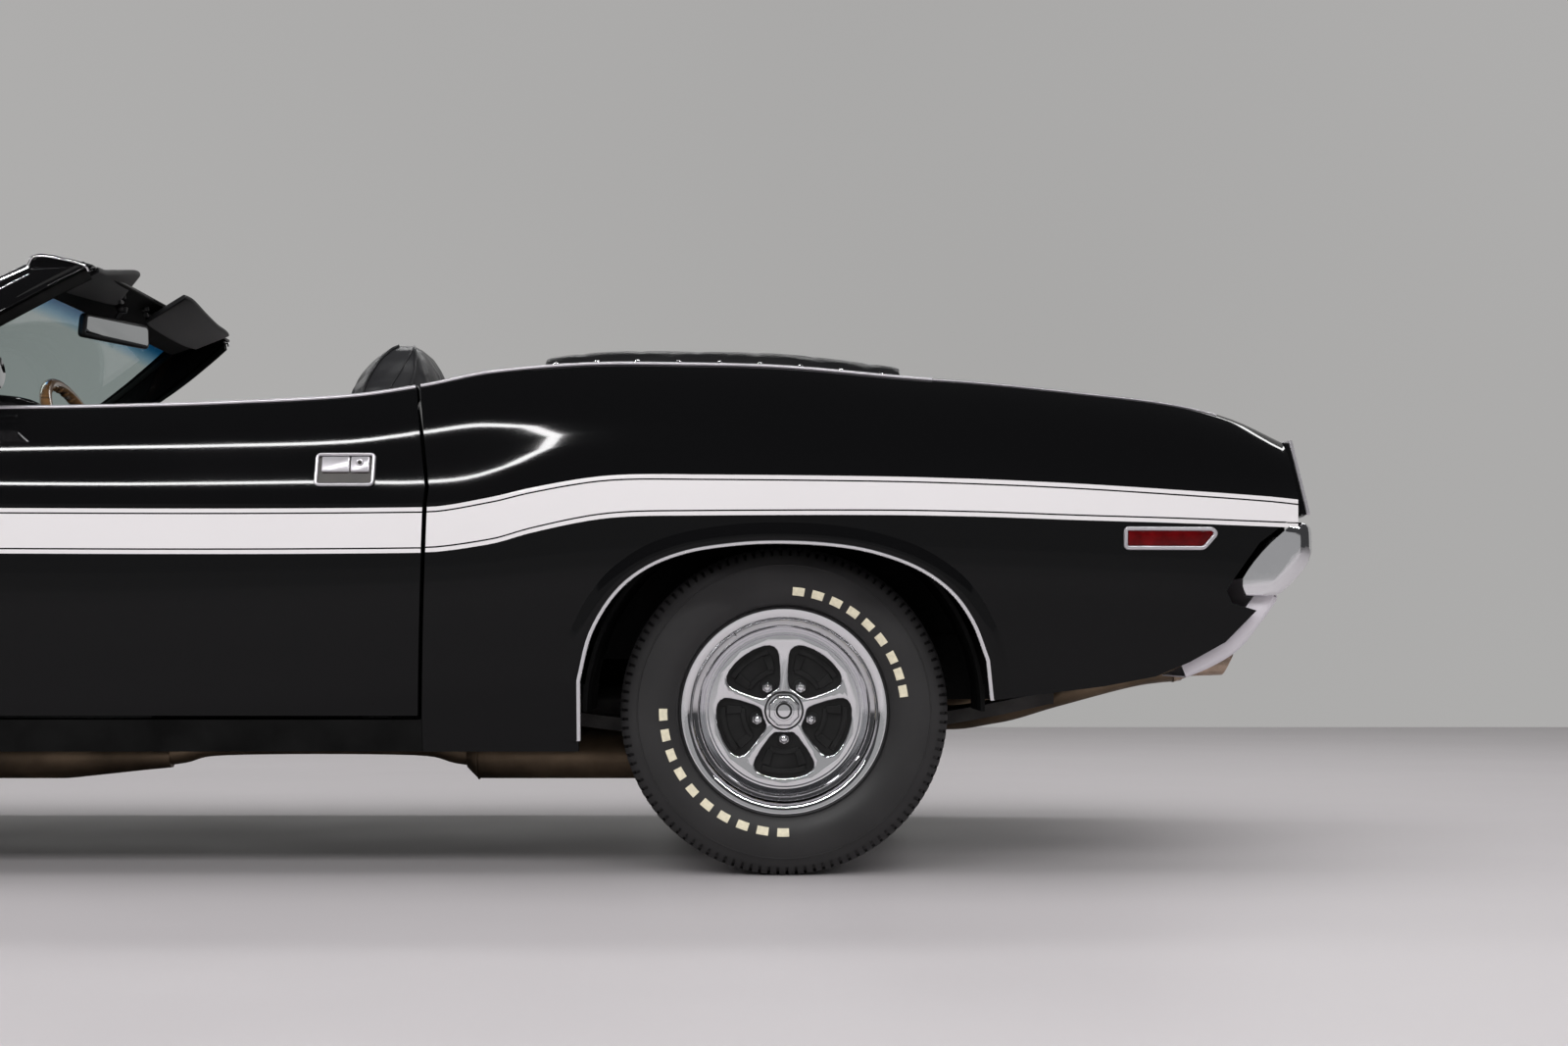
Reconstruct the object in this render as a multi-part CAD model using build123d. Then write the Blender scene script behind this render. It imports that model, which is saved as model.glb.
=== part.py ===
from build123d import *
import math
import os

# A two-door open car of the muscle-car type, with its top folded away under a boot cover.
# Millimetres. +X is forward, +Y is the car's left, +Z is up. The origin is on the floor,
# at the middle of the overall length.

# ---------------------------------------------------------------- driving dimensions
LENGTH = 4860.0            # over the bumpers
WHEELBASE = 2794.0
REAR_OVERHANG = 1110.0     # rear axle to the rear bumper's middle
FRONT_TRACK = 1516.0
REAR_TRACK = 1542.0
TYRE_RADIUS = 327.0
TYRE_WIDTH = 232.0
RIM_RADIUS = 209.0         # over the trim ring
RIM_WIDTH = 190.0
BEAD_RADIUS = RIM_RADIUS - 18.0
GAP = 8.0                  # shut line between panels
HINGE_GAP = 9.0            # the same at the hinged edge of hood and lid
SEAT_GAP = 0.3             # between a piece and what carries it
PIN_PLAY = 0.3             # radial play of a hinge pin in its bore

WALL_PLANE = 862.0         # flat inner face of fenders and quarter panels, from the centre plane
DOOR_INNER = 770.0         # inner face of the doors and sills
SKIN_EDGE = 32.0           # thickness of the top flanges of fenders and quarters
LID_THICKNESS = 30.0       # hood and trunk lid

DOOR_FRONT = 754.0
DOOR_REAR_TOP = -583.0
DOOR_REAR_MIDDLE = -616.0
DOOR_REAR_BOTTOM = -600.0
DOOR_BOTTOM = 320.0
SILL_BOTTOM = 249.0

HOOD_REAR = 868.0
HOOD_FRONT = 2318.0
BODY_FRONT = 2330.0        # front end of the fenders
NOSE_FRONT = 2388.0        # front face of the grille surround
LID_FRONT = -1722.0        # trunk lid's front edge
LID_REAR = -2323.0         # and its rear edge
BODY_REAR = -2335.0        # rear end of the quarter panels
TAIL_THICKNESS = 17.0

SPINDLE_RADIUS = 17.0
HINGE_PIN_RADIUS = 6.0
DOOR_HINGE_BACK = 110.0    # door hinge axis behind the door's front edge
DOOR_HINGE_Y = 921.0
DOOR_BEVEL = 10.0          # how much shorter the door is at its inner face
LID_HINGE_BACK = 60.0      # hood and lid hinge axes from the hinged edge
LID_HINGE_DROP = 15.0      # and below the top face at the hinge
ARM = 16.0                 # width of a hinge arm
HINGE_NOTCH = 60.0         # height of the notch that a door hinge arm works in
DOOR_HINGE_HEIGHTS = (470.0, 690.0)
LID_HINGE_Y = 250.0

FLOOR_TOP = 285.0
FLOOR_THICKNESS = 15.0
TUNNEL_HALF = 150.0
TUNNEL_TOP = 450.0
REAR_FLOOR_TOP = 470.0
RAIL_INNER = 380.0
RAIL_OUTER = 455.0
RAIL_BOTTOM = 330.0
RAIL_TOP = 430.0
KINGPIN_Y = 645.0
STEER_CLEAR = 466.0        # the steered tyre stays outboard of this
HOUSE_WALL = 8.0
PIPE_Y = 330.0             # exhaust pipes under the floor
TIP_Y = 520.0              # and their tips
TIP_TOP = 444.0
PIPE_Z = 215.0             # middle of the pipes and mufflers under the floor
PIPE_RADIUS = 27.0
MUFFLER_RADIUS = 52.0
TANK_BOTTOM = 374.0

COWL_FRONT = HOOD_REAR - HINGE_GAP
COWL_REAR = 690.0
FIREWALL_X = 790.0
POST_FRONT = 850.0         # front end of the posts that carry the door hinges
KICK_HALF = 722.0          # outer face of the kick panels that carry the pillars
POST_INNER = 700.0         # inner face of posts and kick panels
DECK_FRONT = -1575.0
DECK_WALL_X = -1640.0      # wall under the deck panel
TRUNK_HALF = 610.0         # half width between the rear wheel tubs
KICK_UP = -690.0           # where the floor steps up to the rear floor
TRUNK_FLOOR_REAR = -2231.7
TUB_INNER = 618.0          # inner end of the rear wheel tubs
REAR_TUB_RADIUS = 392.0
FRONT_TUB_RADIUS = 428.0

SUPPORT_X = 2200.0         # rear face of the radiator support
SUPPORT_THICKNESS = 12.0
RADIATOR_DEPTH = 50.0
GRILLE_X = BODY_FRONT - 36.0
GRILLE_THICKNESS = 14.0
LAMP_PLACES = ((550.0, 686.0), (690.0, 686.0))     # half width and height of the lamps
LAMP_RADIUS = 62.0
PLATE_SPACING = 177.8      # number plate screws
PLATE_HOLE_RADIUS = 3.2
PLATE_HOLE_DEPTH = 30.0
TAIL_FACE = BODY_REAR - TAIL_THICKNESS
LAMP_RECESS = 11.0         # depth of the tail lamps' recess
REAR_BUMPER_LOW = 556.0
REAR_BUMPER_HIGH = 702.0
FRONT_BUMPER_LOW = 440.0
FRONT_BUMPER_HIGH = 570.0

SEAT_MIDDLE = 415.0
SEAT_HALF = 250.0
TRIM_INNER = 674.0         # rear side trims
TRIM_OUTER = 686.0
CONSOLE_HALF = 110.0
WHEEL_MIDDLE = (209.0, 370.0, 859.0)
COLUMN_TILT = math.radians(24.0)
STEERING_RADIUS = 190.0
VISOR_SPAN = (0.2, 0.86)   # from the middle outwards, as shares of the header's half width
MIRROR_X = 262.0           # inside mirror
MIRROR_Z = 1205.0
BOOT_MIDDLE_FRONT = -1150.0    # between the wings the cover starts behind the rear seat's back
BOOT_WING_INNER = 540.0
BOOT_EDGE = 14.0           # thickness of the cover near its edge
HANDLE_X = (-512.0, -397.0)
HANDLE_Z = (770.0, 841.0)
MIRROR_FOOT = (165.0, 335.0)

BALL_JOINT_RISE = 125.0    # upper and lower ball joints from the axle's height
BALL_JOINT_DROP = 131.0
SPRING_Y = 545.0
SPRING_WIDTH = 60.0
HUB_IN = 40.0              # rear axle's flange inboard of the wheel's middle

# ---------------------------------------------------------------- places worked out from them
# Each drawn x belongs to a car 4860 long with its axles here. at_x moves it to its
# place for the driving dimensions: the two ends and the two wheel zones move whole, and the
# stretches between them lengthen or shorten.
X_REAR_END = -2430.0
X_REAR_AXLE = -1320.0
X_FRONT_AXLE = 1474.0
X_FRONT_END = 2430.0
AXLE_Z = TYRE_RADIUS
END_ZONE = 290.0
WHEEL_ZONE = 450.0


def at_x(x):
    """The real place of a drawn x."""
    rear_axle_x = REAR_OVERHANG - LENGTH / 2
    front_axle_x = rear_axle_x + WHEELBASE
    anchors = []
    for drawn, real, reach in (
        (X_FRONT_END, LENGTH / 2, END_ZONE),
        (X_FRONT_AXLE, front_axle_x, WHEEL_ZONE),
        (X_REAR_AXLE, rear_axle_x, WHEEL_ZONE),
        (X_REAR_END, -LENGTH / 2, END_ZONE),
    ):
        anchors += [(drawn + reach, real + reach), (drawn - reach, real - reach)]
    for (front, front_real), (rear, rear_real) in zip(anchors, anchors[1:]):
        if x >= rear:
            return rear_real + (x - rear) * (front_real - rear_real) / (front - rear)
    return x + anchors[-1][1] - anchors[-1][0]

# ---------------------------------------------------------------- the left body side, by sections
# x, bottom half width, crease height and half width, belt height and half width, inner rim half width
SIDE = (
    (2330.0, 870.0, 640.0, 905.0, 800.0, 765.0, 640.0),
    (2150.0, 880.0, 668.0, 928.0, 838.0, 782.0, 655.0),
    (1800.0, 895.0, 700.0, 948.0, 879.0, 800.0, 672.0),
    (1474.0, 902.0, 718.0, 955.0, 905.0, 812.0, 686.0),
    (1100.0, 905.0, 730.0, 950.0, 924.0, 822.0, 700.0),
    (754.0, 905.0, 735.0, 945.0, 935.0, 830.0, 712.0),
    (262.0, 905.0, 735.0, 941.0, 937.0, 832.0, 712.0),
    (0.0, 905.0, 735.0, 941.0, 941.0, 832.0, 712.0),
    (-193.0, 905.0, 735.0, 943.0, 947.0, 831.0, 712.0),
    (-450.0, 905.0, 735.0, 948.0, 961.0, 829.0, 712.0),
    (-600.0, 905.0, 736.0, 951.0, 983.0, 826.0, 708.0),
    (-727.0, 905.0, 744.0, 954.0, 1010.0, 818.0, 700.0),
    (-925.0, 905.0, 778.0, 960.0, 1028.0, 803.0, 690.0),
    (-1122.0, 905.0, 791.0, 965.0, 1029.0, 792.0, 680.0),
    (-1320.0, 905.0, 792.0, 967.0, 1024.0, 785.0, 672.0),
    (-1567.0, 904.0, 787.0, 965.0, 1003.0, 779.0, 660.0),
    (-1722.0, 902.0, 781.0, 960.0, 992.0, 776.0, 652.0),
    (-1913.0, 896.0, 774.0, 950.0, 973.0, 770.0, 646.0),
    (-2111.0, 886.0, 763.0, 936.0, 949.0, 762.0, 640.0),
    (-2233.0, 878.0, 755.0, 922.0, 918.0, 754.0, 640.0),
    (-2335.0, 870.0, 748.0, 908.0, 872.0, 746.0, 640.0),
)
BULGE_UP = 0.45            # the lower bulge's height, as a share of bottom to crease
BULGE_OUT = 0.80           # and how much of the widening it has
SHOULDER_UP = 0.55         # the shoulder's height, as a share of crease to belt
SHOULDER_IN = 0.45         # and how much of the narrowing it has
CROWN_HOOD = 34.0          # rise of the hood's middle over its edge
CROWN_LID = 24.0
ABOVE = 1500.0             # a height above every panel
BELOW = 50.0               # and one below
OUTSIDE = 1100.0           # a half width outside every panel


def side_at(x):
    """The side's sizes at x, straight between the table's sections."""
    if x >= SIDE[0][0]:
        return SIDE[0][1:]
    for front, rear in zip(SIDE, SIDE[1:]):
        if x >= rear[0]:
            t = (front[0] - x) / (front[0] - rear[0])
            return tuple(a + (b - a) * t for a, b in zip(front[1:], rear[1:]))
    return SIDE[-1][1:]


def belt_z(x):
    return side_at(x)[3]


def rim_y(x):
    return side_at(x)[5]


def outer_y(x, z):
    """Half width of the outer skin at x and height z, between bottom and belt."""
    half, crease_z, crease_y, top_z, top_y, _ = side_at(x)
    line = (
        (SILL_BOTTOM, half),
        (SILL_BOTTOM + BULGE_UP * (crease_z - SILL_BOTTOM), half + BULGE_OUT * (crease_y - half)),
        (crease_z, crease_y),
        (crease_z + SHOULDER_UP * (top_z - crease_z), crease_y - SHOULDER_IN * (crease_y - top_y)),
        (top_z, top_y),
    )
    for low, high in zip(line, line[1:]):
        if z <= high[0]:
            t = (z - low[0]) / (high[0] - low[0])
            return low[1] + (high[1] - low[1]) * t
    return top_y


def skin_points(x, bottom):
    """Outer skin of the left side at x, from the bottom edge up to the belt, as (y, z)."""
    half, crease_z, crease_y, top_z, top_y, _ = side_at(x)
    bulge_z = SILL_BOTTOM + BULGE_UP * (crease_z - SILL_BOTTOM)
    return [
        (outer_y(x, bottom), bottom),
        (half + BULGE_OUT * (crease_y - half), bulge_z),
        (crease_y, crease_z),
        (crease_y - SHOULDER_IN * (crease_y - top_y), crease_z + SHOULDER_UP * (top_z - crease_z)),
        (top_y, top_z),
    ]


# ---------------------------------------------------------------- shape helpers
def block(x0, x1, y0, y1, z0, z1):
    x0, x1 = at_x(x0), at_x(x1)
    return Pos((x0 + x1) / 2, (y0 + y1) / 2, (z0 + z1) / 2) * Box(abs(x1 - x0), abs(y1 - y0), abs(z1 - z0))


def flat(points):
    """The flat face inside a closed outline of drawn 3-D points."""
    return make_face(Polyline(*[(at_x(x), y, z) for x, y, z in points], close=True))


def plate(points, direction, amount):
    """A flat closed outline of drawn 3-D points, pushed along direction."""
    return extrude(flat(points), amount=amount, dir=direction)


def prism_y(points, y0, y1):
    return plate([(x, y0, z) for x, z in points], (0, 1, 0), y1 - y0)


def prism_x(points, x0, x1):
    return plate([(x0, y, z) for y, z in points], (1, 0, 0), at_x(x1) - at_x(x0))


def prism_z(points, z0, z1):
    return plate([(x, y, z0) for x, y in points], (0, 0, 1), z1 - z0)


def rod(start, end, radius):
    """A round bar from start to end."""
    foot = Vector(at_x(start[0]), *start[1:])
    axis = Vector(at_x(end[0]), *end[1:]) - foot
    return Plane(origin=foot, z_dir=axis) * Cylinder(
        radius, axis.length, align=(Align.CENTER, Align.CENTER, Align.MIN)
    )


def other_side(shape):
    return mirror(shape, about=Plane.XZ)


def both_sides(shape):
    return [shape, other_side(shape)]


def section_loft(stations, outline):
    """A straight-sided loft through outline(x), a closed list of (y, z), at each station."""
    return loft([flat([(x, y, z) for y, z in outline(x)]) for x in stations], ruled=True)


def stations_between(front, rear):
    inner = [row[0] for row in SIDE if rear + 1 < row[0] < front - 1]
    return [front] + inner + [rear]


def solids_of(shape):
    """The solids of a shape, or of a list of shapes, as one flat list."""
    if isinstance(shape, (list, tuple)):
        return [s for item in shape for s in solids_of(item)]
    return list(shape.solids())


# ---------------------------------------------------------------- outlines seen from the side
def arch_face(x_axle, y0):
    """The wheel opening's outline about an axle: upright legs, round corners and a flat crown."""
    def p(dx, z):
        return (at_x(x_axle) + dx, y0, z)
    edges = [
        Line(p(408, BELOW), p(404, 390)),
        ThreePointArc(p(404, 390), p(330, 562), p(191, 642)),
        ThreePointArc(p(191, 642), p(20, 661), p(-170, 643)),
        ThreePointArc(p(-170, 643), p(-325, 566), p(-400, 430)),
        Line(p(-400, 430), p(-445, BELOW)),
        Line(p(-445, BELOW), p(408, BELOW)),
    ]
    return make_face(edges)


def arch_cut(x_axle):
    return extrude(arch_face(x_axle, 500.0), amount=OUTSIDE - 500.0, dir=(0, 1, 0))


DOOR_OUTLINE = (
    (DOOR_FRONT, DOOR_BOTTOM),
    (DOOR_FRONT, ABOVE),
    (DOOR_REAR_TOP, ABOVE),
    (DOOR_REAR_TOP, 985.0),
    (DOOR_REAR_MIDDLE, 770.0),
    (DOOR_REAR_BOTTOM, DOOR_BOTTOM),
)
QUARTER_OUTLINE = (
    (DOOR_REAR_TOP - GAP, ABOVE),
    (DOOR_REAR_TOP - GAP, 985.0),
    (DOOR_REAR_MIDDLE - GAP, 770.0),
    (DOOR_REAR_BOTTOM - GAP, DOOR_BOTTOM),
    (DOOR_REAR_BOTTOM - GAP, SILL_BOTTOM),
    (-1740.0, SILL_BOTTOM),
    (-1741.0, 350.0),
    (-1950.0, 378.0),
    (-2084.0, 404.0),
    (-2180.0, 468.0),
    (-2222.0, 540.0),
    (-2206.0, 575.0),
    (-2255.0, 660.0),
    (-2315.0, 705.0),
    (BODY_REAR, 716.0),
    (BODY_REAR, ABOVE),
)
FENDER_OUTLINE = (
    (DOOR_FRONT + GAP, SILL_BOTTOM),
    (DOOR_FRONT + GAP, ABOVE),
    (BODY_FRONT, ABOVE),
    (BODY_FRONT, 585.0),
    (2300.0, 570.0),
    (2280.0, 430.0),
    (2100.0, 345.0),
    (1890.0, 330.0),
    (1888.0, SILL_BOTTOM),
)


# ---------------------------------------------------------------- body panels
def side_wall(front, rear):
    """The side from bottom to belt with its top flange, one closed section swept through the table."""
    def outline(x):
        top_z, rim = belt_z(x), rim_y(x)
        skin = skin_points(x, SILL_BOTTOM)
        shoulder_z = skin[3][1]
        return skin + [
            (rim, top_z + 4.0),
            (rim, top_z + 4.0 - SKIN_EDGE),
            (skin[4][0] - SKIN_EDGE, top_z - SKIN_EDGE),
            (WALL_PLANE - 40.0, shoulder_z),
            (WALL_PLANE, skin[2][1]),
            (WALL_PLANE, SILL_BOTTOM),
        ]
    return section_loft(stations_between(front, rear), outline)


def fender():
    wall = side_wall(BODY_FRONT, DOOR_FRONT + GAP)
    shape = wall & prism_y(FENDER_OUTLINE, 0.0, OUTSIDE)
    return shape - arch_cut(X_FRONT_AXLE)


def quarter():
    wall = side_wall(DOOR_REAR_TOP - GAP, BODY_REAR)
    shape = wall & prism_y(QUARTER_OUTLINE, 0.0, OUTSIDE)
    return shape - arch_cut(X_REAR_AXLE)


def door_rear_bevel():
    """What comes off the rear edge inboard of the skin, so that it swings past the quarter panel."""
    def behind(y, shift):
        edge = [(DOOR_REAR_TOP, ABOVE), (DOOR_REAR_TOP, 985.0), (DOOR_REAR_MIDDLE, 770.0),
                (DOOR_REAR_BOTTOM, 300.0)]
        back = DOOR_REAR_MIDDLE - 80.0
        points = [(x + shift, y, z) for x, z in edge] + [(back, y, 300.0), (back, y, ABOVE)]
        return flat(points)
    return loft([behind(WALL_PLANE, 0.0), behind(DOOR_INNER - 10.0, DOOR_BEVEL)], ruled=True)


def door():
    """Outer skin to trim panel as one thick leaf, with a notch and a bore for each hinge arm."""
    def outline(x):
        skin = skin_points(x, SILL_BOTTOM)
        top = skin[4][1]
        return skin + [(DOOR_INNER, top), (DOOR_INNER, SILL_BOTTOM)]
    leaf = section_loft(stations_between(DOOR_FRONT, DOOR_REAR_MIDDLE - 4.0), outline)
    leaf = leaf & prism_y(DOOR_OUTLINE, 0.0, OUTSIDE)
    leaf -= door_rear_bevel()
    pin_x = DOOR_FRONT - DOOR_HINGE_BACK
    for z in DOOR_HINGE_HEIGHTS:
        leaf -= block(
            pin_x - ARM, DOOR_FRONT + 1, DOOR_INNER - 1, DOOR_HINGE_Y + ARM / 2 + 2,
            z - HINGE_NOTCH / 2, z + HINGE_NOTCH / 2,
        )
        leaf -= rod(
            (pin_x, DOOR_HINGE_Y, z - HINGE_NOTCH / 2 - 16),
            (pin_x, DOOR_HINGE_Y, z + HINGE_NOTCH / 2 + 16),
            HINGE_PIN_RADIUS + PIN_PLAY,
        )
    return leaf


def door_hinge_arms():
    """Goose-neck arms from the front post: inward past the door's swing, then forward."""
    pin_x, post_x = DOOR_FRONT - DOOR_HINGE_BACK, DOOR_FRONT + GAP
    reach = DOOR_HINGE_Y - DOOR_INNER + 34.0
    arm_y = DOOR_HINGE_Y - reach
    half = HINGE_NOTCH / 2 - 6.0
    arms = []
    for z in DOOR_HINGE_HEIGHTS:
        pin_end = HINGE_NOTCH / 2 + 15.0
        arm = rod((pin_x, DOOR_HINGE_Y, z - half), (pin_x, DOOR_HINGE_Y, z + half), ARM / 2)
        arm += block(pin_x - ARM / 2, pin_x + ARM / 2, arm_y - ARM / 2, DOOR_HINGE_Y, z - half, z + half)
        arm += block(pin_x - ARM / 2, post_x + 1, arm_y - ARM / 2, arm_y + ARM / 2, z - half, z + half)
        arm += rod((pin_x, DOOR_HINGE_Y, z - pin_end), (pin_x, DOOR_HINGE_Y, z + pin_end), HINGE_PIN_RADIUS)
        arms.append(arm)
    return arms


def top_panel(front, rear, crown, inset):
    """A crowned panel between the rims, LID_THICKNESS thick."""
    def outline(x):
        half, edge = rim_y(x) - inset, belt_z(x) + 4.0
        steps = (-1.0, -0.7, -0.35, 0.0, 0.35, 0.7, 1.0)
        top = [(half * s, edge + crown * (1 - s * s)) for s in steps]
        return top + [(y, z - LID_THICKNESS) for y, z in reversed(top)]
    return section_loft(stations_between(front, rear), outline)


def lid_pin(edge, toward):
    """Hinge axis of the hood (toward +1) or trunk lid (toward -1): its x and z."""
    x = edge + toward * LID_HINGE_BACK
    crown = CROWN_HOOD if toward > 0 else CROWN_LID
    rise = crown * (1 - (LID_HINGE_Y / (rim_y(x) - GAP)) ** 2)
    return x, belt_z(x) + 4.0 + rise - LID_HINGE_DROP


def lid_with_hinges(panel, edge, toward):
    """Cuts a notch for each hinge arm into the underside, and its bore."""
    x, z = lid_pin(edge, toward)
    for side in (-1, 1):
        y = side * LID_HINGE_Y
        half = ARM / 2 + 5.0
        far = edge - toward * 5.0
        panel -= block(min(x + toward * ARM, far), max(x + toward * ARM, far),
                       y - half, y + half, z - 60.0, z + 8.5)
        panel -= rod((x, y - half - 14, z), (x, y + half + 14, z), HINGE_PIN_RADIUS + PIN_PLAY)
    return panel


def lid_arms(edge, toward, drop, back_to):
    """Arms for the hood or lid: down from the pin, then back to the wall at back_to."""
    x, z = lid_pin(edge, toward)
    half = ARM / 2
    arms = []
    for side in (-1, 1):
        y = side * LID_HINGE_Y
        arm = rod((x, y - half, z), (x, y + half, z), half)
        arm += block(x - half, x + half, y - half, y + half, z - drop - half, z)
        arm += block(min(x - half, back_to), max(x + half, back_to),
                     y - half, y + half, z - drop - half, z - drop + half)
        arm += rod((x, y - half - 18, z), (x, y + half + 18, z), HINGE_PIN_RADIUS)
        arms.append(arm)
    return arms


def hood():
    panel = top_panel(HOOD_FRONT, HOOD_REAR, CROWN_HOOD, GAP)
    return lid_with_hinges(panel, HOOD_REAR, 1)


def trunk_lid():
    panel = top_panel(LID_FRONT, LID_REAR, CROWN_LID, GAP)
    return lid_with_hinges(panel, LID_FRONT, -1)


def cowl():
    """Cowl top, firewall and the two front posts that the doors and hood hang on."""
    def outline(x):
        half, edge = rim_y(x) - SEAT_GAP, belt_z(x) + 4.0
        steps = (-1.0, -0.5, 0.0, 0.5, 1.0)
        top = [(half * s, edge + CROWN_HOOD * (1 - s * s)) for s in steps]
        return top + [(y, z - SKIN_EDGE) for y, z in reversed(top)]
    shape = section_loft(stations_between(COWL_FRONT, COWL_REAR), outline)
    wall_top = belt_z(FIREWALL_X) - SKIN_EDGE + 10.0
    shape += block(FIREWALL_X - 8, FIREWALL_X + 8, -706.0, 706.0, RAIL_TOP + 20.0, wall_top)
    post = [(POST_INNER, FLOOR_TOP + SEAT_GAP), (WALL_PLANE - SEAT_GAP, FLOOR_TOP + SEAT_GAP),
            (WALL_PLANE - SEAT_GAP, 728.0), (WALL_PLANE - 42.0, 838.0),
            (WALL_PLANE - 72.0, 880.0), (POST_INNER, belt_z(POST_FRONT) - SKIN_EDGE + 6.0)]
    kick = [(POST_INNER, FLOOR_TOP + SEAT_GAP), (KICK_HALF, FLOOR_TOP + SEAT_GAP),
            (KICK_HALF, PILLAR_FOOT_Z - SEAT_GAP), (POST_INNER, PILLAR_FOOT_Z - SEAT_GAP)]
    left_post = prism_x(post, DOOR_FRONT + GAP, POST_FRONT) + prism_x(kick, 640.0, DOOR_FRONT + GAP)
    shape += left_post
    shape += other_side(left_post)
    for arm in door_hinge_arms():
        shape += arm
        shape += other_side(arm)
    for arm in lid_arms(HOOD_REAR, 1, 90.0, FIREWALL_X):
        shape += arm
    return shape


def deck_panel():
    """Body panel between the boot cover and the trunk lid, with the wall under it."""
    def outline(x):
        half, edge = rim_y(x) - SEAT_GAP, belt_z(x) + 4.0
        steps = (-1.0, -0.5, 0.0, 0.5, 1.0)
        top = [(half * s, edge + CROWN_LID * (1 - s * s)) for s in steps]
        return top + [(y, z - SKIN_EDGE) for y, z in reversed(top)]
    shape = section_loft(stations_between(DECK_FRONT, LID_FRONT + HINGE_GAP), outline)
    shape += block(DECK_WALL_X - 6, DECK_WALL_X + 6, -TRUNK_HALF, TRUNK_HALF,
                   REAR_FLOOR_TOP, belt_z(DECK_WALL_X) - SKIN_EDGE + 12.0)
    for arm in lid_arms(LID_FRONT, -1, 90.0, DECK_WALL_X):
        shape += arm
    return shape


# ---------------------------------------------------------------- floor and frame
def underbody():
    """Floor, tunnel, sills, rear floor and front rails, welded as one."""
    sill_front, sill_rear = DOOR_FRONT + GAP, DOOR_REAR_BOTTOM - GAP
    t = FLOOR_THICKNESS
    shape = block(KICK_UP, FIREWALL_X - 8, -DOOR_INNER, DOOR_INNER, FLOOR_TOP - t, FLOOR_TOP)
    shape -= block(KICK_UP + t, FIREWALL_X, -TUNNEL_HALF + t, TUNNEL_HALF - t, BELOW, FLOOR_TOP + 1)
    shape += block(KICK_UP, FIREWALL_X - 8, -TUNNEL_HALF, TUNNEL_HALF, FLOOR_TOP - t, TUNNEL_TOP)
    shape -= block(KICK_UP - 1, FIREWALL_X, -TUNNEL_HALF + t, TUNNEL_HALF - t, BELOW, TUNNEL_TOP - t)
    # Toe board, up to the firewall.
    for side in (-1, 1):
        shape += block(FIREWALL_X - 24, FIREWALL_X - 8, side * TUNNEL_HALF, side * (POST_INNER - SEAT_GAP),
                       FLOOR_TOP - t, RAIL_TOP + 60.0)
    shape += block(KICK_UP - t, KICK_UP, -DOOR_INNER, DOOR_INNER, FLOOR_TOP - t, REAR_FLOOR_TOP)
    shape -= block(KICK_UP - t - 1, KICK_UP + 1, -TUNNEL_HALF + t, TUNNEL_HALF - t, BELOW, TUNNEL_TOP - t)
    shape += block(TRUNK_FLOOR_REAR, KICK_UP, -TRUNK_HALF, TRUNK_HALF, REAR_FLOOR_TOP - t, REAR_FLOOR_TOP)
    for side in (-1, 1):
        shape += block(X_REAR_AXLE + 408.0, KICK_UP, side * 600.0, side * (WALL_PLANE - SEAT_GAP),
                       REAR_FLOOR_TOP - t, REAR_FLOOR_TOP)
    # Lock pillars behind the doors, inside the quarter panels.
    jamb = [(705.0, FLOOR_TOP - 1), (WALL_PLANE - SEAT_GAP, FLOOR_TOP - 1), (WALL_PLANE - SEAT_GAP, 735.0),
            (WALL_PLANE - 41.0, 874.0), (790.0, 950.0), (705.0, 950.0)]
    left_jamb = prism_x(jamb, -646.0, -634.0)
    shape += left_jamb
    shape += other_side(left_jamb)
    # Sills: outer face on the body side's skin, top under the door.
    def sill(x):
        skin = skin_points(x, SILL_BOTTOM)
        top = DOOR_BOTTOM - GAP
        return [skin[0], (outer_y(x, top), top), (DOOR_INNER - 2.0, top), (DOOR_INNER - 2.0, SILL_BOTTOM)]
    left_sill = section_loft(stations_between(sill_front - 1, sill_rear + 1), sill)
    shape += left_sill
    shape += other_side(left_sill)
    for side in (-1, 1):
        shape += block(FIREWALL_X - 30, 2200.0, side * RAIL_INNER, side * RAIL_OUTER, RAIL_BOTTOM, RAIL_TOP)
    return shape


def wheelhouse(x_axle, radius, y_in, y_out, wall_bottom, leg_bottom):
    """Half-round tub over a wheel: a bent sheet, and an inner wall above wall_bottom."""
    def tub(r, y0, y1):
        body = rod((x_axle, y0, AXLE_Z), (x_axle, y1, AXLE_Z), r)
        return body & block(x_axle - r - 1, x_axle + r + 1, y0, y1, AXLE_Z, AXLE_Z + r + 1)
    shell = tub(radius + HOUSE_WALL, y_in, y_out) - tub(radius, y_in - 1, y_out + 1)
    for sign in (-1, 1):
        edge = x_axle + sign * radius
        shell += block(edge, edge + sign * HOUSE_WALL, y_in, y_out, leg_bottom, AXLE_Z + 1)
    face = tub(radius + HOUSE_WALL, y_in - HOUSE_WALL, y_in)
    face = face & block(x_axle - radius - 20, x_axle + radius + 20, y_in - HOUSE_WALL, y_in,
                        wall_bottom, AXLE_Z + radius + 20)
    return shell + face


def rear_wheelhouses():
    return both_sides(wheelhouse(X_REAR_AXLE, REAR_TUB_RADIUS, TUB_INNER, WALL_PLANE - SEAT_GAP,
                                 REAR_FLOOR_TOP - 40.0, 380.0))


def front_wheelhouses():
    tub = wheelhouse(X_FRONT_AXLE, FRONT_TUB_RADIUS, STEER_CLEAR, WALL_PLANE - SEAT_GAP, 560.0, 360.0)
    return both_sides(tub - fender())


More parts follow.
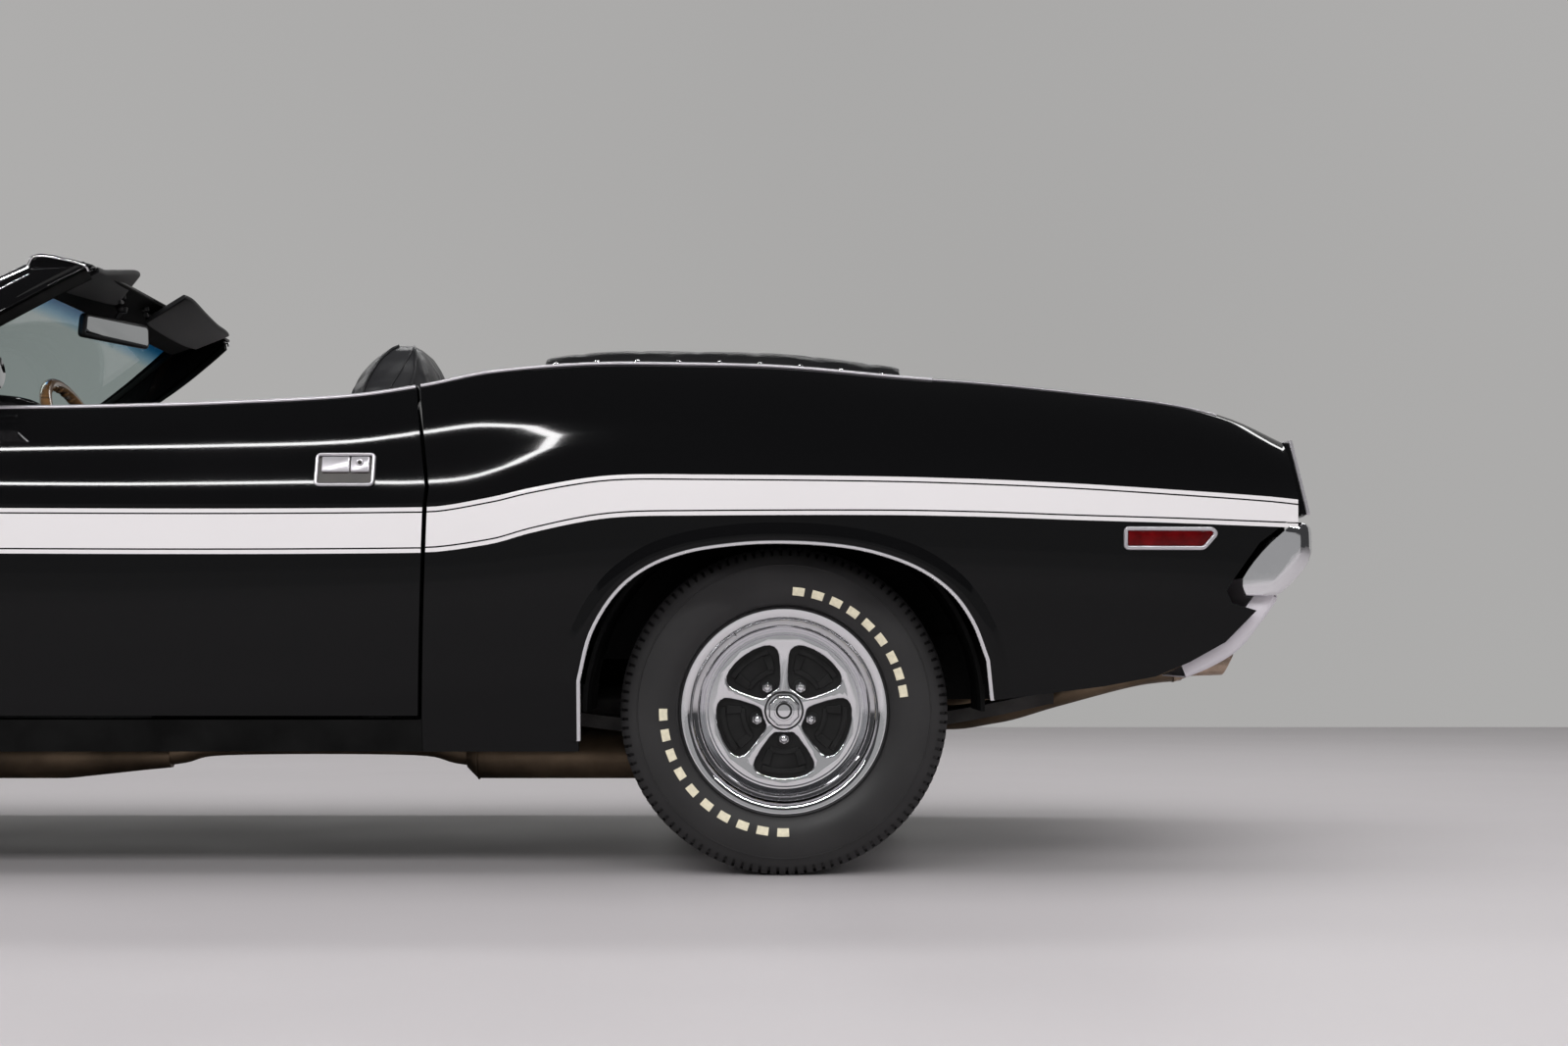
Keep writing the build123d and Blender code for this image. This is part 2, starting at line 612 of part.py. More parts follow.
def radiator_support():
    """Front panel between the fenders that holds the radiator."""
    x0, x1 = SUPPORT_X, SUPPORT_X + SUPPORT_THICKNESS
    wide = WALL_PLANE - SEAT_GAP
    shape = prism_x([(-wide, 400), (wide, 400), (wide, 640), (wide - 44, 728), (735, 770),
                     (-735, 770), (-wide + 44, 728), (-wide, 640)], x0, x1)
    shape -= block(x0 - 1, x1 + 1, -300.0, 300.0, 450.0, 740.0)
    return shape


def radiator():
    return block(SUPPORT_X - RADIATOR_DEPTH, SUPPORT_X - SEAT_GAP, -340.0, 340.0, 420.0, 765.0)


# ---------------------------------------------------------------- nose and tail
def grille_surround():
    """Nose frame ahead of the fenders, open for the lamps and grille."""
    outline = [(-905, 640), (-765, 800), (-320, 825), (320, 825), (765, 800), (905, 640),
               (870, 585), (-870, 585)]
    shape = prism_x(outline, BODY_FRONT + SEAT_GAP, NOSE_FRONT)
    hole = [(-850, 632), (-760, 768), (760, 768), (850, 632), (835, 612), (-835, 612)]
    shape -= prism_x(hole, BODY_FRONT - 1, NOSE_FRONT + 1)
    return shape


def grille():
    """Slatted plate behind the nose frame, with round holes for the lamps."""
    back = [(-838, 630), (-730, 758), (730, 758), (838, 630), (828, 606), (-828, 606)]
    face = GRILLE_X + GRILLE_THICKNESS
    shape = prism_x(back, GRILLE_X, face)
    for k in range(4):
        z = 632.0 + 32.0 * k
        shape -= block(GRILLE_X - 1, face + 1, -480.0, -20.0, z, z + 16.0)
        shape -= block(GRILLE_X - 1, face + 1, 20.0, 480.0, z, z + 16.0)
    for y, z in LAMP_PLACES:
        for side in (-1, 1):
            shape -= rod((GRILLE_X - 1, side * y, z), (face + 1, side * y, z), LAMP_RADIUS - 6.0)
    frame = prism_x(back, face, BODY_FRONT) - prism_x(
        [(-828, 636), (-724, 750), (724, 750), (828, 636), (818, 614), (-818, 614)], GRILLE_X, BODY_FRONT + 1)
    return shape + frame


def headlamps():
    """Four round lamps seated on the grille plate."""
    lamps = []
    for y, z in LAMP_PLACES:
        for side in (-1, 1):
            back = GRILLE_X + GRILLE_THICKNESS + SEAT_GAP
            lamps.append(rod((back, side * y, z), (GRILLE_X + 40.0, side * y, z), LAMP_RADIUS))
    return lamps


def bumper(x_middle, x_corner, toward, y_corner, x_wrap, z0, z1, depth, bracket_to, bracket_y, bracket_z):
    """A bowed bar that wraps round the body's corners, with two brackets. toward is +1 at the front."""
    inner = x_middle - toward * depth
    inner_corner = x_corner - toward * 22.0
    end_y = y_corner + 18.0
    def at(x, y):
        return (at_x(x), y, z0)
    def corner(side):
        """From the face round to the wrapped end and back to the inner face, on one side."""
        turn = ThreePointArc(at(x_corner, side * y_corner),
                             at(x_corner - toward * 14, side * (y_corner + 14)),
                             at(x_corner - toward * 32, side * end_y))
        wrap = Polyline(at(x_corner - toward * 32, side * end_y), at(x_wrap, side * (end_y + 2)),
                        at(x_wrap, side * (end_y - 34)), at(inner_corner, side * (y_corner - 22)))
        return [turn, wrap]
    face = ThreePointArc(at(x_corner, -y_corner), at(x_middle, 0), at(x_corner, y_corner))
    back = ThreePointArc(at(inner_corner, y_corner - 22), at(inner, 0), at(inner_corner, 22 - y_corner))
    edges = [face, back] + corner(1) + corner(-1)
    bar = extrude(make_face(edges), amount=z1 - z0, dir=(0, 0, 1))
    for side in (-1, 1):
        bar += block(min(inner + toward * 12, bracket_to), max(inner + toward * 12, bracket_to),
                     side * bracket_y - 30, side * bracket_y + 30, bracket_z - 25, bracket_z + 25)
        # Blind holes for the number plate's screws.
        y, z = side * PLATE_SPACING / 2, (z0 + z1) / 2
        bar -= rod((x_middle + toward, y, z), (x_middle - toward * PLATE_HOLE_DEPTH, y, z), PLATE_HOLE_RADIUS)
    return bar


def rear_bumper():
    bar = bumper(X_REAR_END, -2362.0, -1, 896.0, -2213.0, REAR_BUMPER_LOW, REAR_BUMPER_HIGH, 48.0,
                 TAIL_FACE - SEAT_GAP, 420.0, 625.0)
    # The wrapped ends slant, leaning back with the tail.
    slope = [(-2150.0, 500.0), (-2150.0, 760.0), (-2300.0, 760.0), (-2318.0, 706.0),
             (-2258.0, 652.0), (-2215.0, 590.0), (-2228.0, 556.0), (-2228.0, 500.0)]
    bar -= prism_y(slope, 850.0, OUTSIDE)
    bar -= other_side(prism_y(slope, 850.0, OUTSIDE))
    return bar


def tail_panel():
    """Upright rear wall behind the lamps and bumper, with the lamp recess cut in."""
    outline = [(-906, 716), (-746, 872), (-330, 888), (330, 888), (746, 872), (906, 716),
               (868, 712), (700, 712), (700, REAR_BUMPER_LOW), (-700, REAR_BUMPER_LOW), (-700, 712),
               (-868, 712)]
    shape = prism_x(outline, TAIL_FACE, BODY_REAR - SEAT_GAP)
    shape -= prism_x([(-800, 735), (-716, 842), (716, 842), (800, 735)],
                     TAIL_FACE - 1, TAIL_FACE + LAMP_RECESS)
    return shape


def tail_lamps():
    """Left, middle and right lenses, flat in the tail panel's recess."""
    x0, x1 = TAIL_FACE + 2.0, TAIL_FACE + LAMP_RECESS - SEAT_GAP
    side = [(140, 740), (140, 837), (706, 837), (782, 740)]
    left = prism_x(side, x0, x1)
    return [left, other_side(left), prism_x([(-130, 740), (130, 740), (130, 837), (-130, 837)], x0, x1)]


def rear_valance():
    """Lower rear panel, curving down and forward under the bumper."""
    top = REAR_BUMPER_LOW - SEAT_GAP
    line = [(TAIL_FACE + 1.0, top), (-2312.0, 500.0), (-2240.0, 432.0), (-2120.0, 392.0),
            (-2120.0, 410.0), (-2232.0, 450.0), (-2298.0, 512.0), (TAIL_FACE + 17.0, top)]
    panel = prism_y(line, -WALL_PLANE + SEAT_GAP, WALL_PLANE - SEAT_GAP)
    for side in (-1, 1):
        panel -= block(-2330.0, -2100.0, side * TIP_Y - 60.0, side * TIP_Y + 60.0, 380.0, TIP_TOP + 18.0)
    return panel


def front_bumper():
    return bumper(X_FRONT_END, 2352.0, 1, 886.0, 2303.0, FRONT_BUMPER_LOW, FRONT_BUMPER_HIGH, 42.0,
                  SUPPORT_X + SUPPORT_THICKNESS + SEAT_GAP, 420.0, 500.0)


def front_valance():
    """Apron under the front bumper, from fender to fender."""
    line = [(2356.0, 438.0), (2340.0, 372.0), (2296.0, 330.0), (2286.0, 338.0),
            (2324.0, 378.0), (2340.0, 438.0)]
    return prism_y([(x, z + 1.7) for x, z in line], -800.0, 800.0)


def side_markers():
    """Slim lamps on the four corners, seated on the skin."""
    lamps = []
    for x0, x1, z0, z1 in ((-2167.0, -1983.0, 646.0, 690.0), (2010.0, 2150.0, 590.0, 628.0)):
        x, z = (x0 + x1) / 2, (z0 + z1) / 2
        reach = [outer_y(a, b) for a in (x0, x1) for b in (z0, z1)]
        slab = block(x0, x1, min(reach) - 40.0, outer_y(x, z) + 9.0, z0, z1)
        lamps.append(slab)
    return lamps


# ---------------------------------------------------------------- windshield
PILLAR_RAKE = 1.45         # mm back for each mm up
HEADER_X = 133.0           # rear corner of the header, at its side
HEADER_Z = 1263.0
HEADER_HALF = 610.0
PILLAR_FOOT_HALF = 722.0
PILLAR_FOOT_Z = 931.0
HEADER_BOW = 55.0          # how far the header's middle lies ahead of its ends
COWL_BOW = 128.0
HEADER_CROWN = 30.0
FRAME_DEPTH = 135.0        # along X
PILLAR_WIDTH = 46.0
GLASS_AHEAD = 100.0        # glass ahead of the pillars' rear line
# Share of the height, and half width there: the pillars turn in towards the header.
PILLAR_LINE = ((0.0, PILLAR_FOOT_HALF), (0.3, PILLAR_FOOT_HALF), (0.5, 714.0), (0.68, 692.0), (0.86, 652.0),
               (1.0, HEADER_HALF))
GLASS_THICKNESS = 7.0      # along X


def screen_half(t):
    """Half width over the pillars at a share of their height."""
    for (t0, half0), (t1, half1) in zip(PILLAR_LINE, PILLAR_LINE[1:]):
        if t <= t1:
            return half0 + (half1 - half0) * (t - t0) / (t1 - t0)
    return HEADER_HALF


def screen_point(s, t, ahead=0.0):
    """A point of the windshield plane: s from -1 right to 1 left, t from 0 foot to 1 header."""
    half = screen_half(t)
    crown = (CROWN_HOOD - 6.0) * (1 - t) + HEADER_CROWN * t
    z = PILLAR_FOOT_Z + (HEADER_Z - PILLAR_FOOT_Z) * t + crown * (1 - s * s)
    bow = COWL_BOW + (HEADER_BOW - COWL_BOW) * t
    x = HEADER_X + (HEADER_Z - PILLAR_FOOT_Z) * (1 - t) * PILLAR_RAKE + bow * (1 - s * s) + ahead
    return (x, half * s, z)


HEADER_SECTION = ((0.0, -10.0), (FRAME_DEPTH + 5.0, -56.0), (FRAME_DEPTH - 15.0, 20.0), (0.0, -4.0))


def windshield_frame(cowl_shape):
    """Two pillars that turn in at the top and a bowed header, standing on the cowl."""
    rows = []
    for s in (-1.0, -0.66, -0.33, 0.0, 0.33, 0.66, 1.0):
        x, y, z = screen_point(s, 1.0)
        rows.append(flat([(x + dx, y, z + dz) for dx, dz in HEADER_SECTION]))
    shape = loft(rows, ruled=True)
    for side in (-1, 1):
        faces = []
        for t, _ in PILLAR_LINE:
            x, y, z = screen_point(side, t)
            inner = y - side * PILLAR_WIDTH
            ahead = x + FRAME_DEPTH
            faces.append(flat([(x, y, z), (ahead, y, z), (ahead, inner, z), (x, inner, z)]))
        shape += loft(faces, ruled=True)
    return shape - cowl_shape


def windshield(frame, cowl_shape):
    """Bowed glass between pillars, header and cowl."""
    levels = (0.03, 0.3, 0.5, 0.68, 0.86, 0.95)
    rows = []
    for s in (-1.0, -0.66, -0.33, 0.0, 0.33, 0.66, 1.0):
        line = []
        for t in levels:
            half = screen_half(t)
            line.append(screen_point(s * (half - PILLAR_WIDTH + 1.0) / half, t, GLASS_AHEAD))
        rows.append(line)
    faces = []
    for low, high in zip(range(len(levels)), range(1, len(levels))):
        band = []
        for line in rows:
            foot, head = line[low], line[high]
            foot_face, head_face = [(x + GLASS_THICKNESS, y, z) for x, y, z in (foot, head)]
            band.append(flat([foot, head, head_face, foot_face]))
        faces.append(loft(band, ruled=True))
    glass = faces[0]
    for band in faces[1:]:
        glass += band
    return glass - frame - cowl_shape


# ---------------------------------------------------------------- cabin
def dashboard():
    """Padded dash from side to side, with its lower face open over the tunnel."""
    outline = [(FIREWALL_X - 24.0 - SEAT_GAP, 650.0), (FIREWALL_X - 24.0 - SEAT_GAP, 880.0), (660.0, 904.0),
               (500.0, 908.0), (450.0, 890.0), (462.0, 700.0), (560.0, 650.0)]
    half = POST_INNER - SEAT_GAP
    return prism_y(outline, -half, half)


SEAT_OUTLINE = (
    (10.0, FLOOR_TOP + SEAT_GAP), (30.0, 440.0), (14.0, 560.0), (-60.0, 585.0), (-330.0, 555.0),
    (-392.0, 900.0), (-420.0, 1050.0), (-470.0, 1120.0), (-530.0, 1122.0), (-566.0, 1080.0),
    (-560.0, 900.0), (-500.0, 560.0), (-470.0, 440.0), (-430.0, FLOOR_TOP + SEAT_GAP),
)
def front_seat():
    return prism_y(SEAT_OUTLINE, SEAT_MIDDLE - SEAT_HALF, SEAT_MIDDLE + SEAT_HALF)


def rear_seat():
    """Bench across the rear floor, between the wheel tubs."""
    outline = [(-700.0, REAR_FLOOR_TOP + SEAT_GAP), (-690.0, 600.0), (-720.0, 632.0), (-1060.0, 600.0),
               (-1110.0, 900.0), (-1140.0, 1005.0), (-1200.0, 1012.0), (-1235.0, REAR_FLOOR_TOP + SEAT_GAP)]
    return prism_y(outline, -608.0, 608.0)


def rear_side_trims():
    """Panels beside the rear seat, from the lock pillars to the wheel tubs."""
    front, rear = -634.0, X_REAR_AXLE + REAR_TUB_RADIUS + HOUSE_WALL + SEAT_GAP
    return both_sides(block(rear, front, TRIM_INNER, TRIM_OUTER, REAR_FLOOR_TOP + SEAT_GAP, 975.0))


def console():
    outline = [(480.0, TUNNEL_TOP + SEAT_GAP), (490.0, 560.0), (300.0, 540.0), (120.0, 545.0),
               (-180.0, 590.0), (-420.0, 590.0), (-430.0, TUNNEL_TOP + SEAT_GAP)]
    return prism_y(outline, -CONSOLE_HALF, CONSOLE_HALF)


def steering_wheel(dash):
    """Ring, three spokes, hub and column, square to the tilted column."""
    along = Vector(math.cos(COLUMN_TILT), 0, -math.sin(COLUMN_TILT))
    middle = Vector(*WHEEL_MIDDLE)
    plane = Plane(origin=(at_x(WHEEL_MIDDLE[0]), *WHEEL_MIDDLE[1:]), x_dir=(0, 1, 0), z_dir=along)
    ring = plane * Torus(STEERING_RADIUS, 13.0)
    hub = plane * Cylinder(44.0, 46.0)
    shape = ring + hub
    for angle in (0.0, 180.0, 270.0):
        spoke = Pos(STEERING_RADIUS / 2, 0, 6) * Box(STEERING_RADIUS - 6.0, 26.0, 5.0)
        shape += plane * (Rot(0, 0, angle) * spoke)
    end = middle + along * 300.0
    shape += rod(tuple(middle), tuple(end), 22.0)
    return shape - dash


def visors_and_mirror():
    """Two padded visors tilted up behind the header, and the inside mirror on its stalk."""
    def visor_section(s):
        x, y, z = screen_point(s, 1.0)
        outline = [(72.0, -38.0), (-42.0, 2.5), (-45.0, -12.0), (66.0, -55.0)]
        return flat([(x + dx, y, z + dz) for dx, dz in outline])
    left = loft([visor_section(s) for s in VISOR_SPAN], ruled=True)
    x, _, z = screen_point(0.0, 1.0)
    (rear, rear_low), (front, front_low) = HEADER_SECTION[:2]
    header_low = z + rear_low + (front_low - rear_low) * (MIRROR_X - 6.0 - x - rear) / (front - rear)
    stalk = block(MIRROR_X - 18.0, MIRROR_X - 6.0, -6.0, 6.0, MIRROR_Z, header_low - SEAT_GAP)
    glass = Pos(at_x(MIRROR_X), 0.0, MIRROR_Z) * Rot(0, 0, -21.0) * Box(24.0, 255.0, 58.0)
    return both_sides(left) + [stalk + glass]


def boot_cover():
    """Padded cover over the folded top, crowned, on the quarter rims and the deck."""
    rows = ((-820.0, 700.0, 22.0), (-925.0, 694.0, 34.0), (-1122.0, 684.0, 44.0),
            (-1320.0, 674.0, 44.0), (-1566.0, 646.0, 22.0))
    faces = []
    for x, half, rise in rows:
        base = belt_z(x) + 4.0 + SEAT_GAP
        steps = (-1.0, -0.92, -0.5, 0.0, 0.5, 0.92, 1.0)
        top = [(half * s, base + BOOT_EDGE + (rise + 10.0) * (1 - s * s)) for s in steps[1:-1]]
        top = [(-half, base + 2.0)] + top + [(half, base + 2.0)]
        faces.append(flat([(x, y, z) for y, z in top + [(half, base), (-half, base)]]))
    cover = loft(faces, ruled=True)
    return cover - block(BOOT_MIDDLE_FRONT, -700.0, -BOOT_WING_INNER, BOOT_WING_INNER, 900.0, ABOVE)


# ---------------------------------------------------------------- driveline
def engine():
    """Engine and gearbox as one plain block."""
    shape = block(1180.0, 1880.0, -290.0, 290.0, 470.0, 800.0)
    shape += block(1200.0, 1780.0, -200.0, 200.0, 330.0, 470.0)
    shape += block(FIREWALL_X + 40.0, 1200.0, -120.0, 120.0, 300.0, 420.0)
    return shape


def engine_mounts_bar():
    """Cross member between the rails, under the engine."""
    front, rear = X_FRONT_AXLE + 60.0, X_FRONT_AXLE - 60.0
    low, high = AXLE_Z - 65.0, RAIL_BOTTOM - SEAT_GAP
    return block(rear, front, -RAIL_OUTER, RAIL_OUTER, low, high)


def front_suspension():
    """Cross member with an upper and a lower arm to each steered knuckle."""
    shape = engine_mounts_bar()
    for side in (-1, 1):
        y_joint = side * KINGPIN_Y
        for z, root in ((AXLE_Z - BALL_JOINT_DROP, AXLE_Z - 57.0), (AXLE_Z + BALL_JOINT_RISE, 452.0)):
            inner_y = side * (RAIL_OUTER + 2.0) if z > AXLE_Z else side * (RAIL_OUTER - 40.0)
            end_z = z if z > AXLE_Z else z - 6.0
            for dx in (-58.0, 58.0):
                shape += rod((X_FRONT_AXLE + dx, inner_y, root), (X_FRONT_AXLE, y_joint, end_z), 11.0)
            shape += rod((X_FRONT_AXLE, y_joint, z - 13.0), (X_FRONT_AXLE, y_joint, z + 13.0), 24.0)
    # Towers that carry the upper arms on the rails.
    for side in (-1, 1):
        shape += block(X_FRONT_AXLE - 70.0, X_FRONT_AXLE + 70.0, side * (RAIL_OUTER - 40.0),
                       side * (RAIL_OUTER + 6.0), RAIL_TOP + SEAT_GAP, 480.0)
    return shape


def knuckle():
    """Upright on the two ball joints, with the wheel spindle."""
    wheel_y = FRONT_TRACK / 2
    shape = rod((X_FRONT_AXLE, KINGPIN_Y, AXLE_Z - BALL_JOINT_DROP + 13.0 + SEAT_GAP),
                (X_FRONT_AXLE, KINGPIN_Y, AXLE_Z + BALL_JOINT_RISE - 13.0 - SEAT_GAP), 20.0)
    shape += rod((X_FRONT_AXLE, KINGPIN_Y, AXLE_Z), (X_FRONT_AXLE, wheel_y + 25.0, AXLE_Z), SPINDLE_RADIUS)
    shape += rod((X_FRONT_AXLE, KINGPIN_Y, AXLE_Z), (X_FRONT_AXLE, KINGPIN_Y + 34.0, AXLE_Z), 62.0)
    # Steering arm.
    shape += block(X_FRONT_AXLE - 130.0, X_FRONT_AXLE, KINGPIN_Y - 10.0, KINGPIN_Y + 10.0,
                   AXLE_Z - 95.0, AXLE_Z - 79.0)
    return shape


def rim(wheel_y):
    """Steel wheel: barrel with flanges, spoked face, hub with its spindle bore. Outer side at +Y."""
    back, front = wheel_y - RIM_WIDTH / 2, wheel_y + RIM_WIDTH / 2
    r = RIM_RADIUS
    half_profile = [
        (r, back), (r, back + 10), (r - 18, back + 16), (r - 20, back + 52), (r - 42, back + 66),
        (r - 42, front - 74), (r - 20, front - 60), (r - 18, front - 16), (r, front - 10), (r, front),
        (r - 10, front), (r - 26, front - 20), (r - 30, front - 62), (r - 50, front - 78),
        (r - 50, back + 62), (r - 30, back + 46), (r - 28, back + 8), (r - 10, back),
    ]
    def turned(points):
        face = make_face(Polyline(*[(radius, y, 0) for radius, y in points], close=True))
        return revolve(face, axis=Axis.Y)
    shape = turned(half_profile)
    disc = [(SPINDLE_RADIUS + PIN_PLAY, wheel_y - 14), (62, wheel_y - 14), (76, wheel_y + 4),
            (r - 49, wheel_y + 6), (r - 49, wheel_y + 20), (70, wheel_y + 20), (56, wheel_y + 30),
            (SPINDLE_RADIUS + PIN_PLAY, wheel_y + 30)]
    shape += turned(disc)
    # Five windows between the spokes.
    for k in range(5):
        window = Rot(0, 36.0 + 72.0 * k, 0) * Pos(118.0, wheel_y + 13.0, 0) * Box(46.0, 30.0, 60.0)
        shape -= window
    # Cap over the hub.
    shape += turned([(0, wheel_y + 30), (34, wheel_y + 30), (32, wheel_y + 52), (0, wheel_y + 56)])
    return shape


def tyre(wheel_y):
    """Tyre with rounded shoulders and bulged walls, open over the rim."""
    half, r0, r1 = TYRE_WIDTH / 2, RIM_RADIUS, TYRE_RADIUS
    seat, lip = BEAD_RADIUS + SEAT_GAP, RIM_WIDTH / 2 - 10.4
    outer = [
        (seat, lip - 24), (seat, lip - 6), (r0 + 0.6, lip), (r0 + 26, half - 4), (r0 + 52, half),
        (r1 - 34, half - 6), (r1 - 10, half - 18), (r1, half - 42),
    ]
    points = [(r, wheel_y - y) for r, y in outer] + [(r, wheel_y + y) for r, y in reversed(outer)]
    inner = [
        (seat + 22, wheel_y + lip - 22), (r0 + 40, wheel_y + half - 22), (r1 - 22, wheel_y + half - 40),
        (r1 - 22, wheel_y - half + 40), (r0 + 40, wheel_y - half + 22), (seat + 22, wheel_y - lip + 22),
    ]
    face = make_face(Polyline(*[(radius, y, 0) for radius, y in points + inner], close=True))
    return revolve(face, axis=Axis.Y)


def wheel_at(piece, x_axle):
    return Pos(at_x(x_axle), 0, AXLE_Z) * piece


def rear_axle():
    """Axle tube with its differential and a spindle for each rear wheel."""
    y_end = REAR_TRACK / 2 - HUB_IN
    shape = rod((X_REAR_AXLE, -y_end, AXLE_Z), (X_REAR_AXLE, y_end, AXLE_Z), 38.0)
    shape += Pos(at_x(X_REAR_AXLE), 0, AXLE_Z) * Sphere(118.0)
    shape += rod((X_REAR_AXLE, 0, AXLE_Z), (X_REAR_AXLE + 210.0, 0, AXLE_Z), 52.0)
    for side in (-1, 1):
        shape += rod((X_REAR_AXLE, side * y_end, AXLE_Z),
                     (X_REAR_AXLE, side * (REAR_TRACK / 2 + 25.0), AXLE_Z), SPINDLE_RADIUS)
        shape += rod((X_REAR_AXLE, side * (y_end - 34.0), AXLE_Z),
                     (X_REAR_AXLE, side * y_end, AXLE_Z), 120.0)
    return shape


def leaf_springs():
    """A bowed leaf on each side under the axle, with its hangers to the floor."""
    y0 = SPRING_Y - SPRING_WIDTH / 2
    low = AXLE_Z - 38.0 - SEAT_GAP
    def at(x, z):
        return (at_x(x), y0, z)
    edges = [
        ThreePointArc(at(-742, 342), at(X_REAR_AXLE, low), at(-1880, 362)),
        Line(at(-1880, 362), at(-1880, 334)),
        ThreePointArc(at(-1880, 334), at(X_REAR_AXLE, low - 28.0), at(-742, 314)),
        Line(at(-742, 314), at(-742, 342)),
    ]
    leaf = extrude(make_face(edges), amount=SPRING_WIDTH, dir=(0, 1, 0))
    under = REAR_FLOOR_TOP - FLOOR_THICKNESS - SEAT_GAP
    leaf += block(-770.0, -720.0, y0, y0 + SPRING_WIDTH, 314.0, under)
    leaf += block(-1890.0, -1850.0, y0, y0 + SPRING_WIDTH, 334.0, under)
    return both_sides(leaf)


def driveshaft():
    return rod((FIREWALL_X + 40.0 - SEAT_GAP, 0, AXLE_Z), (X_REAR_AXLE + 210.0 + SEAT_GAP, 0, AXLE_Z), 40.0)


def exhaust():
    """A pipe on each side with two mufflers, over the axle and past the tank to a flat tip in the valance."""
    y = PIPE_Y
    route = (
        (1150.0, y, 240.0), (460.0, y, PIPE_Z), (-1010.0, y, PIPE_Z), (-1120.0, y, 260.0),
        (-1200.0, y, 410.0), (-1440.0, y, 410.0), (-1640.0, y, 300.0), (-1900.0, 470.0, 338.0),
        (-2060.0, TIP_Y, 385.0), (-2170.0, TIP_Y, 405.0),
    )
    path = FilletPolyline(*[(at_x(x), y, z) for x, y, z in route], radius=40.0)
    section = Plane(origin=path @ 0, z_dir=path % 0) * Circle(PIPE_RADIUS)
    pipe = sweep(section, path=path)
    for x0, x1 in ((60.0, 440.0), (-1000.0, -640.0)):
        pipe += rod((x0, y, PIPE_Z), (x1, y, PIPE_Z), MUFFLER_RADIUS)
    pipe += block(-2278.0, -2150.0, TIP_Y - 45.0, TIP_Y + 45.0, TIP_TOP - 50.0, TIP_TOP)
    # Hangers to the floor and the tank.
    pipe += block(240.0, 260.0, y - 10, y + 10, 240.0, FLOOR_TOP - FLOOR_THICKNESS - SEAT_GAP)
    pipe += block(-1800.0, -1780.0, 400.0, 420.0, 322.0, TANK_BOTTOM)
    return both_sides(pipe)


def fuel_tank():
    top = REAR_FLOOR_TOP - FLOOR_THICKNESS - SEAT_GAP
    return block(-2060.0, -1760.0, -450.0, 450.0, TANK_BOTTOM + SEAT_GAP, top)


# ---------------------------------------------------------------- door furniture
def door_furniture(leaf):
    """Outside handle plate and door mirror, standing on the skin."""
    x, z = sum(HANDLE_X) / 2, sum(HANDLE_Z) / 2
    face = outer_y(x, HANDLE_Z[1])
    plate_piece = block(*HANDLE_X, face - 20.0, outer_y(x, HANDLE_Z[0]) + 8.0, *HANDLE_Z) - leaf
    top = belt_z(MIRROR_FOOT[0])
    foot = block(*MIRROR_FOOT, 796.0, 826.0, top + SEAT_GAP, top + 14.0)
    stalk = block(MIRROR_FOOT[1] - 80.0, MIRROR_FOOT[1] - 30.0, 812.0, 880.0, top + 6.0, top + 26.0)
    head = block(MIRROR_FOOT[1] - 105.0, MIRROR_FOOT[1], 850.0, 985.0, top + 18.0, top + 102.0)
    return [plate_piece, foot + stalk + head]


# ---------------------------------------------------------------- build and write
def build():
    left_door = door()
    left_furniture = door_furniture(left_door)
    cowl_shape = cowl()
    frame = windshield_frame(cowl_shape)
    dash = dashboard()
    nodes = {
        "underbody": underbody(),
        "cowl_and_firewall": cowl_shape,
        "deck_panel": deck_panel(),
        "left_fender": fender(),
        "left_quarter_panel": quarter(),
        "left_door": left_door,
        "hood": hood(),
        "trunk_lid": trunk_lid(),
        "wheelhouses": rear_wheelhouses() + front_wheelhouses(),
        "radiator_support": radiator_support(),
        "radiator": radiator(),
        "grille_surround": grille_surround(),
        "grille": grille(),
        "headlamps": headlamps(),
        "front_bumper": front_bumper(),
        "front_valance": front_valance(),
        "rear_bumper": rear_bumper(),
        "rear_valance": rear_valance(),
        "tail_panel": tail_panel(),
        "tail_lamps": tail_lamps(),
        "windshield_frame": frame,
        "windshield": windshield(frame, cowl_shape),
        "dashboard": dash,
        "front_seats": both_sides(front_seat()),
        "rear_seat": rear_seat(),
        "rear_side_trims": rear_side_trims(),
        "console": console(),
        "steering_wheel": steering_wheel(dash),
        "visors_and_mirror": visors_and_mirror(),
        "boot_cover": boot_cover(),
        "engine": engine(),
        "front_suspension": front_suspension(),
        "rear_axle": rear_axle(),
        "leaf_springs": leaf_springs(),
        "driveshaft": driveshaft(),
        "exhaust": exhaust(),
        "fuel_tank": fuel_tank(),
        "left_knuckle": knuckle(),
        "left_door_handle_and_mirror": left_furniture,
    }
    for name in ("fender", "quarter_panel", "door", "knuckle", "door_handle_and_mirror"):
        nodes["right_" + name] = [other_side(s) for s in solids_of(nodes["left_" + name])]
    markers = []
    for lamp in side_markers():
        seated = lamp - nodes["left_fender"] - nodes["left_quarter_panel"]
        markers += both_sides(seated)
    nodes["side_markers"] = markers
    for end, x_axle, track in (("front", X_FRONT_AXLE, FRONT_TRACK), ("rear", X_REAR_AXLE, REAR_TRACK)):
        left_rim = wheel_at(rim(track / 2), x_axle)
        left_tyre = wheel_at(tyre(track / 2), x_axle)
        nodes[f"left_{end}_rim"] = left_rim
        nodes[f"right_{end}_rim"] = other_side(left_rim)
        nodes[f"left_{end}_tyre"] = left_tyre
        nodes[f"right_{end}_tyre"] = other_side(left_tyre)
    return nodes


def main():
    os.makedirs("parts", exist_ok=True)
    for name, shape in build().items():
        solids = solids_of(shape)
        whole = solids[0] if len(solids) == 1 else Compound(children=solids)
        export_step(whole, f"parts/{name}.step")


main()
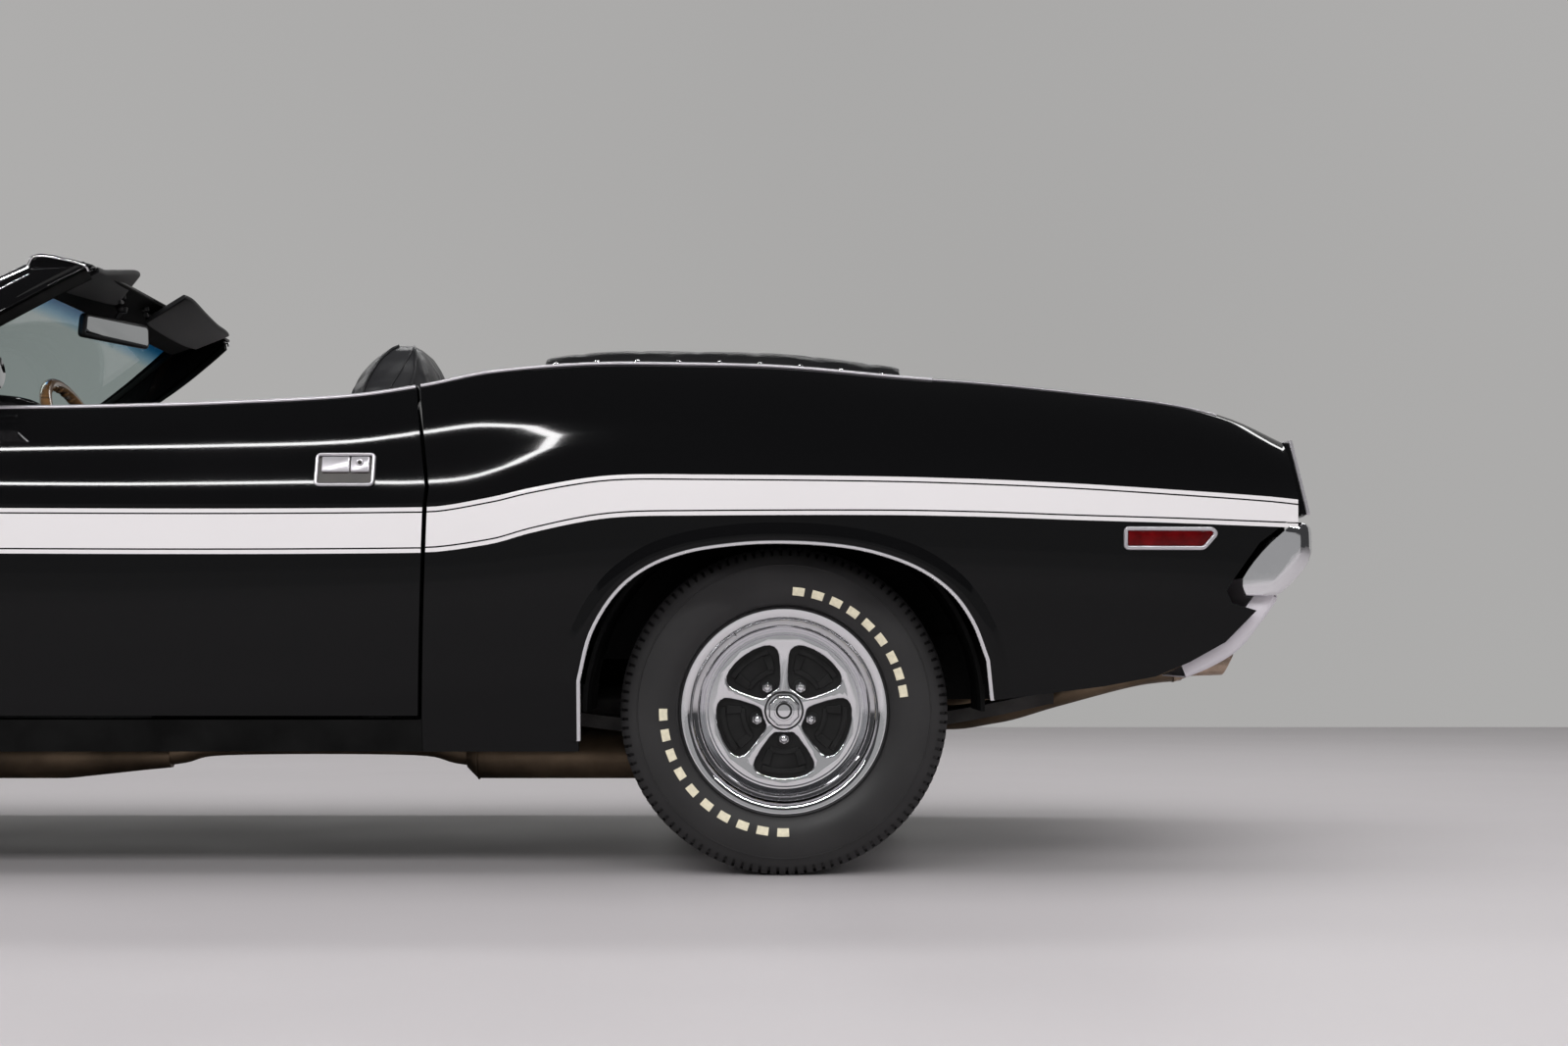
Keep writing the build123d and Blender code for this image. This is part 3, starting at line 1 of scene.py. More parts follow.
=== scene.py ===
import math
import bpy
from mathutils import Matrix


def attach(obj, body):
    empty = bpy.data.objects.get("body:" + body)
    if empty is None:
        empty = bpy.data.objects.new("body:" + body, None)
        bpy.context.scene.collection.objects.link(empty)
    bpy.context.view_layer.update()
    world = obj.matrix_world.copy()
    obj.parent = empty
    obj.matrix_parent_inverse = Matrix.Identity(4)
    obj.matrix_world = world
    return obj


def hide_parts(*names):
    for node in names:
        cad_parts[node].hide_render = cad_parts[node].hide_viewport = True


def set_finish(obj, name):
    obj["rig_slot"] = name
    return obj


bl_info = {
    "name": "Open Two-Door Muscle Car",
    "version": (1, 0, 0),
    "blender": (4, 5, 0),
    "location": "View3D > Sidebar > Muscle Car",
    "description": "Builds the visible body, trim, wheels and cabin of the car round its packed frame",
    "category": "Object",
}

import bmesh
import bpy
from mathutils import Matrix, Vector

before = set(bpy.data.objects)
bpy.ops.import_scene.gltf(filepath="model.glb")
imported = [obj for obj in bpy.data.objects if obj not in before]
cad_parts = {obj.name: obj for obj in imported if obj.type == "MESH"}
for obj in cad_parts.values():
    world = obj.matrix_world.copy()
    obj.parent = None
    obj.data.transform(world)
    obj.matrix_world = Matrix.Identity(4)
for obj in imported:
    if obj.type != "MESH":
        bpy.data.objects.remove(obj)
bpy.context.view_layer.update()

MM = 0.001
LEFT, RIGHT = 1, -1
SIDE_NAME = {LEFT: "left", RIGHT: "right"}


# ---------------------------------------------------------------- what a user may change
class CarColours(bpy.types.PropertyGroup):
    """Colours of the finishes."""
    def colour(name, text, value):
        return bpy.props.FloatVectorProperty(
            name=name, description=text, subtype="COLOR", size=3, min=0.0, max=1.0, default=value)

    paint: colour("Body paint", "Colour of the painted panels", (0.0035, 0.0035, 0.0038))
    stripe: colour("Side stripe", "Colour of the stripe along the sides", (0.71, 0.685, 0.695))
    chrome: colour("Chrome", "Colour of the plated trim", (0.78, 0.78, 0.80))
    vinyl: colour("Vinyl", "Colour of seats, dash and boot cover", (0.012, 0.012, 0.013))
    rubber: colour("Tyre rubber", "Colour of the tyres", (0.0135, 0.0127, 0.0132))
    wood: colour("Wood rim", "Colour of the steering wheel's rim", (0.15, 0.078, 0.032))
    lens: colour("Red lens", "Colour of tail lamps and side markers", (0.22, 0.004, 0.006))
    floor: colour("Studio floor", "Colour of the floor", (0.56, 0.53, 0.545))
    wall: colour("Studio wall", "Colour of the backdrop", (0.41, 0.405, 0.40))


class CarSizes(bpy.types.PropertyGroup):
    """Sizes of the trim, in millimetres."""
    def size(name, text, value, low, high):
        return bpy.props.FloatProperty(name=name, description=text, default=value, min=low, max=high)

    stripe_line: size("Pin line", "Width of the thin lines along the stripe, mm", 8.0, 2.0, 20.0)
    stripe_space: size("Pin line gap", "Bare paint between the stripe and its thin lines, mm", 3.0, 1.0, 10.0)
    belt_trim: size("Belt moulding", "Width of the bright strip along the door and quarter tops, mm", 9.0, 4.0, 20.0)
    arch_trim: size("Arch moulding", "Width of the bright lip round the wheel openings, mm", 11.0, 4.0, 20.0)
    edge: size("Panel edge", "Rounding of the panel edges, mm", 1.6, 0.5, 4.0)
    tread_depth: size("Tread depth", "Depth of the tyre grooves, mm", 6.0, 2.0, 10.0)


def colours():
    return bpy.context.scene.car_colours


def sizes():
    return bpy.context.scene.car_sizes


# ---------------------------------------------------------------- finishes
FINISHES = {}
SLOTS = {}


def shader(name, colour, rough, metal=0.0, coat=0.0, specular=0.5, slot=None):
    """A new node material with its principled shader's plain values set."""
    mat = bpy.data.materials.new(name)
    mat.use_nodes = True
    base = mat.node_tree.nodes["Principled BSDF"]
    base.inputs["Base Color"].default_value = (*colour, 1.0)
    base.inputs["Roughness"].default_value = rough
    base.inputs["Metallic"].default_value = metal
    base.inputs["Specular IOR Level"].default_value = specular
    base.inputs["Coat Weight"].default_value = coat
    base.inputs["Coat Roughness"].default_value = 0.03
    FINISHES[name] = mat
    SLOTS[name] = slot
    return mat, base


def add(mat, kind, **values):
    """A new node, with sockets set by name from values (spaces as underscores)."""
    node = mat.node_tree.nodes.new(kind)
    for key, value in values.items():
        node.inputs[key.replace("_", " ")].default_value = value
    return node


def link(mat, source, target):
    mat.node_tree.links.new(source, target)


def place(mat, scale=(1.0, 1.0, 1.0)):
    """Object coordinates, scaled."""
    spot = mat.node_tree.nodes.new("ShaderNodeTexCoord")
    mapping = mat.node_tree.nodes.new("ShaderNodeMapping")
    mapping.inputs["Scale"].default_value = scale
    link(mat, spot.outputs["Object"], mapping.inputs["Vector"])
    return mapping.outputs["Vector"]


def tone(mat, base, where, scale, dark, light, low=0.3, high=0.7, detail=6.0):
    """Mottles the base colour between dark and light."""
    noise = add(mat, "ShaderNodeTexNoise", Scale=scale, Detail=detail)
    ramp = mat.node_tree.nodes.new("ShaderNodeValToRGB")
    ramp.color_ramp.elements[0].position = low
    ramp.color_ramp.elements[1].position = high
    ramp.color_ramp.elements[0].color = (*dark, 1.0)
    ramp.color_ramp.elements[1].color = (*light, 1.0)
    link(mat, where, noise.inputs["Vector"])
    link(mat, noise.outputs["Fac"], ramp.inputs["Fac"])
    link(mat, ramp.outputs["Color"], base.inputs["Base Color"])


def wear(mat, base, where, scale, low, high):
    """Varies the roughness between low and high."""
    noise = add(mat, "ShaderNodeTexNoise", Scale=scale, Detail=4.0)
    spread = add(mat, "ShaderNodeMapRange", From_Min=0.3, From_Max=0.7, To_Min=low, To_Max=high)
    link(mat, where, noise.inputs["Vector"])
    link(mat, noise.outputs["Fac"], spread.inputs["Value"])
    link(mat, spread.outputs["Result"], base.inputs["Roughness"])


def relief(mat, base, where, scale, depth, kind="noise", strength=0.5):
    """Bump from noise or from a cell pattern, depth in metres."""
    if kind == "cells":
        cloud = add(mat, "ShaderNodeTexVoronoi", Scale=scale)
        height = cloud.outputs["Distance"]
    else:
        cloud = add(mat, "ShaderNodeTexNoise", Scale=scale, Detail=5.0)
        height = cloud.outputs["Fac"]
    bump = add(mat, "ShaderNodeBump", Strength=strength, Distance=depth)
    link(mat, where, cloud.inputs["Vector"])
    link(mat, height, bump.inputs["Height"])
    link(mat, bump.outputs["Normal"], base.inputs["Normal"])


def shade(colour, factor):
    """A colour made darker or lighter."""
    return tuple(min(1.0, c * factor) for c in colour)


def maths(mat, operation, *sources):
    """A math node fed by sockets or plain numbers."""
    node = mat.node_tree.nodes.new("ShaderNodeMath")
    node.operation = operation
    for entry, source in zip(node.inputs, sources):
        if isinstance(source, float):
            entry.default_value = source
        else:
            link(mat, source, entry)
    return node.outputs[0]


def mixed(mat, share, first, second):
    """A mix of two shaders."""
    node = mat.node_tree.nodes.new("ShaderNodeMixShader")
    for entry, source in zip(node.inputs, (share, first, second)):
        link(mat, source, entry)
    return node.outputs["Shader"]


def plain_finish(name, colour, rough, metal=0.0, coat=0.0, specular=0.5, slot=None,
                 grain=None, mottle=None, scuff=None):
    """A finish. grain is (scale, depth, kind), mottle (scale, dark, light) and scuff (scale, low, high)."""
    mat, base = shader(name, colour, rough, metal, coat, specular, slot)
    where = place(mat)
    if mottle:
        tone(mat, base, where, mottle[0], shade(colour, mottle[1]), shade(colour, mottle[2]))
    if scuff:
        wear(mat, base, where, *scuff)
    if grain:
        relief(mat, base, where, *grain)
    return mat, base


# Position and colour of the steps from clear glass to the full shade.
SHADE_BAND = ((0.0, (0.72, 0.78, 0.77)), (0.30, (0.46, 0.63, 0.72)), (0.65, (0.10, 0.32, 0.48)),
              (1.0, (0.02, 0.18, 0.34)))
SHADE_FOOT, SHADE_FULL, SHADE_BOW = 1.220, 1.266, 0.10      # heights at the middle, and rise by y squared


def glass_finish():
    """Laminated screen glass with a blue shade band under the header."""
    mat, _ = shader("screen_glass", (0.80, 0.87, 0.85), 0.0, slot="screen_glass")
    tree = mat.node_tree
    split = tree.nodes.new("ShaderNodeSeparateXYZ")
    link(mat, place(mat), split.inputs["Vector"])
    bow = maths(mat, "MULTIPLY", split.outputs["Y"], split.outputs["Y"])
    rise = maths(mat, "MULTIPLY_ADD", bow, SHADE_BOW, split.outputs["Z"])
    spread = add(mat, "ShaderNodeMapRange", From_Min=SHADE_FOOT, From_Max=SHADE_FULL)
    link(mat, rise, spread.inputs["Value"])
    ramp = tree.nodes.new("ShaderNodeValToRGB")
    link(mat, spread.outputs["Result"], ramp.inputs["Fac"])
    steps = ramp.color_ramp.elements
    while len(steps) < len(SHADE_BAND):
        steps.new(0.5)
    for step, (spot, colour) in zip(steps, SHADE_BAND):
        step.position = spot
        step.color = (*colour, 1.0)
    clear = tree.nodes.new("ShaderNodeBsdfTransparent")
    link(mat, ramp.outputs["Color"], clear.inputs["Color"])
    gloss = add(mat, "ShaderNodeBsdfGlossy", Roughness=0.02, Color=(1.0, 1.0, 1.0, 1.0))
    edge = add(mat, "ShaderNodeLayerWeight", Blend=0.04)
    glass = mixed(mat, edge.outputs["Facing"], clear.outputs["BSDF"], gloss.outputs["BSDF"])
    link(mat, glass, tree.nodes["Material Output"].inputs["Surface"])


def make_finishes():
    """Every finish by its name, with the slot that it stands in for."""
    c = colours()
    plain_finish("body_paint", c.paint, 0.06, coat=0.16, specular=0.08, slot="body_paint",
                 grain=(900.0, 0.00002), scuff=(3.0, 0.04, 0.08))
    plain_finish("under_paint", (0.004, 0.004, 0.004), 0.6, specular=0.06, slot="under_paint",
                 grain=(160.0, 0.0008), mottle=(9.0, 0.6, 1.8), scuff=(12.0, 0.50, 0.75))
    plain_finish("stripe_paint", c.stripe, 0.16, coat=0.6, slot="body_paint",
                 grain=(900.0, 0.00002), mottle=(4.0, 0.99, 1.01))
    plain_finish("chrome", c.chrome, 0.05, metal=1.0, slot="chrome", scuff=(14.0, 0.03, 0.09))
    plain_finish("wheel_chrome", c.chrome, 0.05, metal=1.0, slot="wheel_chrome", scuff=(20.0, 0.03, 0.10))
    plain_finish("pocket_black", (0.008, 0.008, 0.008), 0.42, specular=0.25, slot="wheel_chrome",
                 grain=(700.0, 0.0001), mottle=(30.0, 0.7, 1.4))
    plain_finish("grille_black", (0.010, 0.010, 0.011), 0.35, slot="grille_black",
                 grain=(500.0, 0.0001), mottle=(25.0, 0.7, 1.5))
    plain_finish("dash_vinyl", c.vinyl, 0.45, slot="dash_vinyl",
                 grain=(650.0, 0.0004, "cells"), mottle=(8.0, 0.8, 1.3), scuff=(6.0, 0.38, 0.55))
    plain_finish("seat_vinyl", shade(c.vinyl, 1.6), 0.36, specular=0.35, slot="seat_vinyl",
                 grain=(520.0, 0.0005, "cells"), mottle=(7.0, 0.75, 1.35), scuff=(9.0, 0.28, 0.46))
    # The visors' vinyl is the seats' vinyl made darker: the darkening is painted shade on the visors.
    plain_finish("visor_vinyl_painted_shade", shade(c.vinyl, 0.7), 0.42, specular=0.2, slot="seat_vinyl",
                 grain=(520.0, 0.0005, "cells"), mottle=(7.0, 0.75, 1.35))
    plain_finish("boot_vinyl", shade(c.vinyl, 0.7), 0.40, specular=0.25, slot="boot_vinyl",
                 grain=(600.0, 0.0005, "cells"), mottle=(6.0, 0.8, 1.3), scuff=(7.0, 0.30, 0.50))
    plain_finish("carpet", (0.012, 0.012, 0.013), 0.95, slot="under_paint",
                 grain=(900.0, 0.003), mottle=(240.0, 0.4, 1.9))
    plain_finish("tyre_rubber", c.rubber, 0.62, slot="tyre_rubber",
                 grain=(900.0, 0.0002), mottle=(11.0, 0.8, 1.25), scuff=(5.0, 0.50, 0.70))
    plain_finish("tyre_white", (0.72, 0.66, 0.50), 0.6, slot="tyre_rubber",
                 grain=(900.0, 0.0002), mottle=(120.0, 0.85, 1.05))
    plain_finish("engine_iron", (0.30, 0.06, 0.02), 0.45, slot="engine_iron",
                 grain=(120.0, 0.0006), mottle=(10.0, 0.7, 1.15), scuff=(15.0, 0.35, 0.6))
    plain_finish("axle_iron", (0.020, 0.019, 0.018), 0.55, metal=0.3, slot="axle_iron",
                 grain=(140.0, 0.0008), mottle=(14.0, 0.5, 2.0), scuff=(12.0, 0.4, 0.7))
    plain_finish("spring_steel", (0.035, 0.033, 0.032), 0.5, metal=0.5, slot="spring_steel",
                 grain=(120.0, 0.0006), mottle=(18.0, 0.5, 1.8), scuff=(12.0, 0.4, 0.7))
    plain_finish("exhaust_steel", (0.16, 0.115, 0.075), 0.42, metal=0.8, slot="exhaust_steel",
                 grain=(90.0, 0.0005), mottle=(7.0, 0.45, 1.5), scuff=(10.0, 0.3, 0.6))
    plain_finish("tank_steel", (0.055, 0.055, 0.057), 0.5, metal=0.7, slot="tank_steel",
                 grain=(80.0, 0.0005), mottle=(8.0, 0.6, 1.6), scuff=(10.0, 0.4, 0.65))
    plain_finish("core_aluminium", (0.12, 0.12, 0.12), 0.4, metal=0.9, slot="core_aluminium",
                 grain=(400.0, 0.0006), mottle=(30.0, 0.6, 1.3))
    plain_finish("brushed_steel", (0.50, 0.50, 0.50), 0.30, metal=1.0, slot="wood_rim",
                 grain=(300.0, 0.0001), mottle=(20.0, 0.85, 1.1), scuff=(40.0, 0.22, 0.38))
    # The rear apron's light lilac grey, in the body paint slot, is a painted reflection of the floor on the apron.
    plain_finish("apron_painted_reflection", (0.60, 0.57, 0.61), 0.45, specular=0.4, slot="body_paint",
                 grain=(500.0, 0.00005), mottle=(5.0, 0.95, 1.05))
    plain_finish("tip_bronze", (0.40, 0.30, 0.23), 0.26, metal=0.9, slot="exhaust_steel",
                 grain=(120.0, 0.0002), mottle=(16.0, 0.7, 1.3), scuff=(30.0, 0.18, 0.36))
    plain_finish("satin_plate", (0.55, 0.53, 0.56), 0.36, metal=0.7, slot="chrome",
                 grain=(500.0, 0.00005), mottle=(40.0, 0.95, 1.05))
    # Dark brown of the door handles' recessed pans, in the chrome slot: painted shade in the recess.
    plain_finish("pan_painted_shade", (0.020, 0.015, 0.012), 0.45, slot="chrome",
                 grain=(500.0, 0.0001), mottle=(30.0, 0.7, 1.4))
    plain_finish("seal_rubber", (0.006, 0.006, 0.006), 0.7, specular=0.2, slot="grille_black",
                 grain=(700.0, 0.0002), mottle=(30.0, 0.7, 1.4))
    plain_finish("lamp_red", c.lens, 0.12, coat=0.8, slot="lamp_red",
                 grain=(260.0, 0.0006, "cells"), mottle=(40.0, 0.7, 1.5))
    plain_finish("marker_red", shade(c.lens, 0.35), 0.14, coat=0.12, specular=0.08, slot="marker_red",
                 grain=(260.0, 0.0006, "cells"), mottle=(40.0, 0.7, 1.6))
    plain_finish("marker_amber", (0.55, 0.14, 0.01), 0.14, coat=0.8, slot="marker_red",
                 grain=(260.0, 0.0006, "cells"), mottle=(40.0, 0.8, 1.3))
    plain_finish("lamp_glass", (0.62, 0.64, 0.66), 0.08, metal=0.6, coat=1.0, slot="lamp_glass",
                 grain=(240.0, 0.0012, "cells"), mottle=(30.0, 0.8, 1.2))
    plain_finish("mirror_glass", (0.55, 0.57, 0.58), 0.02, metal=1.0, slot="chrome", scuff=(6.0, 0.02, 0.05))
    plain_finish("dial_white", (0.6, 0.6, 0.58), 0.5, slot="dash_vinyl", mottle=(40.0, 0.9, 1.05))
    plain_finish("screw_steel", (0.4, 0.4, 0.4), 0.3, metal=1.0, slot="chrome", scuff=(60.0, 0.2, 0.4))
    mat, base = shader("wood_rim", c.wood, 0.22, coat=0.8, slot="wood_rim")
    where = place(mat, (1.0, 1.0, 6.0))
    tone(mat, base, where, 30.0, shade(c.wood, 0.55), shade(c.wood, 1.5))
    relief(mat, base, where, 80.0, 0.0002)
    glass_finish()


# ---------------------------------------------------------------- shape tools, all in millimetres
def as_object(bm, name, material):
    """Puts a bmesh into the scene as an object with one material, and frees it."""
    mesh = bpy.data.meshes.new(name)
    bm.to_mesh(mesh)
    bm.free()
    mesh.materials.append(material)
    obj = bpy.data.objects.new(name, mesh)
    bpy.context.scene.collection.objects.link(obj)
    return obj


def subdivided(obj, levels=1):
    soften = obj.modifiers.new("Subdivision", "SUBSURF")
    soften.levels = soften.render_levels = levels


def mirrored(bm):
    """Turns the left side's shape into the right side's."""
    bmesh.ops.scale(bm, vec=(1.0, -1.0, 1.0), verts=bm.verts)
    bmesh.ops.reverse_faces(bm, faces=bm.faces)


def facing(bm, direction):
    """Turns a sheet inside out unless its faces mostly look along direction."""
    if sum(f.normal.dot(direction) for f in bm.faces) < 0:
        bmesh.ops.reverse_faces(bm, faces=bm.faces)


def piece(bm, name, body, finish, angle=32.0, levels=0, side=LEFT):
    """Turns a bmesh in millimetres into a finished piece that rides on a body."""
    if side == RIGHT:
        mirrored(bm)
    bmesh.ops.scale(bm, vec=(MM, MM, MM), verts=bm.verts)
    limit = math.radians(angle)
    for face in bm.faces:
        face.smooth = True
    for edge in bm.edges:
        edge.smooth = len(edge.link_faces) == 2 and edge.calc_face_angle(0.0) < limit
    obj = as_object(bm, name, FINISHES[finish])
    if levels:
        subdivided(obj, levels)
    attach(obj, body)
    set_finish(obj, SLOTS[finish])
    return obj


def outline_face(bm, points):
    """One flat face from its corners."""
    return bm.faces.new([bm.verts.new(p) for p in points])


def push(bm, faces, direction):
    """Extrudes faces along direction and returns the new outer faces."""
    made = bmesh.ops.extrude_face_region(bm, geom=list(faces))["geom"]
    verts = [g for g in made if isinstance(g, bmesh.types.BMVert)]
    bmesh.ops.translate(bm, vec=direction, verts=verts)
    return [g for g in made if isinstance(g, bmesh.types.BMFace)]


def round_edges(bm, width, segments=2, edges=None, angle=25.0):
    """Bevels the given edges, or every edge sharper than angle."""
    if edges is None:
        limit = math.radians(angle)
        edges = [e for e in bm.edges if len(e.link_faces) == 2 and e.calc_face_angle(0.0) > limit]
    if edges and width > 0:
        bmesh.ops.bevel(bm, geom=edges, affect="EDGES", offset=width, offset_type="OFFSET", segments=segments,
                        profile=0.5, material=-1, clamp_overlap=True)


def slab(bm, points, direction, edge=0.0, segments=2):
    """A prism from a flat outline of 3-D points, pushed along direction, with rounded edges."""
    part = bmesh.new()
    push(part, [outline_face(part, points)], direction)
    bmesh.ops.recalc_face_normals(part, faces=part.faces)
    round_edges(part, edge, segments)
    join(bm, part)


def box(bm, x0, x1, y0, y1, z0, z1, edge=0.0, segments=2):
    """A block with rounded edges."""
    slab(bm, [(x0, y0, z0), (x1, y0, z0), (x1, y1, z0), (x0, y1, z0)], (0, 0, z1 - z0), edge, segments)


def join(bm, part):
    """Adds the contents of part to bm and frees part."""
    store = bpy.data.meshes.new("join")
    part.to_mesh(store)
    part.free()
    bm.from_mesh(store)
    bpy.data.meshes.remove(store)


def turn_to(start, end):
    """Matrix that takes +Z to the line from start to end, placed at its middle."""
    a, b = Vector(start), Vector(end)
    return Matrix.Translation((a + b) / 2) @ (b - a).to_track_quat("Z", "Y").to_matrix().to_4x4()


def rod(bm, start, end, radius, tip, segments, edge):
    """A round bar, tapered to the radius tip at its end, with rounded rims."""
    part = bmesh.new()
    length = (Vector(end) - Vector(start)).length
    bmesh.ops.create_cone(part, cap_ends=True, segments=segments, radius1=radius, radius2=tip, depth=length)
    round_edges(part, edge, 2, angle=50.0)
    bmesh.ops.transform(part, matrix=turn_to(start, end), verts=part.verts)
    join(bm, part)


def loft(bm, rows, ring=True, caps=True):
    """Skins rows of points: each row is extruded from the one before."""
    part = bmesh.new()
    verts = [part.verts.new(p) for p in rows[0]]
    pairs = list(zip(verts, verts[1:]))
    if ring:
        pairs.append((verts[-1], verts[0]))
    edges = [part.edges.new(pair) for pair in pairs]
    first = list(verts)
    for row in rows[1:]:
        made = bmesh.ops.extrude_edge_only(part, edges=edges)["geom"]
        fresh = {v for g in made if isinstance(g, bmesh.types.BMEdge) for v in g.verts}
        follow = {}
        for vert in verts:
            for edge in vert.link_edges:
                other = edge.other_vert(vert)
                if other in fresh and other not in follow.values() and other not in verts:
                    follow[vert] = other
        verts = [follow[v] for v in verts]
        for vert, spot in zip(verts, row):
            vert.co = spot
        edges = [part.edges.get(pair) for pair in zip(verts, verts[1:])]
        if ring:
            edges.append(part.edges.get((verts[-1], verts[0])))
    if caps and ring:
        part.faces.new(first)
        part.faces.new(verts)
    bmesh.ops.recalc_face_normals(part, faces=part.faces)
    join(bm, part)


def sweep(bm, path, section, up=(0.0, 1.0, 0.0), closed=False):
    """Sweeps a closed section of (across, out) points along a path. out follows up, or a list of ups."""
    points = [Vector(p) for p in path]
    count = len(points)
    rows = []
    for k, spot in enumerate(points):
        before = points[(k - 1) % count] if closed or k > 0 else spot
        after = points[(k + 1) % count] if closed or k < count - 1 else spot
        along = (after - before).normalized()
        out = Vector(up[k]) if isinstance(up, list) else Vector(up)
        out = (out - along * out.dot(along)).normalized()
        across = along.cross(out)
        rows.append([spot + across * a + out * b for a, b in section])
    if closed:
        rows.append(rows[0])
    loft(bm, rows, caps=not closed)
    if closed:
        bmesh.ops.remove_doubles(bm, verts=bm.verts, dist=0.01)


def circle(radius, steps, squash=1.0):
    """Points of a circle, its second axis squashed."""
    return [(radius * math.cos(2 * math.pi * k / steps), squash * radius * math.sin(2 * math.pi * k / steps))
            for k in range(steps)]


def rounded(points, radius, steps=4):
    """Rounds each corner of a closed outline of 2-D points."""
    out = []
    count = len(points)
    for k in range(count):
        a, b, c = (Vector(points[(k + d) % count]) for d in (-1, 0, 1))
        r = min(radius, (a - b).length * 0.45, (c - b).length * 0.45)
        start, end = b + (a - b).normalized() * r, b + (c - b).normalized() * r
        for j in range(steps + 1):
            t = j / steps
            out.append(tuple((1 - t) ** 2 * start + 2 * t * (1 - t) * b + t * t * end))
    return out


def bar(half, low, top_half, high, radius, steps=2):
    """Section of a bar: half widths at its low and high face, with rounded corners."""
    return rounded([(-half, low), (half, low), (top_half, high), (-top_half, high)], radius, steps)


def oblong(x0, x1, z0, z1, radius, steps=4):
    """A rounded rectangle."""
    return rounded([(x0, z0), (x1, z0), (x1, z1), (x0, z1)], radius, steps)


def at_y(points, y):
    """Points of (x, z) at one y."""
    return [(x, y, z) for x, z in points]


def smooth_path(points, per_leg):
    """A rounded line through the points."""
    pts = [Vector(p) for p in points]
    out = []
    for k, (p1, p2) in enumerate(zip(pts, pts[1:])):
        p0 = pts[k - 1] if k > 0 else p1 * 2 - p2
        p3 = pts[k + 2] if k + 2 < len(pts) else p2 * 2 - p1
        for j in range(per_leg):
            t = j / per_leg
            out.append(0.5 * ((2 * p1) + (p2 - p0) * t + (2 * p0 - 5 * p1 + 4 * p2 - p3) * t * t
                              + (3 * p1 - p0 - 3 * p2 + p3) * t ** 3))
    return out + [pts[-1]]


def spun(bm, profile, steps, closed=False):
    """Turns a profile of (radius, y) about the Y axis."""
    part = bmesh.new()
    verts = [part.verts.new((r, y, 0.0)) for r, y in profile]
    pairs = list(zip(verts, verts[1:])) + ([(verts[-1], verts[0])] if closed else [])
    edges = [part.edges.new(pair) for pair in pairs]
    bmesh.ops.spin(part, geom=verts + edges, cent=(0, 0, 0), axis=(0, 1, 0), angle=2 * math.pi, steps=steps,
                   use_merge=True, use_normal_flip=False)
    bmesh.ops.remove_doubles(part, verts=part.verts, dist=0.01)
    bmesh.ops.recalc_face_normals(part, faces=part.faces)
    join(bm, part)


def moved(bm, shift=(0, 0, 0), turn=0.0, axis="Y"):
    """Turns a bmesh about an axis through the origin, in degrees, and shifts it."""
    bmesh.ops.transform(bm, matrix=Matrix.Translation(shift) @ Matrix.Rotation(math.radians(turn), 4, axis),
                        verts=bm.verts)
    return bm


def turned(bm, profile, steps, spot, turn):
    """Adds a turned part with its axis swung from Y by turn degrees about Z, set at spot."""
    part = bmesh.new()
    spun(part, profile, steps, closed=profile[0][0] > 1)
    moved(part, turn=turn, axis="Z")
    moved(part, spot)
    join(bm, part)


# ---------------------------------------------------------------- the body side as a surface
SILL = 249.0
# x, bottom half width, crease height, crease half width, belt height, belt half width, rim half width
SIDE = (
    (2330, 870, 640, 905, 800, 765, 640), (2150, 880, 668, 928, 838, 782, 655), (1800, 895, 700, 948, 879, 800, 672),
    (1474, 902, 718, 955, 905, 812, 686), (1100, 905, 730, 950, 924, 822, 700), (754, 905, 735, 945, 935, 830, 712),
    (262, 905, 735, 941, 937, 832, 712), (0, 905, 735, 941, 941, 832, 712), (-193, 905, 735, 943, 947, 831, 712),
    (-450, 905, 735, 948, 961, 829, 712), (-600, 905, 736, 951, 983, 826, 708), (-727, 905, 744, 954, 1010, 818, 700),
    (-925, 905, 778, 960, 1028, 803, 690), (-1122, 905, 791, 965, 1029, 792, 680),
    (-1320, 905, 792, 967, 1024, 785, 672), (-1567, 904, 787, 965, 1003, 779, 660),
    (-1722, 902, 781, 960, 992, 776, 652), (-1913, 896, 774, 950, 973, 770, 646),
    (-2111, 886, 763, 936, 949, 762, 640), (-2233, 878, 755, 922, 918, 754, 640),
    (-2335, 870, 748, 908, 872, 746, 640),
)


def through(table, x):
    """Smooth values of a falling table at x."""
    if x >= table[0][0]:
        return table[0][1:]
    if x <= table[-1][0]:
        return table[-1][1:]
    k = next(i for i in range(len(table) - 1) if x >= table[i + 1][0])
    a, b = table[k], table[k + 1]
    before, after = table[max(0, k - 1)], table[min(len(table) - 1, k + 2)]
    t = (a[0] - x) / (a[0] - b[0])
    span = a[0] - b[0]
    values = []
    for j in range(1, len(a)):
        sa = (b[j] - before[j]) / (before[0] - b[0]) * span
        sb = (after[j] - a[j]) / (a[0] - after[0]) * span
        h = (2 * t ** 3 - 3 * t * t + 1) * a[j] + (t ** 3 - 2 * t * t + t) * sa
        values.append(h + (-2 * t ** 3 + 3 * t * t) * b[j] + (t ** 3 - t * t) * sb)
    return tuple(values)


def side_at(x):
    """Bottom half width, crease height and half width, belt height and half width, and rim half width."""
    return through(SIDE, x)


def belt_z(x):
    """Height of the body side's top edge."""
    return side_at(x)[3]


def rim_y(x):
    """Half width at the inner rim of the body side."""
    return side_at(x)[5]


# The shoulder's lean: its slope at the middle, how fast that changes, and the middle's share of the height.
SHOULDER_LOW, SHOULDER_RISE, SHOULDER_MIDDLE = 0.697, 3.2, 0.394


def lean(w):
    """Share of the shoulder's narrowing reached at share w of its height."""
    cube = SHOULDER_RISE / 3
    return SHOULDER_LOW * w + cube * ((w - SHOULDER_MIDDLE) ** 3 + SHOULDER_MIDDLE ** 3)


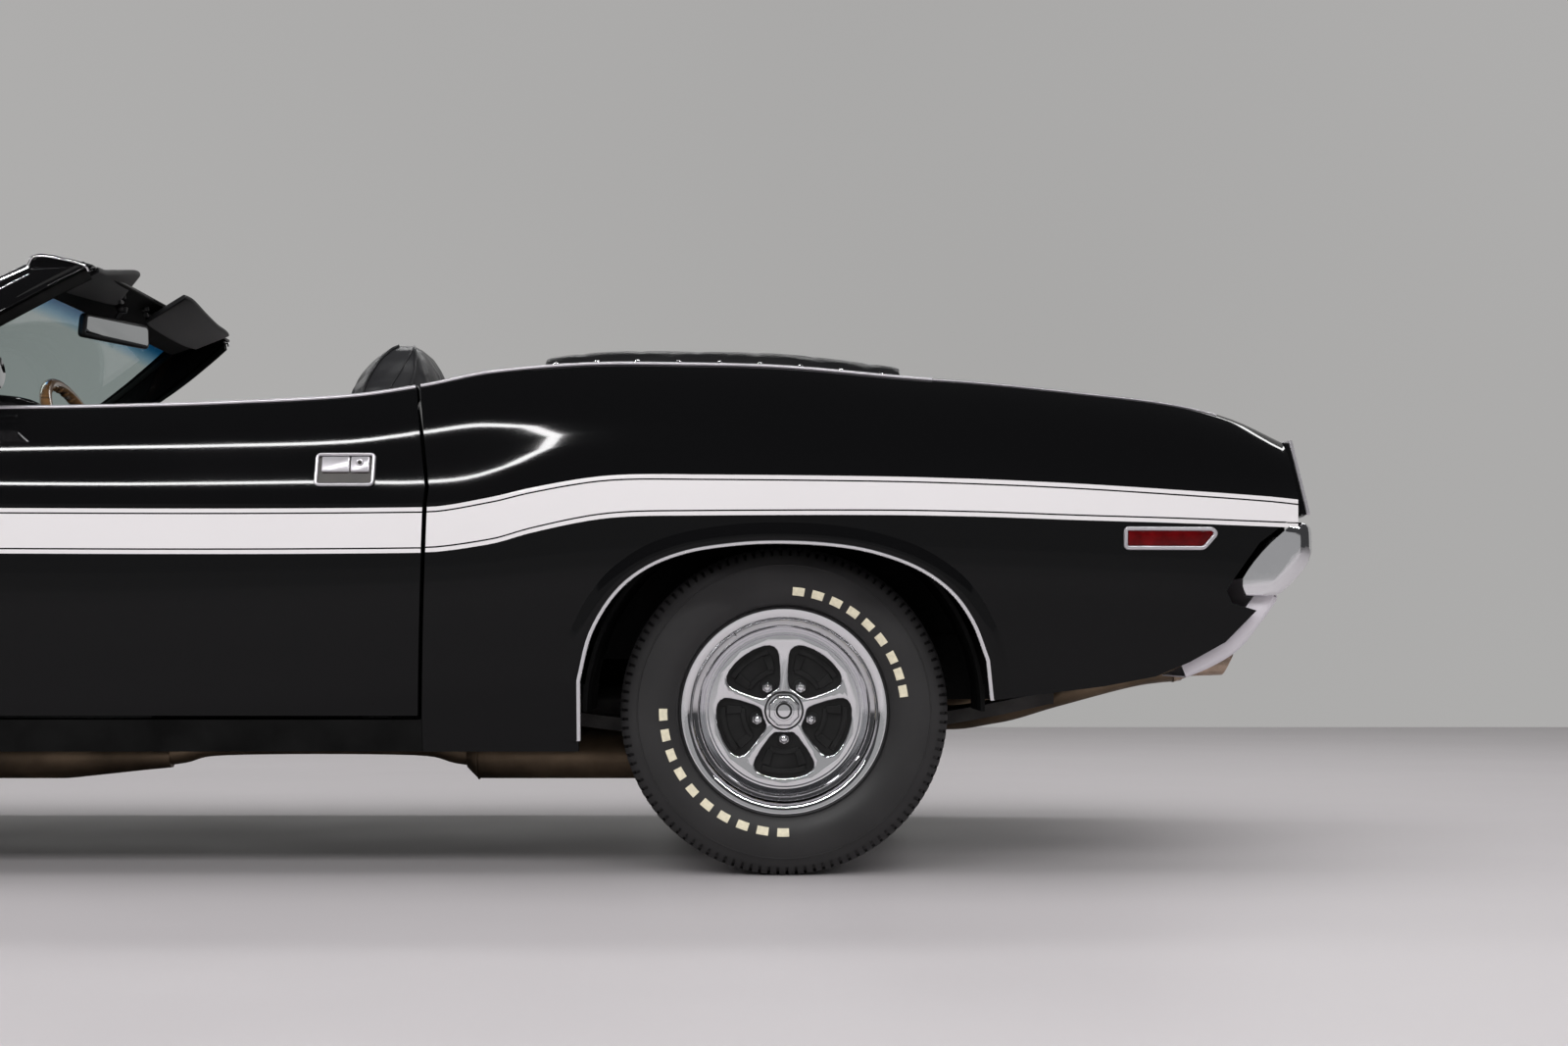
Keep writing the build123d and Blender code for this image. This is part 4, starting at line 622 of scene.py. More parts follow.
def skin(x, t):
    """Point of the left body side. t runs 0 to 1 up to the crease, 2 at the belt and 3 at the inner rim."""
    half, crease_z, crease_y, top_z, top_y, rim = side_at(x)
    if t <= 1.0:
        return Vector((x, half + (crease_y - half) * (2.414 * t - 1.414 * t * t), SILL + t * (crease_z - SILL)))
    if t <= 2.0:
        w = t - 1.0
        return Vector((x, crease_y - (crease_y - top_y) * lean(w), crease_z + w * (top_z - crease_z)))
    w = t - 2.0
    return Vector((x, top_y + (rim - top_y) * w, top_z + 4.0 * (1 - (1 - w) ** 3)))


def height_share(x, z):
    """The t of height z at x."""
    _, crease_z, _, top_z, _, _ = side_at(x)
    if z <= crease_z:
        return (z - SILL) / (crease_z - SILL)
    return min(2.0, 1.0 + (z - crease_z) / (top_z - crease_z))


def skin_normal(x, t):
    """Outward direction of the left body side."""
    if t < 1.0:
        low, high = t - 0.004, min(t + 0.004, 1.0)
    elif t < 2.0:
        low, high = max(t - 0.004, 1.0), min(t + 0.004, 2.0)
    else:
        low, high = max(t - 0.004, 2.0), t + 0.004
    along = skin(x + 4.0, t) - skin(x - 4.0, t)
    up = skin(x, high) - skin(x, low)
    return up.cross(along).normalized() * (1 if up.cross(along).y > 0 or t > 2 else -1)


def skin_at(x, z, out=0.0):
    """Point of the side at height z, moved outwards."""
    t = height_share(x, z)
    return skin(x, t) + skin_normal(x, t) * out


# Levels t at which the side's sheets are cut, distance of their columns, and the scale of t while they are.
LOWER_ROWS = [0.04, 0.1, 0.2, 0.3, 0.4, 0.5, 0.6, 0.7, 0.8, 0.88, 0.94, 0.98, 1.0]
UPPER_ROWS = [1.03, 1.08, 1.15, 1.23, 1.31, 1.4, 1.5, 1.6, 1.7, 1.8, 1.88, 1.95, 2.0, 2.02, 2.1, 2.5]
COLUMN = 24.0
T_SCALE = 400.0


def sampled_open(points, step=10.0):
    """A line of 2-D points with extra points on its long runs."""
    out = []
    for (x0, z0), (x1, z1) in zip(points, points[1:]):
        n = max(1, int(math.hypot(x1 - x0, z1 - z0) / step))
        out += [(x0 + (x1 - x0) * k / n, z0 + (z1 - z0) * k / n) for k in range(n)]
    return out + [points[-1]]


def sampled(points, step=10.0):
    """The same for a closed outline."""
    return sampled_open(points + points[:1], step)[:-1]


def side_sheet(outline, out=0.0):
    """A sheet on the body side, inside an outline of (x, t), as a bmesh with the t of each point."""
    bm = bmesh.new()
    outline_face(bm, [(x, 0.0, t * T_SCALE) for x, t in outline])
    xs = [x for x, _ in outline]
    ts = [t for _, t in outline]
    x = math.ceil(min(xs) / COLUMN) * COLUMN
    cuts = []
    while x < max(xs):
        cuts.append(((x, 0, 0), (1, 0, 0)))
        x += COLUMN
    cuts += [((0, 0, t * T_SCALE), (0, 0, 1)) for t in LOWER_ROWS + UPPER_ROWS if min(ts) < t < max(ts)]
    for spot, normal in cuts:
        bmesh.ops.bisect_plane(bm, geom=bm.verts[:] + bm.edges[:] + bm.faces[:], dist=0.4,
                               plane_co=spot, plane_no=normal)
    keep = bm.verts.layers.float.new("t")
    for vert in bm.verts:
        t = vert.co.z / T_SCALE
        vert[keep] = t
        x = vert.co.x
        vert.co = skin(x, t) + skin_normal(x, t) * out
    bmesh.ops.recalc_face_normals(bm, faces=bm.faces)
    if sum(f.normal.y * f.calc_area() for f in bm.faces) < 0:
        bmesh.ops.reverse_faces(bm, faces=bm.faces)
    return bm


def hem(bm, depth, plane=None):
    """Folds the sheet's border inwards: by depth, or to a plane of constant y; rims fold down. Returns the border."""
    level = bm.verts.layers.float["t"]
    border = [e for e in bm.edges if e.is_boundary]
    made = bmesh.ops.extrude_edge_only(bm, edges=border)["geom"]
    for vert in (g for g in made if isinstance(g, bmesh.types.BMVert)):
        t = vert[level] if vert[level] else height_share(vert.co.x, vert.co.z)
        if t > 2.9:
            vert.co.z -= depth
        else:
            vert.co.y = min(plane, vert.co.y - depth) if plane else vert.co.y - depth
    return border


def polish(obj, side):
    """Gives every corner that lies on the body side the surface's own direction."""
    mesh = obj.data
    normals = []
    for poly in mesh.polygons:
        for index in poly.loop_indices:
            co = mesh.vertices[mesh.loops[index].vertex_index].co / MM
            x, y, z = co.x, co.y * side, co.z
            if y < side_at(x)[4] - 2.0:
                normals.append((0.0, 0.0, 0.0))
                continue
            t = height_share(x, z)
            spot = skin(x, t)
            direct = skin_normal(x, min(t, 1.99))
            if abs(t - 1.0) < 0.01:
                t = 1.0 + (0.008 if poly.center.z / MM > z else -0.008)
                direct = skin_normal(x, t)
            agree = Vector((poly.normal.x, poly.normal.y * side, poly.normal.z)).dot(direct) > 0.9
            smooth = agree and abs(y - spot.y) < 2.5 and t < 1.985
            normals.append((direct.x, direct.y * side, direct.z) if smooth else (0.0, 0.0, 0.0))
    mesh.normals_split_custom_set(normals)


# ---------------------------------------------------------------- outlines on the side
DOOR_FRONT, DOOR_BOTTOM = 754.0, 320.0
DOOR_REAR = ((-583.0, 985.0), (-616.0, 770.0), (-600.0, DOOR_BOTTOM))
GAP = 8.0
BODY_FRONT, BODY_REAR = 2330.0, -2335.0
FRONT_AXLE, REAR_AXLE, AXLE_Z = 1474.0, -1320.0, 327.0
# Rear wheel opening from its front foot over the top: x ahead of the axle, height.
ARCH = ((408, 60), (404, 390), (379, 483), (330, 562), (268, 612), (191, 642), (105, 656), (20, 661), (-80, 657),
        (-170, 643), (-258, 612), (-325, 566), (-370, 505), (-400, 430), (-420, 300), (-445, 50))


def arch_line(axle, low_front, low_rear):
    """The wheel opening's line about an axle, from its front foot over the top to its rear foot."""
    points = smooth_path([(dx, z, 0) for dx, z in ARCH[1:14]], 5)
    line = [(axle + p.x, p.y) for p in points]
    return [(axle + 405.0, low_front)] + line + [(axle - 400.0 - (430.0 - low_rear) * 0.118, low_rear)]


def door_outline():
    """The door's edge in the side's own (x, t)."""
    top = [(x, 2.0) for x in (DOOR_FRONT, 500, 262, 0, -193, -350, -450, -530, DOOR_REAR[0][0])]
    low = sampled_open([(-583.0, belt_z(-583.0) - 0.1), *DOOR_REAR, (DOOR_FRONT, DOOR_BOTTOM),
                        (DOOR_FRONT, belt_z(DOOR_FRONT) - 0.1)])
    return top + [(x, height_share(x, z)) for x, z in low[1:-1]]


def quarter_outline():
    """The quarter panel's edge, round the rear wheel opening."""
    front = [(x - GAP, z) for x, z in DOOR_REAR]
    rear = [(-1950, 378), (-2051, 397), (-2119, 426), (-2189, 465), (-2250, 527), (-2200, 542), (-2190, 566),
            (-2204, 590), (-2255, 660), (-2315, 705), (BODY_REAR, 716), (BODY_REAR, belt_z(BODY_REAR) - 0.1)]
    arch = arch_line(REAR_AXLE, SILL, 350.0)
    line = [(-591.0, belt_z(-591.0) - 0.1), *front, (front[-1][0], SILL), *arch, *rear]
    low = [(x, height_share(x, z)) for x, z in sampled_open(line)]
    return [(-591.0, 3.0), *low, (BODY_REAR, 3.0)]


def fender_outline():
    """The fender's edge, round the front wheel opening."""
    arch = arch_line(FRONT_AXLE, SILL, SILL)
    line = [(DOOR_FRONT + GAP, belt_z(DOOR_FRONT + GAP) - 0.1), (DOOR_FRONT + GAP, SILL), *reversed(arch),
            (1888, SILL), (1890, 330), (2100, 345), (2280, 430), (2300, 570), (BODY_FRONT, 585),
            (BODY_FRONT, belt_z(BODY_FRONT) - 0.1)]
    low = [(x, height_share(x, z)) for x, z in sampled_open(line)]
    return [(DOOR_FRONT + GAP, 3.0), *low, (BODY_FRONT, 3.0)]


def body_panel(name, outline, body, node, depth, plane=None, inner=None):
    """A side panel for the left and the right: skin, folded edges and, if given, an inner shell."""
    for side in (LEFT, RIGHT):
        bm = side_sheet(outline())
        border = hem(bm, depth, plane)
        bmesh.ops.remove_doubles(bm, verts=bm.verts, dist=0.3)
        round_edges(bm, sizes().edge, 2, edges=[e for e in border if e.is_valid])
        if inner:
            inner(bm)
        obj = piece(bm, f"{SIDE_NAME[side]}_{name}", body.format(SIDE_NAME[side]), "body_paint", side=side, angle=40.0)
        polish(obj, side)
        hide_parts(node.format(SIDE_NAME[side]))


def door_inner(bm):
    """The door's inner shell, closed behind the skin."""
    low, high, front = DOOR_BOTTOM + 4.0, 930.0, DOOR_FRONT - 4.0
    outline = [(front, low), (-596.0, low), (-612.0, 770.0), (-590.0, high), (front, high)]
    slab(bm, at_y(outline, 770.0), (0, 60.0, 0), 6.0, 3)


def body_sides():
    """The painted side panels, from tail to nose, with the doors."""
    body_panel("quarter_skin", quarter_outline, "body", "{}_quarter_panel", 22.0)
    body_panel("fender_skin", fender_outline, "body", "{}_fender", 22.0)
    body_panel("door_skin", door_outline, "{}_door", "{}_door", 30.0, 812.0, door_inner)


# ---------------------------------------------------------------- stripe and mouldings
# Upper and lower line of the whole stripe: x, height.
STRIPE_TOP = ((2330, 660), (2150, 680), (1800, 700), (1474, 712), (1100, 722), (754, 728), (-616, 728), (-747, 747),
              (-824, 765), (-938, 785), (-1014, 791), (-1129, 791), (-1511, 787), (-1702, 782), (-1893, 774),
              (-2084, 763), (-2275, 751), (-2338, 745))
STRIPE_LOW = ((2330, 571), (2150, 591), (1800, 611), (1474, 623), (1100, 633), (754, 639), (-600, 639), (-747, 656),
              (-824, 677), (-938, 701), (-1014, 709), (-1129, 711), (-1511, 712), (-1702, 709), (-1893, 703),
              (-2084, 698), (-2275, 692), (-2338, 690))


def door_edge(z):
    """The door's rear edge at a height."""
    (x0, z0), (x1, z1), (x2, z2) = DOOR_REAR
    if z > z1:
        return x1 + (x0 - x1) * (z - z1) / (z0 - z1)
    return x1 + (x2 - x1) * (z1 - z) / (z1 - z2)


def at_gap(part, x, z, end):
    """Moves the stripe's end beside the shut line on to the line's slant."""
    if x != end or part == "fender":
        return x
    return door_edge(z) + (0.6 if part == "door" else -GAP - 0.6)


def stripe():
    """The wide band and its two pin lines, in one piece for each panel they cross."""
    line, space = sizes().stripe_line, sizes().stripe_space
    ends = {"quarter": (-630.0, -2333.0, "body"), "door": (DOOR_FRONT - 1.0, -606.0, "{}_door"),
            "fender": (2160.0, DOOR_FRONT + GAP + 1.0, "body")}
    for part, (front, rear, body) in ends.items():
        stations = sorted({front, rear} | {x for x in range(-2320, 2330, 20) if rear < x < front}, reverse=True)
        top = [(x, through(STRIPE_TOP, x)[0]) for x in stations]
        low = [(x, through(STRIPE_LOW, x)[0]) for x in stations]
        bands = [(top, top, 0.0, -line), (top, low, -line - space, line + space), (low, low, line, 0.0)]
        for side in (LEFT, RIGHT):
            whole = bmesh.new()
            for upper, lower, drop, lift in bands:
                ring = [(x, z + drop) for x, z in upper]
                ring += [(x, z + lift) for x, z in reversed(lower)]
                ring = [(at_gap(part, x, z, rear if part == "door" else front), z) for x, z in ring]
                join(whole, side_sheet([(x, height_share(x, z)) for x, z in ring], 0.35))
            who = SIDE_NAME[side]
            obj = piece(whole, f"{who}_{part}_stripe", body.format(who), "stripe_paint", side=side, angle=60.0)
            polish(obj, side)


def strip_section(width, height):
    """Section of a flat strip with a raised middle."""
    return rounded([(-width / 2, -1.0), (width / 2, -1.0), (width / 2, height * 0.4), (width * 0.25, height),
                    (-width * 0.25, height), (-width / 2, height * 0.4)], 1.5, 2)


# The flared lip of a wheel opening: distance from the opening's line, rise over the panel.
FLARE = ((42, -1.5), (34, 0.6), (26, 3.2), (18, 5.6), (11, 6.6), (4, 6.2), (0, 4.0), (-1, -8.0), (-1, -26.0))


def flare_row(line, k, middle):
    """The lip's section at point k of the opening's line, from the panel into the opening."""
    x, z = line[k]
    (x0, z0), (x1, z1) = line[max(0, k - 1)], line[min(len(line) - 1, k + 1)]
    along = Vector((x1 - x0, 0, z1 - z0)).normalized()
    away = Vector((-along.z, 0, along.x))
    if away.dot(Vector((x, 0, z)) - middle) < 0:
        away = -away
    row = []
    for d, rise in FLARE:
        spot = Vector((x, 0, z)) + away * d
        if d <= 0:
            row.append(skin_at(x, z) + away * d + Vector((0, rise, 0)))
        else:
            row.append(skin_at(spot.x, max(spot.z, SILL), rise))
    return row


def mouldings():
    """Bright strips along the belt and round the wheel openings, and the openings' flared lips."""
    width = sizes().belt_trim
    for side in (LEFT, RIGHT):
        who = SIDE_NAME[side]
        for part, front, rear, body, wide in (("door", DOOR_FRONT - 2.0, -582.0, f"{who}_door", width),
                                              ("quarter", -592.0, -1620.0, "body", width * 0.8),
                                              ("tail", -1622.0, -2200.0, "body", width * 0.3)):
            xs = [front + (rear - front) * k / 80 for k in range(81)]
            path = [skin(x, 1.985) for x in xs]
            ups = [(skin_normal(x, 1.9) + Vector((0, 0, 0.6))).normalized() for x in xs]
            bm = bmesh.new()
            sweep(bm, path, strip_section(wide, 4.0 if wide > 4.0 else 2.0), ups)
            piece(bm, f"{who}_{part}_belt_moulding", body, "satin_plate", side=side, angle=50.0)
        for end, axle, low_front, low_rear in (("rear", REAR_AXLE, 272.0, 352.0), ("front", FRONT_AXLE, 262.0, 262.0)):
            line = sampled_open(arch_line(axle, low_front, low_rear), 8.0)
            bm = bmesh.new()
            half = sizes().arch_trim / 2
            sweep(bm, [skin_at(x, z, 2.0) - Vector((0, 3.0, 0)) for x, z in line],
                  rounded([(-half, -5.0), (half, -5.0), (half, 4.0), (0.0, 7.0), (-half, 5.0)], 2.0, 2))
            piece(bm, f"{who}_{end}_arch_moulding", "body", "chrome", side=side, angle=50.0)
            bm = bmesh.new()
            loft(bm, [flare_row(line, k, Vector((axle, 0, 330.0))) for k in range(len(line))], ring=False)
            facing(bm, (0, 1, 0))
            piece(bm, f"{who}_{end}_arch_flare", "body", "body_paint", side=side, angle=70.0)


# ---------------------------------------------------------------- wheels and tyres
WHEELS = (("front", FRONT_AXLE, 758.0), ("rear", REAR_AXLE, 771.0))     # end, axle's x, half track
PITCHES = 110              # tread blocks round a tyre
SPOKES = 5
BOLT_RADIUS = 57.15
FIRST_BOLT, BOLT_STEP = 54.0, 72.0
SPOKE_BACK, SPOKE_DEPTH = 18.0, 16.0
MARK_TURN, MARK_SPAN = 177.2, 5.6


def bolt_spot(k):
    """Place of bolt k in the wheel's plane."""
    a = math.radians(FIRST_BOLT + BOLT_STEP * k)
    return BOLT_RADIUS * math.cos(a), BOLT_RADIUS * math.sin(a)


def rim_mesh():
    """Barrel and bright dish of the wheel, about the origin, outer side at +Y."""
    bm = bmesh.new()
    dish = [(190, 92.5), (197, 95), (204, 95), (208.6, 91), (209, 86), (205, 84), (193, 83), (190.5, 79), (189, 38),
            (168, 24), (168, -30), (189, -44), (190, -78), (205, -84), (209, -88), (207, -94), (198, -95), (184, -86),
            (180, -48), (162, -32), (160, 8), (142, 12), (142, 24), (146, 30), (152, 30), (155, 26), (158, 26),
            (161, 33), (164.5, 47), (166, 60), (168, 70), (171, 76), (174, 78.5), (184, 85), (186.5, 89)]
    spun(bm, dish, 120, closed=True)
    return bm


def star_mesh():
    """The five bright spokes with their outer ring and hub, as five equal sectors."""
    sector = bmesh.new()
    wedge = math.radians(36.0)      # half a sector

    def polar(r, a):
        return (r * math.cos(a), r * math.sin(a))

    right = [polar(r, math.asin(w / r)) for r, w in ((47, 12.5), (52, 10.0), (62, 8.8), (90, 9.0), (112, 11.0),
                                                     (122, 14.0), (129, 20.0), (133.5, 29.0), (135.5, 40.0))]
    hub = [polar(45.0, wedge), polar(45.0, wedge * 0.7)]
    rim = [polar(136.0, wedge * 0.72), polar(136.0, wedge * 0.86), polar(136.0, wedge)]
    outer = [polar(148.0, wedge * k / 6) for k in range(6, -7, -1)]
    half = hub + right + rim
    points = [polar(18.0, wedge * k / 3) for k in (-3, -2, -1, 0, 1, 2, 3)] + half + outer
    points += [(a, -b) for a, b in reversed(half)]
    face = outline_face(sector, [(b, 0.0, a) for a, b in points])
    push(sector, [face], (0, SPOKE_DEPTH, 0))
    bmesh.ops.recalc_face_normals(sector, faces=sector.faces)
    cut = [f for f in sector.faces if abs(f.normal.y) < 0.1 and all(
        abs(abs(math.atan2(v.co.x, v.co.z)) - wedge) < 1e-4 for v in f.verts)]
    bmesh.ops.delete(sector, geom=cut, context="FACES_ONLY")
    rims = [e for e in sector.edges if len(e.link_faces) == 2 and all(v.co.y > SPOKE_DEPTH - 0.1 for v in e.verts)
            and 40 < e.verts[0].co.xz.length < 137 and 40 < e.verts[1].co.xz.length < 137]
    round_edges(sector, 4.5, 3, edges=rims)
    bmesh.ops.spin(sector, geom=sector.verts[:] + sector.edges[:] + sector.faces[:], cent=(0, 0, 0), axis=(0, 1, 0),
                   angle=2 * math.pi, steps=SPOKES, use_duplicate=True)
    bmesh.ops.remove_doubles(sector, verts=sector.verts, dist=0.05)
    return moved(sector, (0, SPOKE_BACK, 0))


def arc_block(bm, r0, r1, a0, a1, y0, y1, edge=1.5, steps=6):
    """A raised block between two radii and two angles about +Y."""
    def at(r, a):
        a = math.radians(a)
        return (r * math.cos(a), y0, r * math.sin(a))
    outer = [at(r1, a0 + (a1 - a0) * k / steps) for k in range(steps + 1)]
    inner = [at(r0, a1 + (a0 - a1) * k / steps) for k in range(steps + 1)]
    slab(bm, outer + inner, (0, y1 - y0, 0), edge)


def pocket_mesh():
    """Black plate behind the spokes with its raised pads."""
    bm = bmesh.new()
    spun(bm, [(17.5, 8), (40, 12), (44, 19), (138, 19), (141, 24), (143, 24), (143, 8), (17.5, 4)], 80, closed=True)
    for k in range(SPOKES):
        middle = FIRST_BOLT + BOLT_STEP * k
        arc_block(bm, 118, 129, middle - 21, middle + 21, 18, 25)
        for sign in (-1, 1):
            arc_block(bm, 84, 116, middle + sign * 19 - 4.5, middle + sign * 19 + 4.5, 18, 25)
        arc_block(bm, 78, 88, middle - 21, middle + 21, 18, 25)
        x, z = bolt_spot(k)
        rod(bm, (x, 10, z), (x, 22.5, z), 17.0, 15.5, 28, 1.0)
    for r0, r1, y in ((12.5, 16.5, 54.2), (36.0, 39.2, 35.8)):
        spun(bm, [(r0, y), (r0, y + 0.8), (r1, y + 0.8), (r1, y)], 48, closed=True)
    return bm


def nut_mesh():
    """Five lug nuts and the octagonal cap."""
    bm = bmesh.new()
    for k in range(SPOKES):
        x, z = bolt_spot(k)
        rod(bm, (x, 20, z), (x, 35, z), 10.4, 10.4, 6, 1.2)
        rod(bm, (x, 35, z), (x, 41, z), 9.0, 4.5, 24, 2.0)
    rod(bm, (0, 20, 0), (0, 36, 0), 46.0, 40.0, 48, 3.0)
    cap = bmesh.new()
    bmesh.ops.create_cone(cap, cap_ends=True, segments=8, radius1=35.0, radius2=31.0, depth=18.0)
    round_edges(cap, 2.5, 3)
    bmesh.ops.transform(cap, matrix=turn_to((0, 34, 0), (0, 52, 0)) @ Matrix.Rotation(math.radians(22.5), 4, "Z"),
                        verts=cap.verts)
    join(bm, cap)
    rod(bm, (0, 50, 0), (0, 54.5, 0), 21.0, 19.5, 40, 1.2)
    x, z = (178 * share(math.radians(57.0)) for share in (math.cos, math.sin))
    rod(bm, (x, 70, z), (x, 92, z), 3.8, 3.2, 14, 0.8)      # the valve
    return bm


def tyre_mesh():
    """Tyre with ribs, grooves and notched shoulders, about the origin, outer side at +Y."""
    bm = bmesh.new()
    outer = [(193, 78), (200, 85.5), (209.6, 86.5), (211, 92), (214, 97.5), (219, 101), (226, 106.5), (236, 111.5),
             (248, 114.6), (262, 116), (274, 115.4), (284, 113.6), (289.6, 112.4), (290.4, 113.6), (291.6, 113.6),
             (292.4, 111.9), (299, 109.5), (304, 107.4), (309, 104.6), (315, 100), (320.5, 93.5),
             (324.5, 86), (326.4, 77)]
    tread = [(326.8, 64), (327, 60), (320, 58.5), (320, 52.5), (327, 51), (327, 26), (320, 24.5), (320, 18.5),
             (327, 17)]
    half = outer + tread
    profile = half + [(r, -y) for r, y in reversed(half)]
    inner = [(205, -70), (235, -98), (300, -96), (309, -70), (309, 70), (300, 96), (235, 98), (205, 70)]
    steps = PITCHES * 3
    spun(bm, profile + inner, steps, closed=True)
    step = 2 * math.pi / steps
    cut = []
    for face in bm.faces:
        c = face.calc_center_median()
        r = c.xz.length
        column = int((math.atan2(c.z, c.x) % (2 * math.pi)) / step)
        outward = face.normal.dot(Vector((c.x, c.y * 3, c.z))) > 0
        lug = 303.0 < r and 62.0 < abs(c.y) < 106.0 and column % 3 == 0 and outward
        rib = r > 326.0 and 26.5 < abs(c.y) < 50.5 and column % 3 == 1
        middle = r > 326.0 and abs(c.y) < 16.5 and column % 6 == 2
        if lug or rib or middle:
            cut.append(face)
    made = bmesh.ops.extrude_face_region(bm, geom=cut)["geom"]
    depth = sizes().tread_depth
    for vert in (g for g in made if isinstance(g, bmesh.types.BMVert)):
        r = vert.co.xz.length
        inward = 1.0 - depth / r
        vert.co = Vector((vert.co.x * inward, vert.co.y * (1.0 - 0.018 * (abs(vert.co.y) > 62)), vert.co.z * inward))
    loose = [f for f in cut if f.is_valid]
    if loose:
        bmesh.ops.delete(bm, geom=loose, context="FACES_ONLY")
    return bm


def mark_mesh():
    """Plain raised white bars on the outer wall."""
    bm = bmesh.new()
    angles = [77.5 - 9.3 * k for k in range(6)] + [21.0, 12.6, 4.2] + [264.0 - 9.8 * k for k in range(10)]
    for angle in angles:
        mark = bmesh.new()
        profile = [(231, 108.3), (231.6, 110.6), (233, 111.4), (239, 113.6), (245, 115.0), (247.4, 115.2), (248, 113.6),
                   (240, 110.0)]
        verts = [mark.verts.new((r, y, 0.0)) for r, y in profile]
        edges = [mark.edges.new(p) for p in zip(verts, verts[1:] + verts[:1])]
        mark.faces.new(verts)
        bmesh.ops.spin(mark, geom=verts + edges, cent=(0, 0, 0), axis=(0, 1, 0), angle=math.radians(MARK_SPAN),
                       steps=4)
        bmesh.ops.holes_fill(mark, edges=[e for e in mark.edges if e.is_boundary], sides=12)
        bmesh.ops.recalc_face_normals(mark, faces=mark.faces)
        moved(mark, turn=angle - MARK_TURN)
        join(bm, mark)
    return bm


def wheels():
    """The four wheels, each with its spokes, pads, nuts and tyre."""
    makers = (("rim", rim_mesh, "wheel_chrome", 28.0), ("spokes", star_mesh, "wheel_chrome", 40.0),
              ("pockets", pocket_mesh, "pocket_black", 35.0), ("nuts", nut_mesh, "wheel_chrome", 30.0),
              ("tyre_tread", tyre_mesh, "tyre_rubber", 28.0), ("tyre_marks", mark_mesh, "tyre_white", 32.0))
    stands_for = {"rim": "rim", "tyre_tread": "tyre"}
    for end, axle, half_track in WHEELS:
        for side in (LEFT, RIGHT):
            who = f"{SIDE_NAME[side]}_{end}"
            for name, make, finish, angle in makers:
                bm = moved(make(), (axle, half_track, AXLE_Z))
                obj = piece(bm, f"{who}_{name}", f"{who}_wheel", finish, angle=angle, side=side)
                if name in stands_for:
                    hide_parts(f"{who}_{stands_for[name]}")


